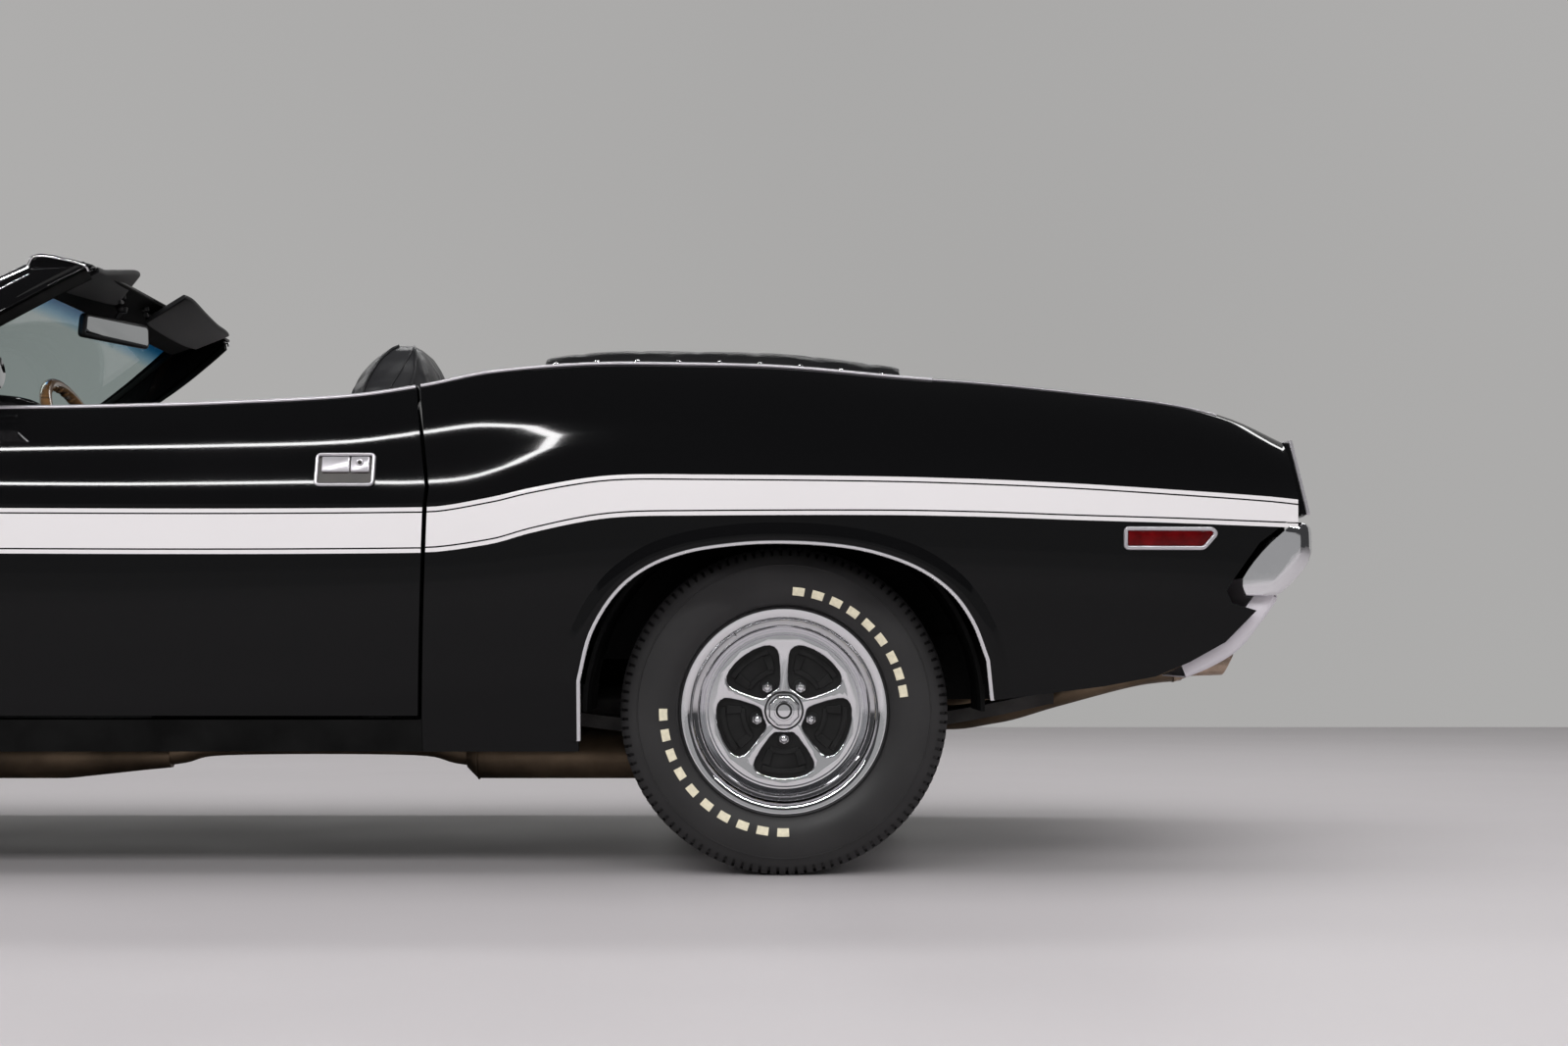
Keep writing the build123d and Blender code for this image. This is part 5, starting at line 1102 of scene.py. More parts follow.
# ---------------------------------------------------------------- studio
def studio():
    """Floor, one-sided back wall, soft lights, world and camera."""
    scene = bpy.context.scene
    c = colours()
    scene.view_settings.view_transform = "Standard"
    mat, base = shader("studio_floor", c.floor, 0.30, specular=0.4)
    where = place(mat)
    tone(mat, base, where, 0.35, shade(c.floor, 0.975), shade(c.floor, 1.02), 0.35, 0.65, 1.0)
    wear(mat, base, where, 1.2, 0.34, 0.42)
    relief(mat, base, where, 2.0, 0.0008, strength=0.10)
    wall, base = shader("studio_wall", c.wall, 0.9, specular=0.1)
    tree = wall.node_tree
    where = place(wall)
    tone(wall, base, where, 0.12, shade(c.wall, 0.96), shade(c.wall, 1.04), 0.35, 0.65, 2.0)
    rays = tree.nodes.new("ShaderNodeLightPath").outputs
    seen = maths(wall, "MAXIMUM", rays["Is Camera Ray"], rays["Is Glossy Ray"])
    seen = maths(wall, "MAXIMUM", seen, rays["Is Transmission Ray"])
    glow = tree.nodes.new("ShaderNodeEmission")
    link(wall, base.inputs["Base Color"].links[0].from_socket, glow.inputs["Color"])
    lit = mixed(wall, seen, base.outputs["BSDF"], glow.outputs["Emission"])
    behind = tree.nodes.new("ShaderNodeNewGeometry").outputs["Backfacing"]
    clear = tree.nodes.new("ShaderNodeBsdfTransparent")
    front = mixed(wall, behind, lit, clear.outputs["BSDF"])
    link(wall, front, tree.nodes["Material Output"].inputs["Surface"])
    for name, finish, corners in (
        ("floor", "studio_floor", [(-30, -22, 0), (30, -22, 0), (30, 26, 0), (-30, 26, 0)]),
        ("wall", "studio_wall", [(30, -7.35, 0), (-30, -7.35, 0), (-30, -7.35, 9), (30, -7.35, 9)]),
    ):
        bm = bmesh.new()
        outline_face(bm, corners)
        as_object(bm, name, FINISHES[finish])
    for name, where, tip, about, wide, deep, power in (
        ("overhead", (0.0, 1.0, 5.2), 0, 0, 9.0, 5.0, 170.0),
        ("front_soft", (-0.5, 8.2, 4.4), 62, 180, 16.0, 1.6, 620.0),
        ("strip", (0.0, 3.95, 4.55), -38, 0, 12.0, 0.12, 360.0),
        ("front_fill", (-0.5, 8.5, 1.3), 90, 180, 18.0, 2.6, 45.0),
        ("far_strip", (0.0, -3.6, 4.8), 35, 0, 12.0, 0.5, 150.0),
    ):
        lamp = bpy.data.lights.new(name, "AREA")
        lamp.shape = "RECTANGLE"
        lamp.size, lamp.size_y, lamp.energy = wide, deep, power
        obj = bpy.data.objects.new(name, lamp)
        obj.location, obj.rotation_euler = where, (math.radians(tip), 0, math.radians(about))
        obj.visible_glossy = name not in ("overhead", "front_soft")
        obj.visible_diffuse = name != "strip"
        scene.collection.objects.link(obj)
    world = scene.world or bpy.data.worlds.new("world")
    scene.world = world
    world.use_nodes = True
    nodes, links = world.node_tree.nodes, world.node_tree.links
    back = nodes["Background"]
    rays = nodes.new("ShaderNodeLightPath")
    mix = nodes.new("ShaderNodeMix")
    mix.data_type = "RGBA"
    mix.inputs[6].default_value = (0.40, 0.40, 0.40, 1.0)
    mix.inputs[7].default_value = (0.05, 0.05, 0.052, 1.0)
    links.new(rays.outputs["Is Glossy Ray"], mix.inputs[0])
    links.new(mix.outputs[2], back.inputs["Color"])
    back.inputs["Strength"].default_value = 1.0
    camera = bpy.data.cameras.new("camera")
    camera.sensor_width = 36.0
    camera.lens = 52.94
    camera.shift_y = 123.5 / 1600.0      # pixels of a frame 1600 wide
    camera.clip_end = 200.0
    obj = bpy.data.objects.new("camera", camera)
    obj.location = (-1.320, 5.452, 0.461)
    obj.rotation_euler = (math.radians(90), 0, math.radians(180))
    scene.collection.objects.link(obj)
    scene.camera = obj


# ---------------------------------------------------------------- hood, lid, deck and cowl
# x of the two ends of each top panel
HOOD = (868.0, 2318.0)
LID = (-2323.0, -1722.0)
DECK = (-1713.0, -1575.0)
COWL = (690.0, 859.0)
HOOD_CROWN, LID_CROWN = 34.0, 24.0


def crown_point(x, share, crown, inset, drop=0.0):
    """Point of a crowned top panel: share runs from -1 at the right rim to 1 at the left one."""
    return Vector((x, (rim_y(x) - inset) * share, belt_z(x) + 4.0 + crown * (1 - share * share) - drop))


def top_sheet(ends, crown, inset, bulge, columns, rows):
    """A crowned sheet with its edges folded down."""
    bm = bmesh.new()
    bmesh.ops.create_grid(bm, x_segments=columns, y_segments=rows, size=1.0)
    for vert in bm.verts:
        x = ends[0] + (ends[1] - ends[0]) * (vert.co.x + 1.0) / 2.0
        share = vert.co.y
        vert.co = crown_point(x, share, crown, inset)
        if bulge:
            vert.co.z += bulge(x, share)
    bmesh.ops.recalc_face_normals(bm, faces=bm.faces)
    facing(bm, (0, 0, 1))
    border = [e for e in bm.edges if e.is_boundary]
    made = bmesh.ops.extrude_edge_only(bm, edges=border)["geom"]
    bmesh.ops.translate(bm, vec=(0, 0, -24.0), verts=[g for g in made if isinstance(g, bmesh.types.BMVert)])
    round_edges(bm, 2.2, 2, edges=border)
    bmesh.ops.recalc_face_normals(bm, faces=bm.faces)
    if max(bm.faces, key=lambda f: f.calc_center_median().z).normal.z < 0:
        bmesh.ops.reverse_faces(bm, faces=bm.faces)
    return bm


def thicken(bm, depth):
    """Gives a sheet a wall on its inner side."""
    bmesh.ops.solidify(bm, geom=bm.faces[:], thickness=depth)
    bmesh.ops.recalc_face_normals(bm, faces=bm.faces)
    return bm


def hood_bulge(x, share):
    """Rise of the hood's long centre panel."""
    along = min(1.0, max(0.0, (x - 900.0) / 260.0)) * min(1.0, max(0.0, (2290.0 - x) / 120.0))
    across = min(1.0, max(0.0, (0.46 - abs(share)) / 0.07))
    smooth = [v * v * (3 - 2 * v) for v in (along, across)]
    return 9.0 * smooth[0] * smooth[1]


def lid_bulge(x, share):
    """Slight kick-up along the lid's rear edge."""
    reach = min(1.0, max(0.0, (-2200.0 - x) / 110.0))
    return 5.0 * reach * reach * (1 - share ** 6)


def ribs(bm, crown, lines):
    """Stiffening channels under a lid. lines are (x0, share0, x1, share1)."""
    for x0, s0, x1, s1 in lines:
        path = [crown_point(x0 + (x1 - x0) * k / 12, s0 + (s1 - s0) * k / 12, crown, GAP, 13.0) for k in range(13)]
        sweep(bm, path, bar(34, -9, 22, 9, 4.0), (0, 0, -1.0))


HOOD_RIBS = ((980, 0.86, 2240, 0.84), (980, -0.86, 2240, -0.84), (960, -0.86, 960, 0.86),
             (2250, -0.86, 2250, 0.86), (1010, 0.6, 2220, 0.12), (1010, -0.6, 2220, -0.12))
LID_RIBS = ((-1800, -0.86, -1800, 0.86), (-2270, -0.86, -2270, 0.86),
            (-1830, 0.7, -2240, 0.3), (-1830, -0.7, -2240, -0.3))


def lids():
    """Hood, trunk lid, deck and cowl, with the cowl's vent and wipers."""
    for name, node, ends, crown, bulge, columns, rows, lines in (
            ("hood_panel", "hood", HOOD, HOOD_CROWN, hood_bulge, 60, 40, HOOD_RIBS),
            ("trunk_panel", "trunk_lid", LID, LID_CROWN, lid_bulge, 30, 30, LID_RIBS)):
        bm = thicken(top_sheet(ends, crown, GAP, bulge, columns, rows), 1.6)
        ribs(bm, crown, lines)
        obj = piece(bm, name, node, "body_paint", angle=38.0)
        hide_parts(node)
    for name, ends, crown, columns, rows in (("deck_skin", DECK, LID_CROWN, 8, 24),
                                             ("cowl_skin", COWL, HOOD_CROWN, 10, 40)):
        bm = moved(top_sheet(ends, crown, 0.5, None, columns, rows), (0, 0, 0.9))
        piece(bm, name, "body", "body_paint", angle=38.0)
    bm = bmesh.new()
    for side in (-1, 1):
        for k in range(14):
            share = side * (0.16 + 0.03 * k)
            rows = [crown_point(x, share, HOOD_CROWN, 0.5, -1.6) for x in (748, 764, 780, 796, 812)]
            sweep(bm, rows, bar(3.4, -1.0, 2.6, 1.6, 0.8, 1), (0, 0, 1.0))
    piece(bm, "cowl_vent_bars", "body", "pocket_black", angle=40.0)
    bm = bmesh.new()
    for y0, y1 in ((-40.0, 430.0), (-520.0, -60.0)):
        start = crown_point(842, y0 / rim_y(842), HOOD_CROWN, 0.5, -12.0)
        end = crown_point(770, y1 / rim_y(770), HOOD_CROWN, 0.5, -26.0)
        rod(bm, start, start - Vector((0, 0, 14)), 9.0, 11.0, 20, 1.5)
        rod(bm, start, end, 4.0, 2.4, 12, 0.8)
        rod(bm, end + Vector((0, -150.0, -9)), end + Vector((6, 130.0, -11)), 4.5, 4.5, 8, 1.0)
    piece(bm, "wipers", "body", "pocket_black", angle=40.0)


# ---------------------------------------------------------------- nose and tail
TAIL_FACE = -2352.0


def holed_slab(bm, outer, inner, direction, edge=0.0, segments=2):
    """A flat plate with a hole, pushed along direction, with rounded edges."""
    part = bmesh.new()
    for loop in (outer, inner):
        verts = [part.verts.new(p) for p in loop]
        for pair in zip(verts, verts[1:] + verts[:1]):
            part.edges.new(pair)
    bmesh.ops.triangle_fill(part, edges=part.edges[:], use_beauty=True)
    bmesh.ops.dissolve_limit(part, angle_limit=0.01, verts=part.verts[:], edges=part.edges[:])
    push(part, part.faces[:], direction)
    bmesh.ops.recalc_face_normals(part, faces=part.faces)
    round_edges(part, edge, segments)
    join(bm, part)


def at_face(points, x):
    """Points of (y, z) at one x."""
    return [(x, y, z) for y, z in points]


def bumper_shell(bm, mid, corner, corner_y, toward, ends, levels, lean_in=lambda z: 0.0):
    """A bowed bar wrapped round the corners. ends gives the wrap's end x at a height; levels are (z, inset)."""
    rows = []
    for z, inset in levels:
        half = [(mid + (corner - mid) * (s ** 2), corner_y * s) for s in (k / 20 for k in range(21))]
        half[-1] = (corner + toward * 1.0, corner_y - 3.0)
        half += [(corner - toward * 7, corner_y + 8), (corner - toward * 17, corner_y + 14.5),
                 (corner - toward * 32, corner_y + 18)]
        tuck = toward * lean_in(z)
        half = [(x - tuck, y) for x, y in half]
        x_end = ends(z)
        x0 = half[-1][0]
        if toward * (x0 - x_end) < 6:
            x_end = x0 - toward * 6
        half += [(x0 + (x_end - x0) * k / 6, corner_y + 18 + 2 * k / 6) for k in range(1, 7)]
        line = [(x, y) for x, y in reversed(half)] + [(x, -y) for x, y in half[1:]]
        row = []
        for k, (x, y) in enumerate(line):
            xa, ya = line[max(0, k - 1)]
            xb, yb = line[min(len(line) - 1, k + 1)]
            normal = Vector((-(yb - ya), xb - xa)).normalized()
            if normal.dot(Vector((toward * 0.7, y / 900.0))) > 0:
                normal = -normal
            row.append((x + normal.x * inset, y + normal.y * inset, z))
        rows.append(row)
    part = bmesh.new()
    loft(part, rows, ring=False)
    bmesh.ops.recalc_face_normals(part, faces=part.faces)
    face = max(part.faces, key=lambda f: toward * f.calc_center_median().x)
    if face.normal.x * toward < 0:
        bmesh.ops.reverse_faces(part, faces=part.faces)
    bmesh.ops.solidify(part, geom=part.faces[:], thickness=3.0)
    bmesh.ops.recalc_face_normals(part, faces=part.faces)
    join(bm, part)


def slope_end(z):
    """Front end of the rear bumper's wrap at a height."""
    table = ((706, -2330.0), (696, -2319.0), (648, -2266.0), (590, -2223.0), (570, -2224.0), (556, -2232.0))
    return through(table, z)[0]


def rear_tuck(z):
    """How far the rear bumper's face leans forward below its upper part."""
    return 66.0 * (max(0.0, 642.0 - z) / 86.0) ** 1.5


PLATE_SCREW_Y = 88.9


def bumpers():
    """Both bars with their brackets, and the screws for the number plates."""
    bm = bmesh.new()
    levels = ((557.5, 26), (556.6, 10), (559, 4), (565, 1.2), (575, 0.2), (590, 0), (605, 0), (622, 0), (642, 0),
              (662, 0), (680, 0.6), (690, 2.4), (697, 7), (701, 14), (701.9, 28))
    bumper_shell(bm, -2430.0, -2362.0, 896.0, -1, slope_end, levels, rear_tuck)
    for side in (-1, 1):
        box(bm, -2385, -2353, side * 420 - 30, side * 420 + 30, 600, 650, 4.0)
    obj = piece(bm, "rear_bumper_bar", "body", "chrome", angle=40.0)
    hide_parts("rear_bumper")
    bm = bmesh.new()
    levels = ((441, 26), (440.5, 10), (445, 3), (456, 0.6), (490, 0.0), (506, 2.0), (522, 0.2), (552, 0.8), (564, 4),
              (569.4, 12), (569.5, 26))
    bumper_shell(bm, 2430.0, 2352.0, 886.0, 1, lambda z: 2303.0, levels)
    for side in (-1, 1):
        box(bm, 2213, 2380, side * 420 - 30, side * 420 + 30, 475, 525, 4.0)
    obj = piece(bm, "front_bumper_bar", "body", "chrome", angle=40.0)
    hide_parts("front_bumper")
    bm = bmesh.new()
    for x, z in ((-2427.0, 629.0), (2430.0, 505.0)):
        for side in (-1, 1):
            out = math.copysign(1.0, x)
            rod(bm, (x - out * 3, side * PLATE_SCREW_Y, z), (x + out * 2.0, side * PLATE_SCREW_Y, z), 6.0, 5.0, 20, 0.8)
    piece(bm, "plate_screws", "body", "screw_steel")


TAIL_OUTLINE = ((-906, 716), (-746, 872), (-330, 888), (330, 888), (746, 872), (906, 716), (868, 712), (700, 712),
                (700, 576), (-700, 576), (-700, 712), (-868, 712))
LAMP_HOLE = ((-800, 735), (-716, 842), (716, 842), (800, 735))


def tail():
    """The wall between the quarters with its recessed lamps and bright lines."""
    bm = bmesh.new()
    holed_slab(bm, at_face(TAIL_OUTLINE, TAIL_FACE), at_face(LAMP_HOLE, TAIL_FACE), (16.6, 0, 0), 2.5, 2)
    obj = piece(bm, "tail_wall", "body", "body_paint", angle=40.0)
    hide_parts("tail_panel")
    bm = bmesh.new()
    slab(bm, at_face([(-808, 730), (-722, 847), (722, 847), (808, 730)], TAIL_FACE + 11.0), (4.5, 0, 0), 0.5)
    piece(bm, "lamp_recess", "body", "grille_black", angle=40.0)
    bm = bmesh.new()
    path = at_face([(-804, 733), (-718, 844), (718, 844), (804, 733)], TAIL_FACE - 1.0)
    path = corners_rounded(path, 12.0, 3)
    sweep(bm, path, bar(4, -2.5, 3, 2.5, 1.5), (-1.0, 0, 0), closed=True)
    for side in (-1, 1):
        box(bm, TAIL_FACE + 0.5, TAIL_FACE + 11, side * 135 - 4, side * 135 + 4, 737, 840, 1.5)
        line = at_face([(146, 746), (146, 831), (700, 831), (770, 746)], TAIL_FACE + 1.0)
        line = corners_rounded([(x, side * y, z) for x, y, z in line], 8.0, 3)
        sweep(bm, line, bar(2.5, -1.5, 1.8, 1.6, 1.0), (-1.0, 0, 0), closed=True)
    piece(bm, "lamp_bezels", "body", "chrome", angle=50.0)
    bm = bmesh.new()
    for side in (-1, 1):
        path = [(TAIL_FACE - 2.0, side * (744 + 160 * k / 12), 874 - 156 * k / 12) for k in range(13)]
        sweep(bm, path, bar(4, -3, 3, 3, 1.5), (0, side, 0.9))
    path = [(TAIL_FACE - 2.0, y, z) for y, z in ((-744, 874), (-330, 890), (330, 890), (744, 874))]
    sweep(bm, path, bar(4, -3, 3, 3, 1.5), (0, 0, 1.0))
    piece(bm, "tail_edge_mouldings", "body", "satin_plate", angle=50.0)
    bm = bmesh.new()
    for side in (-1, 1):
        slab(bm, at_face([(side * y, z) for y, z in ((142, 741), (142, 836), (704, 836), (778, 741))],
                         TAIL_FACE + 3.0), (7.5, 0, 0), 2.0)
        for z in (757, 773, 789, 805, 821):
            slab(bm, at_face([(side * y, z + dz) for y, dz in (
                (150, -5), (150, 5), (778 - (z + 5 - 741) * 0.78 - 12, 5), (778 - (z - 5 - 741) * 0.78 - 12, -5))],
                TAIL_FACE + 1.6), (3.0, 0, 0), 1.2)
    obj = piece(bm, "tail_lenses", "body", "lamp_red", angle=40.0)
    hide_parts("tail_lamps")
    bm = bmesh.new()
    box(bm, TAIL_FACE + 2.5, TAIL_FACE + 10.5, -129, 129, 741, 836, 2.0)
    for k in range(11):
        box(bm, TAIL_FACE + 1.4, TAIL_FACE + 4.0, -120 + 24 * k - 4, -120 + 24 * k + 4, 750, 827, 1.0)
    piece(bm, "reversing_lens", "body", "lamp_glass", angle=40.0)
    valances()


def corners_rounded(path, radius, steps):
    """Rounds the corners of a closed 3-D path."""
    pts = [Vector(p) for p in path]
    out = []
    for k, b in enumerate(pts):
        a, c = pts[k - 1], pts[(k + 1) % len(pts)]
        start, end = b + (a - b).normalized() * radius, b + (c - b).normalized() * radius
        for j in range(steps + 1):
            t = j / steps
            out.append((1 - t) ** 2 * start + 2 * t * (1 - t) * b + t * t * end)
    return out


def curved_apron(line, half, notches, gap_top):
    """A sheet whose side view is line, from -half to half, cut away below gap_top at the notches."""
    bm = bmesh.new()
    path = [(p.x, p.y) for p in smooth_path([(x, z, 0) for x, z in line], 6)]
    ys = sorted({round(-half + 2 * half * k / 40, 3) for k in range(41)} | set(notches))
    rows = [[(x, y, z) for x, z in path] for y in ys]
    loft(bm, rows, ring=False)
    spare = []
    for face in bm.faces:
        c = face.calc_center_median()
        if c.z < gap_top and any(a < c.y < b for a, b in zip(notches[::2], notches[1::2])):
            spare.append(face)
    bmesh.ops.delete(bm, geom=spare, context="FACES")
    return bm


APRON_HALF = 861.0
# The rear apron's corner: half width, distance behind the sheet.
APRON_FLANK = ((APRON_HALF, 0.0), (866.0, 2.0), (871.0, 10.0), (873.5, 24.0), (874.0, 44.0), (870.0, 44.0),
               (APRON_HALF, 4.0))
PARKING_Y, PARKING_Z = 560, 405


def valances():
    """The aprons under both bumpers, and the front one's parking lamps."""
    line = ((-2290, 600), (-2296, 575), (-2301, 552), (-2288, 530), (-2263, 496), (-2236, 462), (-2208, 437),
            (-2165, 413), (-2120, 394))
    bm = curved_apron(line, APRON_HALF + 0.5, (-580.0, -460.0, 460.0, 580.0), 458.0)
    facing(bm, (-1, 0, 0))
    thicken(bm, 3.0)
    path = [(p.x, p.y) for p in smooth_path([(x, z, 0) for x, z in line[2:]], 6)]
    for side in (-1, 1):
        rows = []
        for k, (x, z) in enumerate(path):
            (xa, za), (xb, zb) = path[max(0, k - 1)], path[min(len(path) - 1, k + 1)]
            ahead = Vector((za - zb, xb - xa)).normalized()
            ahead *= math.copysign(1.0, ahead.x)
            rows.append([(x + ahead.x * a, side * y, z + ahead.y * a) for y, a in APRON_FLANK])
        loft(bm, rows)
    # The apron's light grey finish is a painted reflection of the floor.
    obj = piece(bm, "rear_apron", "body", "apron_painted_reflection", angle=50.0)
    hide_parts("rear_valance")
    line = ((2356, 439.5), (2352, 405), (2340, 373.7), (2322, 350), (2296, 331.7))
    bm = curved_apron(line, 800.0, (), 0.0)
    facing(bm, (1, 0, 0))
    thicken(bm, 3.0)
    obj = piece(bm, "front_apron", "body", "body_paint", angle=50.0)
    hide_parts("front_valance")
    bm = bmesh.new()
    for side in (-1, 1):
        rod(bm, (2330, side * PARKING_Y, PARKING_Z), (2357, side * PARKING_Y, PARKING_Z), 40.0, 37.0, 40, 3.0)
    piece(bm, "parking_lenses", "body", "marker_amber", angle=40.0)
    bm = bmesh.new()
    for side in (-1, 1):
        turned(bm, [(38, 0), (44, 0), (45.5, 3), (43, 6), (39, 5)], 48, (2352, side * PARKING_Y, PARKING_Z), -90.0)
    piece(bm, "parking_bezels", "body", "chrome", angle=50.0)


def nose():
    """The grille with its frame and the four headlamps."""
    outer = [(-905, 640), (-765, 800), (-320, 825), (320, 825), (765, 800), (905, 640), (870, 585), (-870, 585)]
    hole = [(-850, 632), (-760, 768), (760, 768), (850, 632), (835, 612), (-835, 612)]
    bm = bmesh.new()
    holed_slab(bm, at_face(outer, 2330.5), at_face(hole, 2330.5), (57.2, 0, 0), 9.0, 4)
    obj = piece(bm, "nose_frame", "body", "body_paint", angle=35.0)
    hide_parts("grille_surround")
    bm = bmesh.new()
    inner = [(-839, 633), (-754, 761), (754, 761), (839, 633), (826, 618), (-826, 618)]
    path = corners_rounded(at_face(inner, 2334.0), 14.0, 4)
    sweep(bm, path, bar(6, -4, 5, 4, 2.5), (1.0, 0, 0), closed=True)
    piece(bm, "grille_moulding", "body", "chrome", angle=50.0)
    bm = bmesh.new()
    slab(bm, at_face([(-838, 630), (-730, 758), (730, 758), (838, 630), (828, 606), (-828, 606)], 2295.0),
         (6.0, 0, 0), 1.0)
    for k in range(8):
        z = 630 + 16.5 * k
        box(bm, 2300, 2316, -482, 482, z - 2.5, z + 2.5, 1.5)
    for k in range(31):
        y = -480 + 32 * k
        box(bm, 2300, 2310, y - 1.8, y + 1.8, 622, 753, 0.8, 1)
    obj = piece(bm, "grille_bars", "body", "grille_black", angle=35.0)
    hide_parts("grille")
    lens, rings, bowls = bmesh.new(), bmesh.new(), bmesh.new()
    for y in (-690.0, -550.0, 550.0, 690.0):
        dome = [(0.4, 30), (14, 29.3), (28, 27), (41, 23), (52, 17), (57, 12.5), (57, 8), (0.4, 4)]
        for bm, profile, steps in ((lens, dome, 48), (bowls, [(0.5, 0), (62, 0), (62, 4), (0.5, 3)], 48), (
                rings, [(55, 8), (57.5, 16), (60, 19), (64, 18), (66, 12), (66, 1), (56, 1)], 64)):
            turned(bm, profile, steps, (2308.0, y, 686.0), -90.0)
    obj = piece(lens, "headlamp_lenses", "body", "lamp_glass", angle=30.0)
    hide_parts("headlamps")
    piece(rings, "headlamp_rims", "body", "chrome", angle=30.0)
    piece(bowls, "headlamp_bowls", "body", "grille_black", angle=30.0)


# End, outline as (x, z) and finish of the lamps on the corners.
MARKERS = (
    ("rear", ((-2144.0, 644.5), (-1983.0, 644.5), (-1983.0, 691.0), (-2162.0, 691.0), (-2173.0, 677.0)),
     "marker_red"),
    ("front", ((2010.0, 590.0), (2150.0, 590.0), (2150.0, 628.0), (2010.0, 628.0)), "marker_amber"),
)


def inset(points, amount):
    """A closed convex outline of 2-D points moved inwards by amount."""
    count = len(points)
    middle = sum((Vector(p) for p in points), Vector((0, 0))) / count
    out = []
    for k in range(count):
        a, b, c = (Vector(points[(k + d) % count]) for d in (-1, 0, 1))
        shifts = []
        for p, q in ((a, b), (b, c)):
            normal = Vector((-(q - p).y, (q - p).x)).normalized()
            shifts.append(normal if normal.dot(middle - b) > 0 else -normal)
        bend = shifts[0] + shifts[1]
        out.append(tuple(b + bend * (amount / (1 + shifts[0].dot(shifts[1])))))
    return out


def markers():
    """Side lamps with their raised bezels."""
    for side in (LEFT, RIGHT):
        for end, outline, finish in MARKERS:
            who = f"{SIDE_NAME[side]}_{end}"
            bm = bmesh.new()
            loft(bm, [[skin_at(x, z, out) for x, z in sampled(rounded(inset(outline, amount), 3.0, 3), 12.0)]
                      for amount, out in ((8.0, -2.0), (8.0, 2.0), (9.0, 3.6), (11.0, 4.6))])
            obj = piece(bm, f"{who}_marker_lens", "body", finish, side=side, angle=50.0)
            if side == LEFT and end == "rear":
                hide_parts("side_markers")
            bm = bmesh.new()
            ring = sampled(rounded(inset(outline, 4.5), 6.0, 3), 12.0)
            sweep(bm, [skin_at(x, z, 2.0) for x, z in ring], bar(4.5, -4, 3.6, 5, 2.0), closed=True)
            piece(bm, f"{who}_marker_bezel", "body", "satin_plate", side=side, angle=50.0)


# ---------------------------------------------------------------- under the car
PIPE_Y, PIPE_Z, TIP_Y = 330, 215, 520
PIPE_ROUTE = ((1150, PIPE_Y, 240), (900, PIPE_Y, 222), (460, PIPE_Y, PIPE_Z), (60, PIPE_Y, 219),
              (-80, PIPE_Y, 241), (-500, PIPE_Y, 241), (-640, PIPE_Y, 218), (-1010, PIPE_Y, PIPE_Z),
              (-1120, PIPE_Y, 262), (-1200, PIPE_Y, 405), (-1320, PIPE_Y, 418), (-1440, PIPE_Y, 405),
              (-1640, PIPE_Y, 305), (-1780, 415, 315), (-1900, 486, 352), (-2060, TIP_Y, 396), (-2165, TIP_Y, 410))


def exhaust():
    """Both pipes with their mufflers and flattened tips, and dark panels beside the tank that are painted shade behind
    the rear wheels.
    """
    bm = bmesh.new()
    tips = bmesh.new()
    for side in (-1, 1):
        path = smooth_path([(x, side * y, z) for x, y, z in PIPE_ROUTE], 8)
        sweep(bm, path, circle(27.0, 20), (0.12, 1.0, 0.05))
        for x0, x1 in ((60.0, 440.0), (-1000.0, -640.0)):
            muffler = bmesh.new()
            blunt = ((x0 - 22, 29), (x0 - 12, 40), (x0, 52), (x0 + 10, 54))
            slim = ((x0 - 22, 29), (x0 + 30, 34), (x0 + 110, 43), (x0 + 190, 52), (x0 + 215, 54))
            stations = (*(slim if x0 > 0 else blunt), (x1 - 10, 54), (x1, 52), (x1 + 12, 40), (x1 + 22, 29))
            loft(muffler, [[(x, side * PIPE_Y + a, PIPE_Z + b) for a, b in circle(r, 32, 0.96)] for x, r in stations])
            for x in (x0 + 4, x1 - 4) if x0 < 0 else (x1 - 4,):
                sweep(muffler, [(x, side * PIPE_Y + a, PIPE_Z + b) for a, b in circle(54.5, 32, 0.96)],
                      circle(2.2, 8), (1.0, 0, 0), closed=True)
            join(bm, muffler)
        box(bm, 240, 260, side * PIPE_Y - 10, side * PIPE_Y + 10, 260, 269.5, 1.0)
        outline = bar(44, -24, 44, 24, 20.0, 5)
        inside = bar(40, -20, 40, 20, 17.0, 5)
        ends = [(-2150.0, 0.0, 0.66, 1.05, 405, outline), (-2185.0, 0.0, 1.0, 1.0, 417, outline),
                (-2262.0, -0.5, 1.0, 1.0, 419, outline), (-2263.5, -0.5, 0.97, 0.97, 419, outline),
                (-2262.0, -0.5, 1.0, 1.0, 419, inside), (-2190.0, 0.0, 1.0, 1.0, 419, inside)]
        rows = [[(x + slant * b, side * TIP_Y + a * wide, z + b * high) for a, b in ring]
                for x, slant, wide, high, z, ring in ends]
        loft(tips, rows)
    obj = piece(bm, "exhaust_pipes", "body", "exhaust_steel", angle=40.0)
    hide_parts("exhaust")
    piece(tips, "exhaust_tips", "body", "tip_bronze", angle=40.0)
    # Dark sheets behind the rear wheels: painted shade where the view under the car would be lit.
    bm = bmesh.new()
    for side in (-1, 1):
        box(bm, -1765, -1560, side * 640 - 3, side * 640 + 3, 346, 480, 2.0)
    piece(bm, "painted_shade_panels", "body", "under_paint", angle=40.0)


ENGINE_FRONT, ENGINE_REAR, AIR_CLEANER_X, FAN_Z = 1780.0, 1222.0, 1500.0, 570.0


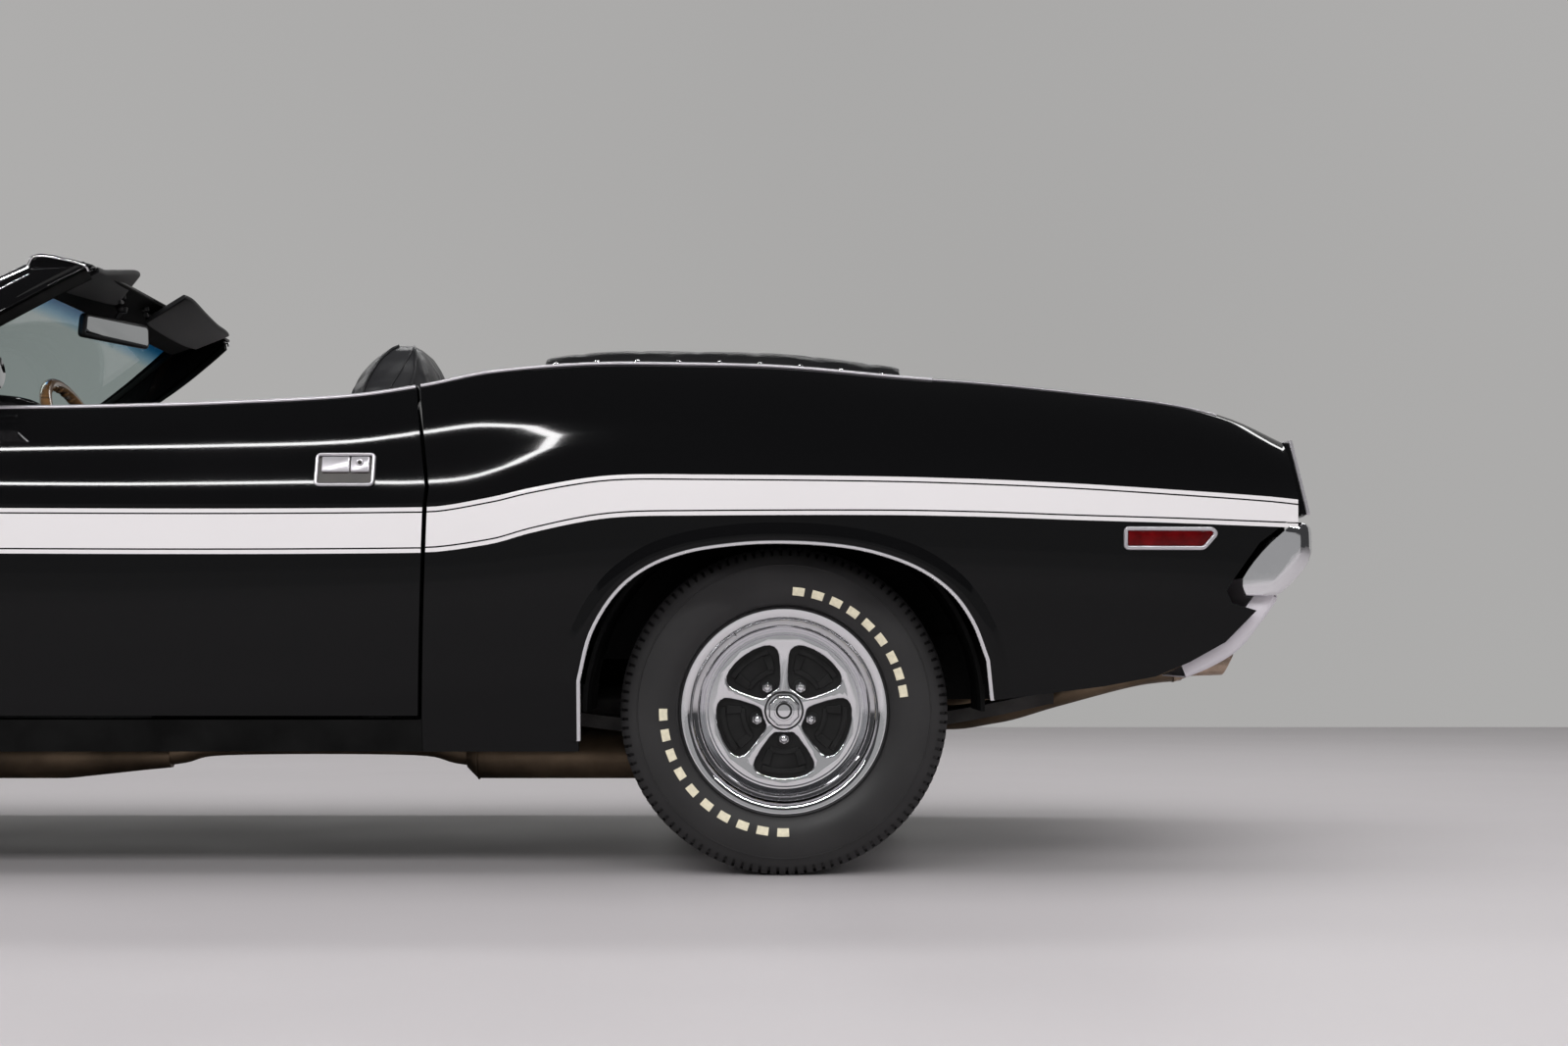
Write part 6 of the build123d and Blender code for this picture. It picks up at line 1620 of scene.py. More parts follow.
def engine():
    """Vee engine with its covers, air cleaner, fan and gearbox."""
    long = (ENGINE_FRONT - ENGINE_REAR, 0, 0)
    bm = bmesh.new()
    half = [(120, 345), (192, 400), (192, 490), (262, 560), (172, 652), (92, 596)]
    section = half + [(-y, z) for y, z in reversed(half)]
    slab(bm, at_face(section, ENGINE_REAR), long, 7.0, 3)
    loft(bm, [[(x, a * wide, 360 + b * high) for a, b in circle(1.0, 32)] for x, wide, high in (
        (1224, 118, 58), (1150, 116, 58), (1080, 84, 52), (900, 72, 46), (834, 66, 42))])     # the gearbox
    obj = piece(bm, "engine_block", "body", "engine_iron", angle=35.0)
    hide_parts("engine")
    bm = bmesh.new()
    for side in (-1, 1):
        cover = [(side * y, z) for y, z in ((182, 662), (268, 574), (290, 596), (284, 636), (232, 692), (204, 690))]
        slab(bm, at_face(cover, ENGINE_REAR + 24), (510, 0, 0), 12.0, 4)
        rod(bm, (1650, side * 236, 664), (1650, side * 252, 684), 22.0, 20.0, 28, 3.0)
        for k in range(4):
            x = 1290 + 130 * k
            tube = smooth_path([(x, side * 236, 560), (x, side * 262, 520), (x + 12, side * 254, 488)], 5)
            sweep(bm, tube, circle(19.0, 16), (1.0, 0, 0))
    for low, high, r0, r1 in ((702, 712, 178, 186), (756, 770, 192, 186)):
        rod(bm, (AIR_CLEANER_X, 0, low), (AIR_CLEANER_X, 0, high), r0, r1, 72, 3.0)
    rod(bm, (AIR_CLEANER_X, 0, 770), (AIR_CLEANER_X, 0, 786), 9.0, 7.0, 20, 2.0)
    piece(bm, "engine_covers", "body", "chrome", angle=40.0)
    bm = bmesh.new()
    rod(bm, (AIR_CLEANER_X, 0, 712), (AIR_CLEANER_X, 0, 756), 166.0, 166.0, 72, 1.0)
    box(bm, 1420, 1580, -70, 70, 640, 703, 8.0, 3)
    slab(bm, at_face([(-98, 594), (98, 594), (84, 642), (-84, 642)], 1280), (440, 0, 0), 10.0, 3)
    for y, z, r, x in ((0, FAN_Z, 62, 1812), (0, 410, 80, 1806), (-150, 590, 42, 1808), (150, 500, 50, 1808)):
        rod(bm, (ENGINE_FRONT - 6, y, z), (x, y, z), r, r, 48, 3.0)
    rod(bm, (1806, 0, FAN_Z), (1858, 0, FAN_Z), 40.0, 34.0, 32, 3.0)
    for k in range(7):
        blade = bmesh.new()
        slab(blade, [(-9, 30, -22), (9, 30, 22), (14, 190, 34), (-14, 190, -34)], (3, 0, 0), 1.0)
        moved(blade, turn=360.0 * k / 7, axis="X")
        moved(blade, (1846, 0, FAN_Z))
        join(bm, blade)
    box(bm, 1300, 1700, -150, 150, 332, 372, 14.0, 3)
    piece(bm, "engine_fittings", "body", "axle_iron", angle=35.0)


NODE_FINISHES = {
    "underbody": "under_paint", "cowl_and_firewall": "under_paint", "deck_panel": "under_paint",
    "wheelhouses": "under_paint", "radiator_support": "under_paint", "radiator": "core_aluminium",
    "front_suspension": "axle_iron", "rear_axle": "axle_iron",
    "leaf_springs": "spring_steel", "driveshaft": "axle_iron", "fuel_tank": "tank_steel",
    "left_knuckle": "axle_iron", "right_knuckle": "axle_iron",
}


def frame_finishes():
    """Gives the plain frame pieces that stay in view their finish."""
    for name, finish in NODE_FINISHES.items():
        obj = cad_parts[name]
        obj.data.materials.clear()
        obj.data.materials.append(FINISHES[finish])
        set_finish(obj, SLOTS[finish])


# ---------------------------------------------------------------- windshield
FRAME_DEPTH, PILLAR_WIDTH, GLASS_AHEAD = 135.0, 46.0, 100.0
# Share of the height, half width over the pillars
PILLAR_LINE = ((1.0, 610.0), (0.86, 652.0), (0.68, 692.0), (0.5, 714.0), (0.3, 722.0), (0.0, 722.0))


def screen_point(s, t, ahead=0.0, narrow=0.0):
    """A point of the windshield: s from -1 right to 1 left, t from 0 foot to 1 header."""
    half = through(PILLAR_LINE, t)[0] - narrow
    crown = 28.0 * (1 - t) + 30.0 * t
    z = 931.0 + 332.0 * t + crown * (1 - s * s)
    x = 133.0 + 332.0 * (1 - t) * 1.45 + (128.0 + (55.0 - 128.0) * t) * (1 - s * s) + ahead
    return Vector((x, half * s, z))


def windshield():
    """The painted surround, its bright and rubber trim, and the glass."""
    bm = bmesh.new()
    section = rounded([(0, -9), (0, -4.5), (40, 6), (84, 16), (116, 19.5), (132, 6), (139, -44), (134, -53),
                       (70, -32)], 7.0, 3)
    rows = []
    for s in [-1.0, -0.994, -0.982] + [k / 12 for k in range(-11, 12)] + [0.982, 0.994, 1.0]:
        squeeze = {1.0: 0.86, 0.994: 0.96}.get(abs(s), 1.0)
        foot = screen_point(s, 1.0)
        rows.append([foot + Vector((68 + (a - 68) * squeeze, 0, -14 + (b + 14) * squeeze)) for a, b in section])
    loft(bm, rows)
    for side in (-1, 1):
        rows = []
        for k in range(25):
            t = k / 24 * 0.985
            x, y, z = screen_point(side, t)
            ring = rounded([(0, 0), (FRAME_DEPTH, 0), (FRAME_DEPTH, -PILLAR_WIDTH), (0, -PILLAR_WIDTH)], 11.0, 4)
            rows.append([(x + a, y + side * b, z - 6) for a, b in ring])
        loft(bm, rows)
    obj = piece(bm, "windshield_surround", "body", "body_paint", angle=40.0)
    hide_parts("windshield_frame")
    bm = bmesh.new()
    for side in (-1, 1):
        for ahead, width, top in ((127.0, 8.0, 0.985), (92.0, 2.4, 0.93)):
            path = [screen_point(side, k / 20 * top) + Vector((ahead, side * 0.5, -6)) for k in range(21)]
            sweep(bm, path, bar(width, -2, width * 0.8, 2.2, 1.6), (0.1, side, 0))
        path = [screen_point(side, 0.99) + Vector((dx, side * dy, dz)) for dx, dy, dz in (
            (128, 2, -4), (118, 2, 12), (96, 2, 15), (60, 2, 9), (30, 2, 2), (8, 2, -6), (3, -2, -16))]
        sweep(bm, smooth_path(path, 4), circle(2.6, 10), (0, side, 0))
    path = [screen_point(s, 1.0) + Vector((127, 0, 14)) for s in (k / 24 for k in range(-23, 24))]
    sweep(bm, path, bar(9, -2, 7, 2.5, 1.6), (0.4, 0, 1))
    piece(bm, "windshield_mouldings", "body", "chrome", angle=50.0)
    bm = bmesh.new()
    loft(bm, [[screen_point(j / 16, 0.02 + 0.94 * k / 16, GLASS_AHEAD, PILLAR_WIDTH - 4.0) for j in range(-16, 17)]
              for k in range(17)], ring=False)
    facing(bm, (1, 0, 0))
    thicken(bm, 6.0)
    obj = piece(bm, "windshield_glass", "body", "screen_glass", angle=50.0)
    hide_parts("windshield")
    bm = bmesh.new()
    border = [(-1, k / 14) for k in range(1, 14)] + [(k / 16, 0.955) for k in range(-15, 16)]
    border += [(1, 1 - k / 14) for k in range(1, 14)] + [(-k / 16, 0.03) for k in range(-15, 16)]
    sweep(bm, [screen_point(s, t, GLASS_AHEAD, PILLAR_WIDTH) for s, t in border], bar(7, -7, 7, 7, 4.0),
          (1.0, 0.001, 0.6), closed=True)
    piece(bm, "windshield_gasket", "body", "seal_rubber", angle=50.0)
    bm = bmesh.new()
    under = [(1, -9.5), (70, -32.5), (132, -53.0), (131, -56.0), (70, -35.5), (2, -12.5)]
    loft(bm, [[screen_point(s, 1.0) + Vector((a, 0, b)) for a, b in under] for s in (k / 20 for k in range(-18, 19))])
    for side in (-1, 1):
        path = [screen_point(side, k / 20 * 0.97) + Vector((-1.5, -side * PILLAR_WIDTH * 0.5, -6)) for k in range(21)]
        half = PILLAR_WIDTH * 0.5 - 1.0
        sweep(bm, path, bar(half, -4, half - 3, 3.5, 3.0), (-1.0, 0, 0.3))
    piece(bm, "pillar_seals", "body", "seal_rubber", angle=50.0)


def visors():
    """Two padded visors and the inside mirror on its stalk."""
    ends = {LEFT: ([(46.0, -40.0), (-22.0, 36.0), (-27.0, 24.0), (41.0, -53.0)],
                   [(86.0, -40.0), (-3.0, 0.0), (-8.0, -13.0), (80.0, -54.0)]),
            RIGHT: ([(46.0, -45.0), (-68.0, 20.0), (-73.0, 8.0), (41.0, -58.0)],
                    [(72.0, -38.0), (-36.0, 1.0), (-41.0, -12.0), (66.0, -51.0)])}
    for side in (LEFT, RIGHT):
        inner_end, outer_end = ends[side]
        bm = bmesh.new()
        rows = []
        for k in range(15):
            u = k / 14
            base = screen_point(0.205 + 0.65 * u, 1.0)
            end = abs(2 * u - 1)
            pinch = 1.0 - 0.55 * end ** 7
            droop = -2.5 * math.sin(math.pi * u)
            blend = min(1.0, u * 1.25)
            outline = [(p[0] + (q[0] - p[0]) * blend, p[1] + (q[1] - p[1]) * blend)
                       for p, q in zip(inner_end, outer_end)]
            high = 1 if pinch > 0.9 else 0.86 + 0.14 * pinch
            rows.append([base + Vector((12.5 + (a - 12.5) * (1 - 0.16 * end ** 6), 0, -26 + (b + 26) * high + droop))
                         for a, b in rounded(outline, 6.0, 4)])
        loft(bm, rows)
        round_edges(bm, 2.0, 2, angle=55.0)
        # The visors' darker vinyl is painted shade.
        obj = piece(bm, f"{SIDE_NAME[side]}_visor", "body", "visor_vinyl_painted_shade", side=side, angle=60.0, levels=1)
        if side == LEFT:
            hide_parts("visors_and_mirror")
        bm = bmesh.new()
        pin = [screen_point(s, 1.0) + Vector((30, 0, -38)) for s in (0.16, 0.215)]
        rod(bm, pin[0], pin[1], 5.0, 5.0, 16, 1.0)
        foot = screen_point(0.16, 1.0) + Vector((30, 0, -30))
        rod(bm, foot, foot + Vector((0, 0, 16)), 9.0, 7.0, 18, 1.5)
        piece(bm, f"{SIDE_NAME[side]}_visor_pivot", "body", "grille_black", side=side)
    frame_part, glass = bmesh.new(), bmesh.new()
    slab(frame_part, [(10.0, a, b) for a, b in bar(127, -28, 121, 29, 14.0, 5)], (-17.0, 0, 0), 5.0, 3)
    slab(glass, [(-6.2, a, b) for a, b in bar(119, -21, 114, 22, 10.0, 5)], (-2.0, 0, 0), 0.8)
    for bm in (frame_part, glass):
        moved(bm, turn=-3.0)
        moved(bm, (262.0, 0.0, 1200.0), -21.0, "Z")
    rod(frame_part, (268, 0, 1215), (246, 0, 1250), 4.5, 5.5, 16, 1.0)
    rod(frame_part, (246, 0, 1243), (246, 0, 1257), 12.0, 15.0, 20, 2.0)
    piece(frame_part, "inside_mirror", "body", "grille_black", angle=40.0)
    piece(glass, "inside_mirror_glass", "body", "mirror_glass", angle=40.0)


# ---------------------------------------------------------------- soft pieces
def freeze(obj):
    """Keeps what the modifiers make as the object's own mesh."""
    graph = bpy.context.evaluated_depsgraph_get()
    mesh = bpy.data.meshes.new_from_object(obj.evaluated_get(graph), preserve_all_data_layers=True, depsgraph=graph)
    old = obj.data
    obj.modifiers.clear()
    obj.data = mesh
    bpy.data.meshes.remove(old)


def inflated(obj, voxel, cap, pressure):
    """Remeshes a pad, blows it up as cloth by at most cap (metres) and smooths it."""
    remesh = obj.modifiers.new("Remesh", "REMESH")
    remesh.mode = "VOXEL"
    remesh.voxel_size = voxel
    remesh.use_smooth_shade = True
    freeze(obj)
    rest = [v.co.copy() for v in obj.data.vertices]
    cloth = obj.modifiers.new("Cloth", "CLOTH")
    cloth.settings.use_pressure = True
    cloth.settings.uniform_pressure_force = pressure
    cloth.settings.effector_weights.gravity = 0.0
    scene = bpy.context.scene
    for step in range(1, 21):
        scene.frame_set(step)
    freeze(obj)
    scene.frame_set(1)
    for vert, start in zip(obj.data.vertices, rest):
        shift = vert.co - start
        if shift.length > cap:
            vert.co = start + shift * (cap / shift.length)


def dented(obj, depth_at):
    """Moves every point along its normal by depth_at(point) millimetres."""
    mesh = obj.data
    normals = [v.normal.copy() for v in mesh.vertices]
    for vert, normal in zip(mesh.vertices, normals):
        vert.co += normal * (depth_at(vert.co / MM, normal) * MM)


def pad(bm, name, finish, dents, cap, voxel=0.008, pressure=4.0):
    """A stuffed piece on the body: inflated, then dented along its seams, then subdivided once."""
    obj = piece(bm, name, "body", finish, angle=180.0)
    inflated(obj, voxel, cap, pressure)
    dented(obj, dents)
    subdivided(obj)
    return obj


def twin(obj, name):
    """The mirror image of a finished pad, on the other side."""
    bm = bmesh.new()
    bm.from_mesh(obj.data)
    mirrored(bm)
    copy = as_object(bm, name, obj.data.materials[0])
    subdivided(copy)
    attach(copy, "body")
    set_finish(copy, obj["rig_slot"])
    return copy


def piping(bm, obj, path, radius=3.0, sink=0.3):
    """A thin round welt laid on the surface of a finished pad along a path near it."""
    line = []
    for p in path:
        _, spot, normal, _ = obj.closest_point_on_mesh(Vector(p) * MM)
        line.append((spot / MM) + normal * radius * (1 - sink))
    for _ in range(2):
        line = [line[0]] + [(a + b * 2 + c) / 4 for a, b, c in zip(line, line[1:], line[2:])] + [line[-1]]
    sweep(bm, line, circle(radius, 8), (0.31, 0.83, 0.47))


def valley(distance, width):
    """1 at no distance, falling off over width."""
    return math.exp(-(distance / width) ** 2)


def plump(power):
    """A function that swells a sine or cosine, keeping its sign."""
    return lambda v: math.copysign(abs(v) ** power, v)


def ring_xy(cx, cy, dx, w, z, steps=36, bolster=0.0):
    """A closed ring of a seat back at height z."""
    soft = plump(0.62)
    ring = []
    for k in range(steps):
        a = 2 * math.pi * k / steps
        x, y = soft(math.cos(a)), soft(math.sin(a))
        ring.append((cx + dx * x + (bolster * y * y if x > 0 else 0.0), cy + w * y, z))
    return ring


SEAT_Y = 415.0
# height, front, rear, half width of the front seat's back
SEAT_BACK = (
    (476, -372, -486, 205), (500, -362, -496, 226), (560, -355, -505, 236), (650, -366, -523, 242),
    (760, -378, -541, 243), (900, -392, -560, 238), (960, -394, -568, 226), (1010, -402, -573, 196),
    (1048, -418, -574, 166), (1076, -438, -568, 148), (1098, -464, -556, 126), (1110, -484, -540, 98),
    (1116, -502, -522, 50),
)


def back_seams(co, normal):
    """Sewn channels on the front of a seat back, with a seam round the insert."""
    y, z = abs(co.y - SEAT_Y), co.z
    if normal.x < 0.25 or z > 1030:
        return 0.0
    dip = 0.0
    if 560 < z < 985 and y < 150:
        dip = seam_lines(y)
    return dip - 6.0 * valley(max(y - 150.0, z - 985.0), 6.0)


def cushion_seams(co, normal):
    """The same on the top of a seat cushion."""
    y = abs(co.y - SEAT_Y)
    if normal.z < 0.4:
        return 0.0
    dip = 0.0
    if -330 < co.x < -30 and y < 150:
        dip = seam_lines(y)
    return dip - 6.0 * valley(max(y - 150.0, co.x + 30.0), 6.0)


def seam_lines(across):
    """Dip of the sewn channels at a distance from a cushion's middle."""
    return -4.5 * valley((across + 18.0) % 36.0 - 18.0, 5.0)


# x, top, underside, half width of the front seat's cushion
SEAT_CUSHION = ((-442, 520, 470, 190), (-430, 548, 452, 222), (-400, 556, 446, 236), (-300, 556, 444, 242),
                (-180, 566, 442, 244), (-60, 580, 441, 244), (-20, 576, 442, 240), (5, 562, 446, 232),
                (18, 540, 456, 218), (24, 510, 476, 190))


def cushion_ring(x, top, low, w, steps=36):
    """A closed ring of the front seat's cushion at x."""
    soft = plump(0.55)
    ring = []
    for k in range(steps):
        a = 2 * math.pi * k / steps
        y, z = soft(math.cos(a)), soft(math.sin(a))
        ring.append((x, SEAT_Y + (w - 6.0) * y, (top + low) / 2 + ((top - low) / 2 - 4.0) * z
                     + (8.0 * y * y if z > 0 else 0.0)))
    return ring


def front_seats():
    """Both front seats: pads, welts, bases and the hinges of their backs."""
    bm = bmesh.new()
    loft(bm, [ring_xy((f + r) / 2, SEAT_Y, (f - r) / 2 - 5.0, w - 7.0, z, bolster=10.0) for z, f, r, w in SEAT_BACK])
    back = pad(bm, "left_seat_back", "seat_vinyl", dents=back_seams, cap=0.010)
    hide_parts("front_seats")
    bm = bmesh.new()
    loft(bm, [cushion_ring(*station) for station in SEAT_CUSHION])
    cushion = pad(bm, "left_seat_cushion", "seat_vinyl", dents=cushion_seams, cap=0.010)
    twin(back, "right_seat_back")
    twin(cushion, "right_seat_cushion")
    welts = bmesh.new()
    for sign in (-1, 1):
        front = [((f * 0.86 + r * 0.14), SEAT_Y + sign * w * 0.985, z) for z, f, r, w in SEAT_BACK[1:-1]]
        rear = [((f * 0.16 + r * 0.84), SEAT_Y + sign * w * 0.985, z) for z, f, r, w in SEAT_BACK[1:-1]]
        middle = [(f + (r - f) * (0.28 + 0.5 * k / 8), SEAT_Y + sign * w * 0.99, z)
                  for k, (z, f, r, w) in enumerate(SEAT_BACK[3:-1])]
        for line, radius in ((front, 3.2), (rear, 3.2), (middle, 1.6)):
            piping(welts, back, smooth_path(line, 5), radius)
        line = [(x, SEAT_Y + sign * w, top - 16) for x, top, w in (
            (-400, 556, 238), (-300, 556, 243), (-180, 566, 245), (-60, 580, 245), (-10, 572, 238), (14, 548, 222))]
        piping(welts, cushion, smooth_path(line, 6), 3.2)
    store = welts.copy()
    piece(welts, "left_seat_welts", "body", "seat_vinyl", angle=60.0)
    piece(store, "right_seat_welts", "body", "seat_vinyl", side=RIGHT, angle=60.0)
    for side in (LEFT, RIGHT):
        bm = bmesh.new()
        outline = ((-432, 287), (8, 287), (14, 450), (-450, 450))
        slab(bm, at_y(outline, SEAT_Y - 205), (0, 410, 0), 14.0, 3)
        piece(bm, f"{SIDE_NAME[side]}_seat_base", "body", "dash_vinyl", side=side, angle=40.0)
        bm = bmesh.new()
        for y in (SEAT_Y - 214, SEAT_Y + 206):
            box(bm, -452, -380, y, y + 8, 440, 520, 3.0)
            rod(bm, (-420, y - 2, 490), (-420, y + 10, 490), 16.0, 14.0, 24, 2.0)
        piece(bm, f"{SIDE_NAME[side]}_seat_hinges", "body", "screw_steel", side=side, angle=40.0)


def rear_seams(co, normal):
    """Channels and dividing seams of the rear seat."""
    y = abs(co.y)
    if normal.z < 0.3 and normal.x < 0.3:
        return 0.0
    dip = 0.0
    if 70 < y < 500:
        dip -= 4.0 * valley((y + 18.0) % 40.0 - 20.0, 5.0)
    return dip - 7.0 * valley(y - 52.0, 7.0) - 7.0 * valley(y - 520.0, 7.0)


def rear_seat():
    """Padded cushion and back across the rear of the cabin."""
    bm = bmesh.new()
    outline = ((-704, 476), (-698, 600), (-724, 624), (-1062, 596), (-1070, 476))
    slab(bm, at_y(outline, -600.0), (0, 1200.0, 0), 16.0, 3)
    cushion = pad(bm, "rear_seat_cushion", "seat_vinyl", voxel=0.011, dents=rear_seams, cap=0.010)
    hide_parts("rear_seat")
    bm = bmesh.new()
    outline = ((-1072, 600), (-1120, 900), (-1146, 996), (-1196, 1003), (-1228, 600))
    slab(bm, at_y(outline, -600.0), (0, 1200.0, 0), 18.0, 3)
    pad(bm, "rear_seat_back", "seat_vinyl", voxel=0.011, dents=rear_seams, cap=0.008)


# x, half width, rise of the crown
BOOT = ((-820.0, 700.0, 22.0), (-925.0, 694.0, 34.0), (-1122.0, 684.0, 44.0), (-1320.0, 674.0, 44.0),
        (-1566.0, 646.0, 22.0))


def boot_top(x, share):
    """Height of the cover over the belt."""
    rise = through(BOOT, x)[1]
    edge = max(0.0, (abs(share) - 0.93) / 0.07)
    return 5.0 + 22.0 * math.sqrt(max(0.0, 1 - edge * edge)) + (rise + 2.0) * (1 - share * share)


def boot_folds(co, normal):
    """Soft waves over the bows and small tucks along the rim."""
    if normal.z < 0.2:
        return 0.0
    half = through(BOOT, co.x)[0]
    share = co.y / half
    wave = 3.0 * math.sin(co.x / 58.0 + 1.4 * math.sin(co.y / 210.0)) * (1 - share ** 2)
    tuck = -3.0 * valley((co.x + 1320.0) % 120.0 - 60.0, 9.0) * max(0.0, abs(share) - 0.72) / 0.28
    ridge = -5.0 * valley(abs(co.y) - 0.60 * half, 8.0) if co.x < -1150 else 0.0
    return wave + tuck + ridge


def boot_cover():
    """Vinyl cover over the folded top: two wings beside the rear seat and the full width behind it."""
    bm = bmesh.new()
    bmesh.ops.create_grid(bm, x_segments=50, y_segments=60, size=1.0)
    front, rear = BOOT[0][0], BOOT[-1][0]
    for vert in bm.verts:
        u, share = (vert.co.x + 1) / 2, vert.co.y
        x = front + (rear - front) * u
        vert.co = (x, through(BOOT, x)[0] * share, belt_z(x) + 4.3 + boot_top(x, share))
    middles = [(face, face.calc_center_median()) for face in bm.faces]
    spare = [face for face, c in middles if c.x > -1150 and abs(c.y) < 545]
    bmesh.ops.delete(bm, geom=spare, context="FACES")
    made = bmesh.ops.extrude_face_region(bm, geom=bm.faces[:])["geom"]
    for vert in (g for g in made if isinstance(g, bmesh.types.BMVert)):
        vert.co.z = belt_z(vert.co.x) + 4.6
    bmesh.ops.recalc_face_normals(bm, faces=bm.faces)
    cover = pad(bm, "boot_cover_vinyl", "boot_vinyl", voxel=0.009, cap=0.006, dents=boot_folds, pressure=2.0)
    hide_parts("boot_cover")
    bm = bmesh.new()
    for side in (-1, 1):
        for k in range(9):
            x = -850.0 - 84.0 * k
            y, z = side * (through(BOOT, x)[0] + 3.0), belt_z(x) + 12.0
            rod(bm, (x, y - side * 4, z), (x, y + side * 3.5, z), 7.5, 5.5, 18, 1.2)
    for k in range(13):
        y = -600.0 + 100.0 * k
        z = belt_z(-1572.0) + 4.3 + 24.0 * (1 - (y / 650.0) ** 2)
        rod(bm, (-1566.0, y, z + 8), (-1573.5, y, z + 8), 7.5, 5.5, 18, 1.2)
    piece(bm, "boot_cover_snaps", "body", "chrome", angle=40.0)


# ---------------------------------------------------------------- cabin fittings
def set_on(bm, origin, axis):
    """Takes +Y of a part to axis, keeping local +Z as upright as it goes, and places it."""
    y = Vector(axis).normalized()
    x = y.cross(Vector((0, 0, 1))).normalized()
    z = x.cross(y)
    turn = Matrix((x, y, z)).transposed().to_4x4()
    bmesh.ops.transform(bm, matrix=Matrix.Translation(origin) @ turn, verts=bm.verts)
    return bm


WHEEL_MIDDLE = (209.0, 370.0, 859.0)
COLUMN_TILT = math.radians(24.0)


def steering():
    """Wood-rimmed wheel with three steel spokes, its hub and the column."""
    along = (math.cos(COLUMN_TILT), 0.0, -math.sin(COLUMN_TILT))
    rim = bmesh.new()
    spun(rim, [(190 + 12.6 * math.cos(a), 13.2 * math.sin(a)) for a in (2 * math.pi * k / 20 for k in range(20))],
         96, closed=True)
    for k in range(36):
        a = math.radians(10 * k + 4)
        knob = bmesh.new()
        bmesh.ops.create_uvsphere(knob, u_segments=10, v_segments=8, radius=6.5)
        bmesh.ops.scale(knob, vec=(1.0, 1.5, 1.1), verts=knob.verts)
        moved(knob, (181.0 * math.cos(a), 1.0, 181.0 * math.sin(a)))
        join(rim, knob)
    set_on(rim, WHEEL_MIDDLE, along)
    obj = piece(rim, "steering_rim", "body", "wood_rim", angle=50.0)
    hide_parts("steering_wheel")
    metal = bmesh.new()
    for angle in (0.0, 180.0, 270.0):
        spoke = bmesh.new()
        slab(spoke, at_y(rounded([(36, -17), (185, -13), (185, 13), (36, 17)], 4.0, 2), -2.0), (0, 4.0, 0), 1.2)
        moved(spoke, turn=-angle)
        join(metal, spoke)
    spun(metal, [(186, -3), (194, -3), (194, 3), (186, 3)], 90, closed=True)
    set_on(metal, Vector(WHEEL_MIDDLE) + Vector(along) * 6.0, along)
    piece(metal, "steering_spokes", "body", "brushed_steel", angle=40.0)
    hub = bmesh.new()
    spun(hub, [(0.5, -24), (18, -23), (34, -19), (43, -10), (45, 2), (42, 16), (30, 26), (0.5, 28)], 48)
    rod(hub, (0, 20, 0), (0, 130, 0), 27.0, 30.0, 32, 4.0)
    rod(hub, (0, 120, 0), (0, 300, 0), 22.0, 22.0, 28, 1.0)
    rod(hub, (0, 90, 0), (-95, 70, 30), 4.0, 3.2, 12, 1.0)
    set_on(hub, WHEEL_MIDDLE, along)
    piece(hub, "steering_column", "body", "grille_black", angle=35.0)


def dash():
    """The padded dash with its wood panels, gauges, knobs and grille."""
    bm = bmesh.new()
    outline = ((765, 650), (765, 879), (660, 903), (500, 907), (452, 889), (463, 700), (560, 650))
    slab(bm, at_y(outline, -699.0), (0, 1398.0, 0), 13.0, 4)
    obj = piece(bm, "dash_pad", "body", "dash_vinyl", angle=35.0)
    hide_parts("dashboard")
    fascia, rings, dials, marks = bmesh.new(), bmesh.new(), bmesh.new(), bmesh.new()
    slab(fascia, at_face(oblong(165, 585, 728, 868, 22.0, 5), 452.0), (-6.0, 0, 0), 2.5)
    slab(fascia, at_face(oblong(-600, -190, 730, 862, 12.0), 455.0), (-5.0, 0, 0), 2.5)
    box(fascia, 450, 458, -130, 130, 716, 850, 3.0)
    for y, z, r in ((225, 812, 36), (318, 812, 42), (424, 812, 42), (522, 812, 36), (270, 752, 15), (372, 752, 15),
                    (476, 752, 15)):
        for bm, profile in ((rings, [(r - 3, -1), (r + 2, -1), (r + 2.5, 3), (r, 6), (r - 3, 4)]),
                            (dials, [(0.4, 0.6), (r - 2.5, 0.6), (r - 2.5, -2), (0.4, -2)])):
            turned(bm, profile, 40, (446.0, y, z), 90.0)
        if r > 20:
            for k in range(11):
                tick = bmesh.new()
                bmesh.ops.create_cube(tick, size=1.0)
                bmesh.ops.scale(tick, vec=(1.0, r * 0.20, 1.6), verts=tick.verts)
                moved(tick, (0, r * 0.78, 0))
                moved(tick, turn=-30 + 24 * k, axis="X")
                moved(tick, (445.2, y, z))
                join(marks, tick)
            needle = bmesh.new()
            bmesh.ops.create_cone(needle, cap_ends=True, segments=6, radius1=1.8, radius2=0.5, depth=r * 0.8)
            moved(needle, (0, 0, r * 0.35))
            moved(needle, turn=48.0, axis="X")
            moved(needle, (444.4, y, z))
            join(marks, needle)
    piece(fascia, "dash_fascia", "body", "wood_rim", angle=40.0)
    piece(rings, "gauge_rings", "body", "chrome", angle=35.0)
    piece(dials, "gauge_dials", "body", "grille_black", angle=35.0)
    piece(marks, "gauge_marks", "body", "dial_white", angle=35.0)
    bm = bmesh.new()
    for k in range(5):
        rod(bm, (450, -96 + 48 * k, 740), (436, -96 + 48 * k, 740), 8.5, 7.0, 20, 1.5)
    for k in range(9):
        box(bm, 446, 452, -112, 112, 786 + 6 * k, 788.5 + 6 * k, 0.8, 1)
    rod(bm, (452, -395, 842), (440, -395, 842), 10.0, 9.0, 24, 2.0)
    piece(bm, "dash_knobs", "body", "chrome", angle=40.0)


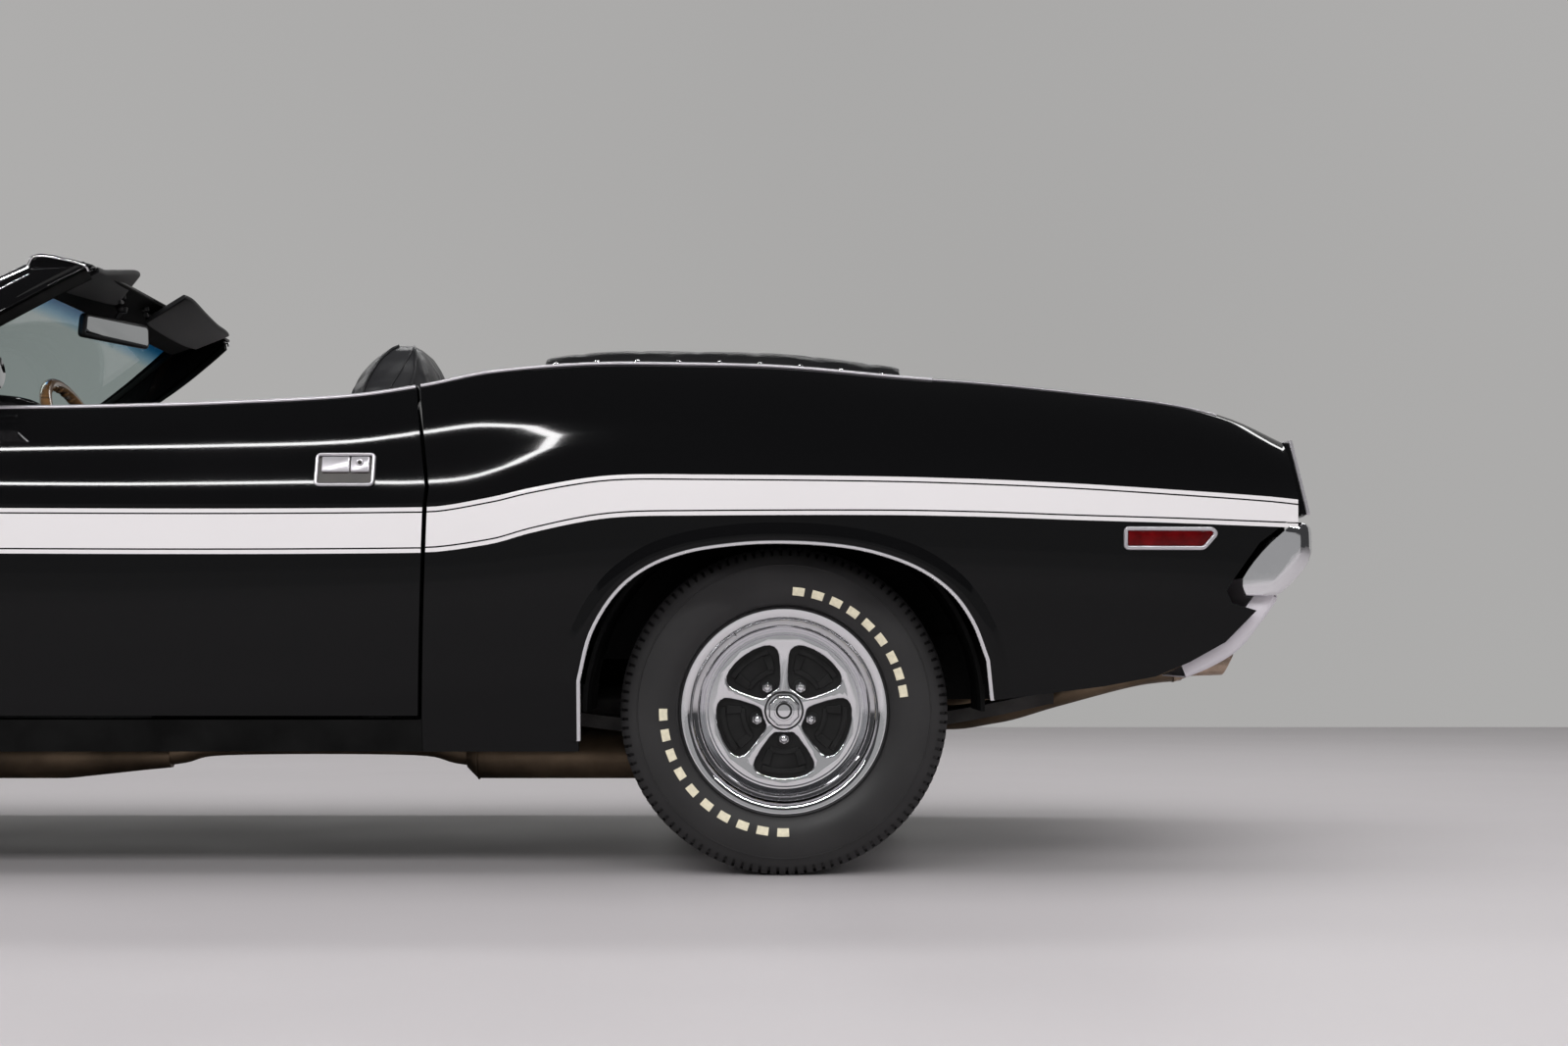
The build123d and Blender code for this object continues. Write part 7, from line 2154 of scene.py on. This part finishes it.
def console():
    """The long box between the seats with its lid plate, gaiter ring and shift lever."""
    bm = bmesh.new()
    outline = ((478, 451), (487, 558), (300, 539), (120, 544), (-180, 589), (-418, 589), (-428, 451))
    slab(bm, at_y(outline, -108.0), (0, 216.0, 0), 12.0, 3)
    obj = piece(bm, "centre_console", "body", "dash_vinyl", angle=35.0)
    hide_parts("console")
    bm = bmesh.new()
    slab(bm, at_y(((276, 540.5), (130, 545.5), (130, 549), (276, 543)), -62.0), (0, 124.0, 0), 1.2, 1)
    rod(bm, (205, 0, 540), (190, 0, 660), 6.0, 5.0, 18, 1.0)
    ring = [(205 + 34 * math.cos(a), 24 * math.sin(a), 547 - 2 * math.cos(a)) for a in
            (2 * math.pi * k / 32 for k in range(32))]
    sweep(bm, ring, circle(2.6, 8), (0, 0, 1.0), closed=True)
    box(bm, -405, -170, -92, 92, 588, 592, 2.0)
    piece(bm, "console_trim", "body", "brushed_steel", angle=40.0)
    ball = bmesh.new()
    bmesh.ops.create_uvsphere(ball, u_segments=28, v_segments=18, radius=24.0)
    bmesh.ops.scale(ball, vec=(1.0, 1.0, 1.12), verts=ball.verts)
    piece(moved(ball, (189, 0, 676)), "shift_knob", "body", "wood_rim", angle=40.0)


def cabin_trim():
    """Carpets, door trims with armrests, rear side trims and kick plates."""
    for side in (LEFT, RIGHT):
        who = SIDE_NAME[side]
        bm = bmesh.new()
        box(bm, -600, 745, 158, 690, 286, 292, 2.5)
        box(bm, -440, 600, 151, 157, 290, 440, 2.0)
        piece(bm, f"{who}_carpet", "body", "carpet", side=side)
        bm = bmesh.new()
        outline = rounded([(-560, 352), (712, 352), (712, 884), (-566, 900)], 26.0, 4)
        slab(bm, at_y(outline, 769.0), (0, -13.0, 0), 5.0, 3)
        for k in range(25):
            x = -420.0 + 38.0 * k
            slab(bm, at_y(((x, 560), (x + 33, 560), (x + 33, 800), (x, 800)), 757.0), (0, -5.0, 0), 4.0)
        slab(bm, at_y(((-380, 520), (330, 560), (330, 604), (-380, 590)), 757), (0, -58.0, 0), 18.0, 4)
        slab(bm, at_y(((-574, 905), (746, 905), (746, 925), (-574, 925)), 766), (0, 34.0, 0), 8.0, 3)
        piece(bm, f"{who}_door_trim", f"{who}_door", "dash_vinyl", side=side, angle=40.0)
        bm = bmesh.new()
        rod(bm, (-250, 758, 470), (-250, 730, 470), 22.0, 18.0, 32, 2.0)
        rod(bm, (-250, 736, 470), (-160, 724, 482), 7.0, 6.0, 16, 2.0)
        rod(bm, (-160, 738, 482), (-160, 700, 482), 11.0, 12.0, 20, 3.0)
        box(bm, 380, 470, 738, 756, 640, 664, 5.0, 3)
        sweep(bm, at_y(outline, 750.5), circle(2.2, 8), (0, 1.0, 0), closed=True)
        piece(bm, f"{who}_door_crank", f"{who}_door", "chrome", side=side, angle=40.0)
        bm = bmesh.new()
        slab(bm, at_y(((-920, 470.5), (-635, 470.5), (-635, 970), (-920, 1000)), 686.0), (0, -12.5, 0), 5.0, 3)
        slab(bm, at_y(((-915, 640), (-650, 640), (-650, 676), (-915, 676)), 676), (0, -46.0, 0), 15.0, 4)
        obj = piece(bm, f"{who}_rear_trim", "body", "dash_vinyl", side=side, angle=40.0)
        if side == LEFT:
            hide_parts("rear_side_trims")


MIRROR_Y = 917             # middle of the door mirror's head


def door_hardware():
    """Flush outside handles with their locks, and the door mirrors."""
    for side in (LEFT, RIGHT):
        who = SIDE_NAME[side]
        body = f"{who}_door"
        x0, x1, z0, z1 = -516.0, -398.0, 769.0, 836.5
        bm = bmesh.new()
        ring = oblong(x0 + 3, x1 - 3, z0 + 3, z1 - 3, 8.0)
        sweep(bm, [skin_at(x, z, 3.0) for x, z in ring], bar(3.8, -5, 2.8, 5, 1.8), closed=True)
        plates = bmesh.new()
        for xa, xb in ((-465.5, -411.0), (-505.0, -468.5)):
            corners = oblong(xa, xb, 797.5, 828.0, 2.0, 2)
            loft(plates, [[skin_at(x, z, out) for x, z in corners] for out in (1.5, 6.0)] + [
                [skin_at(x + (-1.2 if x > (xa + xb) / 2 else 1.2), z + (-1.2 if z > 812 else 1.2), 7.2)
                 for x, z in corners]])
        spot = skin_at(-486.5, 815.5, 6.0)
        rod(bm, spot, spot + Vector((0, 4.0, 0.9)), 7.6, 6.8, 28, 0.8)
        piece(plates, f"{who}_handle_plates", body, "satin_plate", side=side, angle=50.0)
        obj = piece(bm, f"{who}_door_handle", body, "satin_plate", side=side, angle=50.0)
        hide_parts(f"{who}_door_handle_and_mirror")
        bm = bmesh.new()
        loft(bm, [[skin_at(x, z, out) for x, z in ring] for out in (-1.0, 1.6)])
        rod(bm, spot + Vector((0, 3.5, 0.8)), spot + Vector((0, 4.4, 1.0)), 4.2, 4.2, 20, 0.2)
        # The pan's dark brown is painted shade in the handle's recess.
        piece(bm, f"{who}_handle_pan", body, "pan_painted_shade", side=side, angle=50.0)
        top = belt_z(165.0)
        bm = bmesh.new()
        arch = ((-1, 0), (-0.96, 0.5), (-0.7, 0.9), (0, 1.0), (0.7, 0.9), (0.96, 0.5), (1, 0))
        loft(bm, [[(x, 811 + half * a, top + 2 + high * b) for a, b in arch] for x, high, half in (
            (180, 6, 9), (196, 13, 12), (225, 20, 14), (275, 25, 15), (315, 26, 15), (334, 20, 12))])
        rod(bm, (290, 815, top + 18), (292, 876, top + 44), 12.0, 10.0, 20, 2.0)
        piece(bm, f"{who}_mirror_foot", body, "body_paint", side=side, angle=50.0)
        bm = bmesh.new()
        stations = ((233, 0.94), (236, 0.985), (246, 1.0), (270, 0.97), (295, 0.86), (315, 0.66), (328, 0.42),
                    (334, 0.14))
        loft(bm, [[(x, MIRROR_Y + 66 * r * a, top + 60 + 41 * r * b) for a, b in circle(1.0, 40)] for x, r in stations])
        piece(bm, f"{who}_mirror_shell", body, "chrome", side=side, angle=50.0)
        bm = bmesh.new()
        loft(bm, [[(x, MIRROR_Y + 60 * r * a, top + 60 + 36 * r * b) for a, b in circle(1.0, 40)]
                  for x, r in ((234.5, 1.0), (231.5, 1.0), (231, 0.98))])
        piece(bm, f"{who}_mirror_face", body, "mirror_glass", side=side, angle=50.0)


# ---------------------------------------------------------------- add-on
class CAR_OT_finishes(bpy.types.Operator):
    """Makes the paints, platings, vinyls, rubbers and glass"""
    bl_idname = "car.finishes"
    bl_label = "Finishes"

    def execute(self, context):
        make_finishes()
        frame_finishes()
        return {"FINISHED"}


class CAR_OT_studio(bpy.types.Operator):
    """Sets up the floor, wall, lights and camera"""
    bl_idname = "car.studio"
    bl_label = "Studio"

    def execute(self, context):
        studio()
        return {"FINISHED"}


class CAR_OT_sides(bpy.types.Operator):
    """Builds the doors, fenders and quarter panels"""
    bl_idname = "car.sides"
    bl_label = "Body Sides"

    def execute(self, context):
        body_sides()
        return {"FINISHED"}


class CAR_OT_stripe(bpy.types.Operator):
    """Lays the stripe and its pin lines on the sides"""
    bl_idname = "car.stripe"
    bl_label = "Side Stripe"

    def execute(self, context):
        stripe()
        return {"FINISHED"}


class CAR_OT_mouldings(bpy.types.Operator):
    """Builds the belt and wheel-opening mouldings"""
    bl_idname = "car.mouldings"
    bl_label = "Mouldings"

    def execute(self, context):
        mouldings()
        return {"FINISHED"}


class CAR_OT_lids(bpy.types.Operator):
    """Builds the hood, trunk lid, deck and cowl"""
    bl_idname = "car.lids"
    bl_label = "Hood and Lids"

    def execute(self, context):
        lids()
        return {"FINISHED"}


class CAR_OT_bumpers(bpy.types.Operator):
    """Builds the front and rear bumpers"""
    bl_idname = "car.bumpers"
    bl_label = "Bumpers"

    def execute(self, context):
        bumpers()
        return {"FINISHED"}


class CAR_OT_tail(bpy.types.Operator):
    """Builds the tail wall, its lamps and the aprons"""
    bl_idname = "car.tail"
    bl_label = "Tail"

    def execute(self, context):
        tail()
        return {"FINISHED"}


class CAR_OT_nose(bpy.types.Operator):
    """Builds the nose frame, grille and headlamps"""
    bl_idname = "car.nose"
    bl_label = "Nose"

    def execute(self, context):
        nose()
        return {"FINISHED"}


class CAR_OT_markers(bpy.types.Operator):
    """Builds the side markers"""
    bl_idname = "car.markers"
    bl_label = "Side Markers"

    def execute(self, context):
        markers()
        return {"FINISHED"}


class CAR_OT_exhaust(bpy.types.Operator):
    """Builds the exhaust pipes, mufflers and tips"""
    bl_idname = "car.exhaust"
    bl_label = "Exhaust"

    def execute(self, context):
        exhaust()
        return {"FINISHED"}


class CAR_OT_engine(bpy.types.Operator):
    """Builds the engine, its fittings and the gearbox"""
    bl_idname = "car.engine"
    bl_label = "Engine"

    def execute(self, context):
        engine()
        return {"FINISHED"}


class CAR_OT_wheels(bpy.types.Operator):
    """Builds the four wheels and their tyres"""
    bl_idname = "car.wheels"
    bl_label = "Wheels and Tyres"

    def execute(self, context):
        wheels()
        return {"FINISHED"}


class CAR_OT_windshield(bpy.types.Operator):
    """Builds the windshield, its frame and mouldings"""
    bl_idname = "car.windshield"
    bl_label = "Windshield"

    def execute(self, context):
        windshield()
        return {"FINISHED"}


class CAR_OT_visors(bpy.types.Operator):
    """Builds the visors and the inside mirror"""
    bl_idname = "car.visors"
    bl_label = "Visors and Mirror"

    def execute(self, context):
        visors()
        return {"FINISHED"}


class CAR_OT_seats(bpy.types.Operator):
    """Builds the front seats and the rear bench"""
    bl_idname = "car.seats"
    bl_label = "Seats"

    def execute(self, context):
        front_seats()
        rear_seat()
        return {"FINISHED"}


class CAR_OT_boot(bpy.types.Operator):
    """Builds the cover over the folded top"""
    bl_idname = "car.boot"
    bl_label = "Boot Cover"

    def execute(self, context):
        boot_cover()
        return {"FINISHED"}


class CAR_OT_cabin(bpy.types.Operator):
    """Builds the dash, console, steering wheel and trims"""
    bl_idname = "car.cabin"
    bl_label = "Cabin"

    def execute(self, context):
        dash()
        steering()
        console()
        cabin_trim()
        return {"FINISHED"}


class CAR_OT_doors(bpy.types.Operator):
    """Builds the door handles and door mirrors"""
    bl_idname = "car.doors"
    bl_label = "Door Hardware"

    def execute(self, context):
        door_hardware()
        return {"FINISHED"}


OPERATORS = (CAR_OT_finishes, CAR_OT_studio, CAR_OT_sides, CAR_OT_stripe, CAR_OT_mouldings, CAR_OT_lids,
             CAR_OT_bumpers, CAR_OT_tail, CAR_OT_nose, CAR_OT_markers, CAR_OT_exhaust, CAR_OT_engine,
             CAR_OT_wheels, CAR_OT_windshield, CAR_OT_visors, CAR_OT_seats, CAR_OT_boot, CAR_OT_cabin,
             CAR_OT_doors)


class CAR_PT_panel(bpy.types.Panel):
    """Lists the sizes, colours and builders of the car"""
    bl_idname = "CAR_PT_panel"
    bl_label = "Muscle Car"
    bl_space_type = "VIEW_3D"
    bl_region_type = "UI"
    bl_category = "Muscle Car"

    def draw(self, context):
        for group in (context.scene.car_colours, context.scene.car_sizes):
            for key in group.bl_rna.properties.keys():
                if key not in {"rna_type", "name"}:
                    self.layout.prop(group, key)
        for operator in OPERATORS:
            self.layout.operator(operator.bl_idname)


CLASSES = (CarColours, CarSizes, *OPERATORS, CAR_PT_panel)


def register():
    for cls in CLASSES:
        bpy.utils.register_class(cls)
    bpy.types.Scene.car_colours = bpy.props.PointerProperty(type=CarColours)
    bpy.types.Scene.car_sizes = bpy.props.PointerProperty(type=CarSizes)


def unregister():
    del bpy.types.Scene.car_sizes
    del bpy.types.Scene.car_colours
    for cls in reversed(CLASSES):
        bpy.utils.unregister_class(cls)


def main():
    register()
    for operator in OPERATORS:
        group, name = operator.bl_idname.split(".")
        getattr(getattr(bpy.ops, group), name)()
    bpy.context.view_layer.update()


if __name__ == "__main__":
    main()
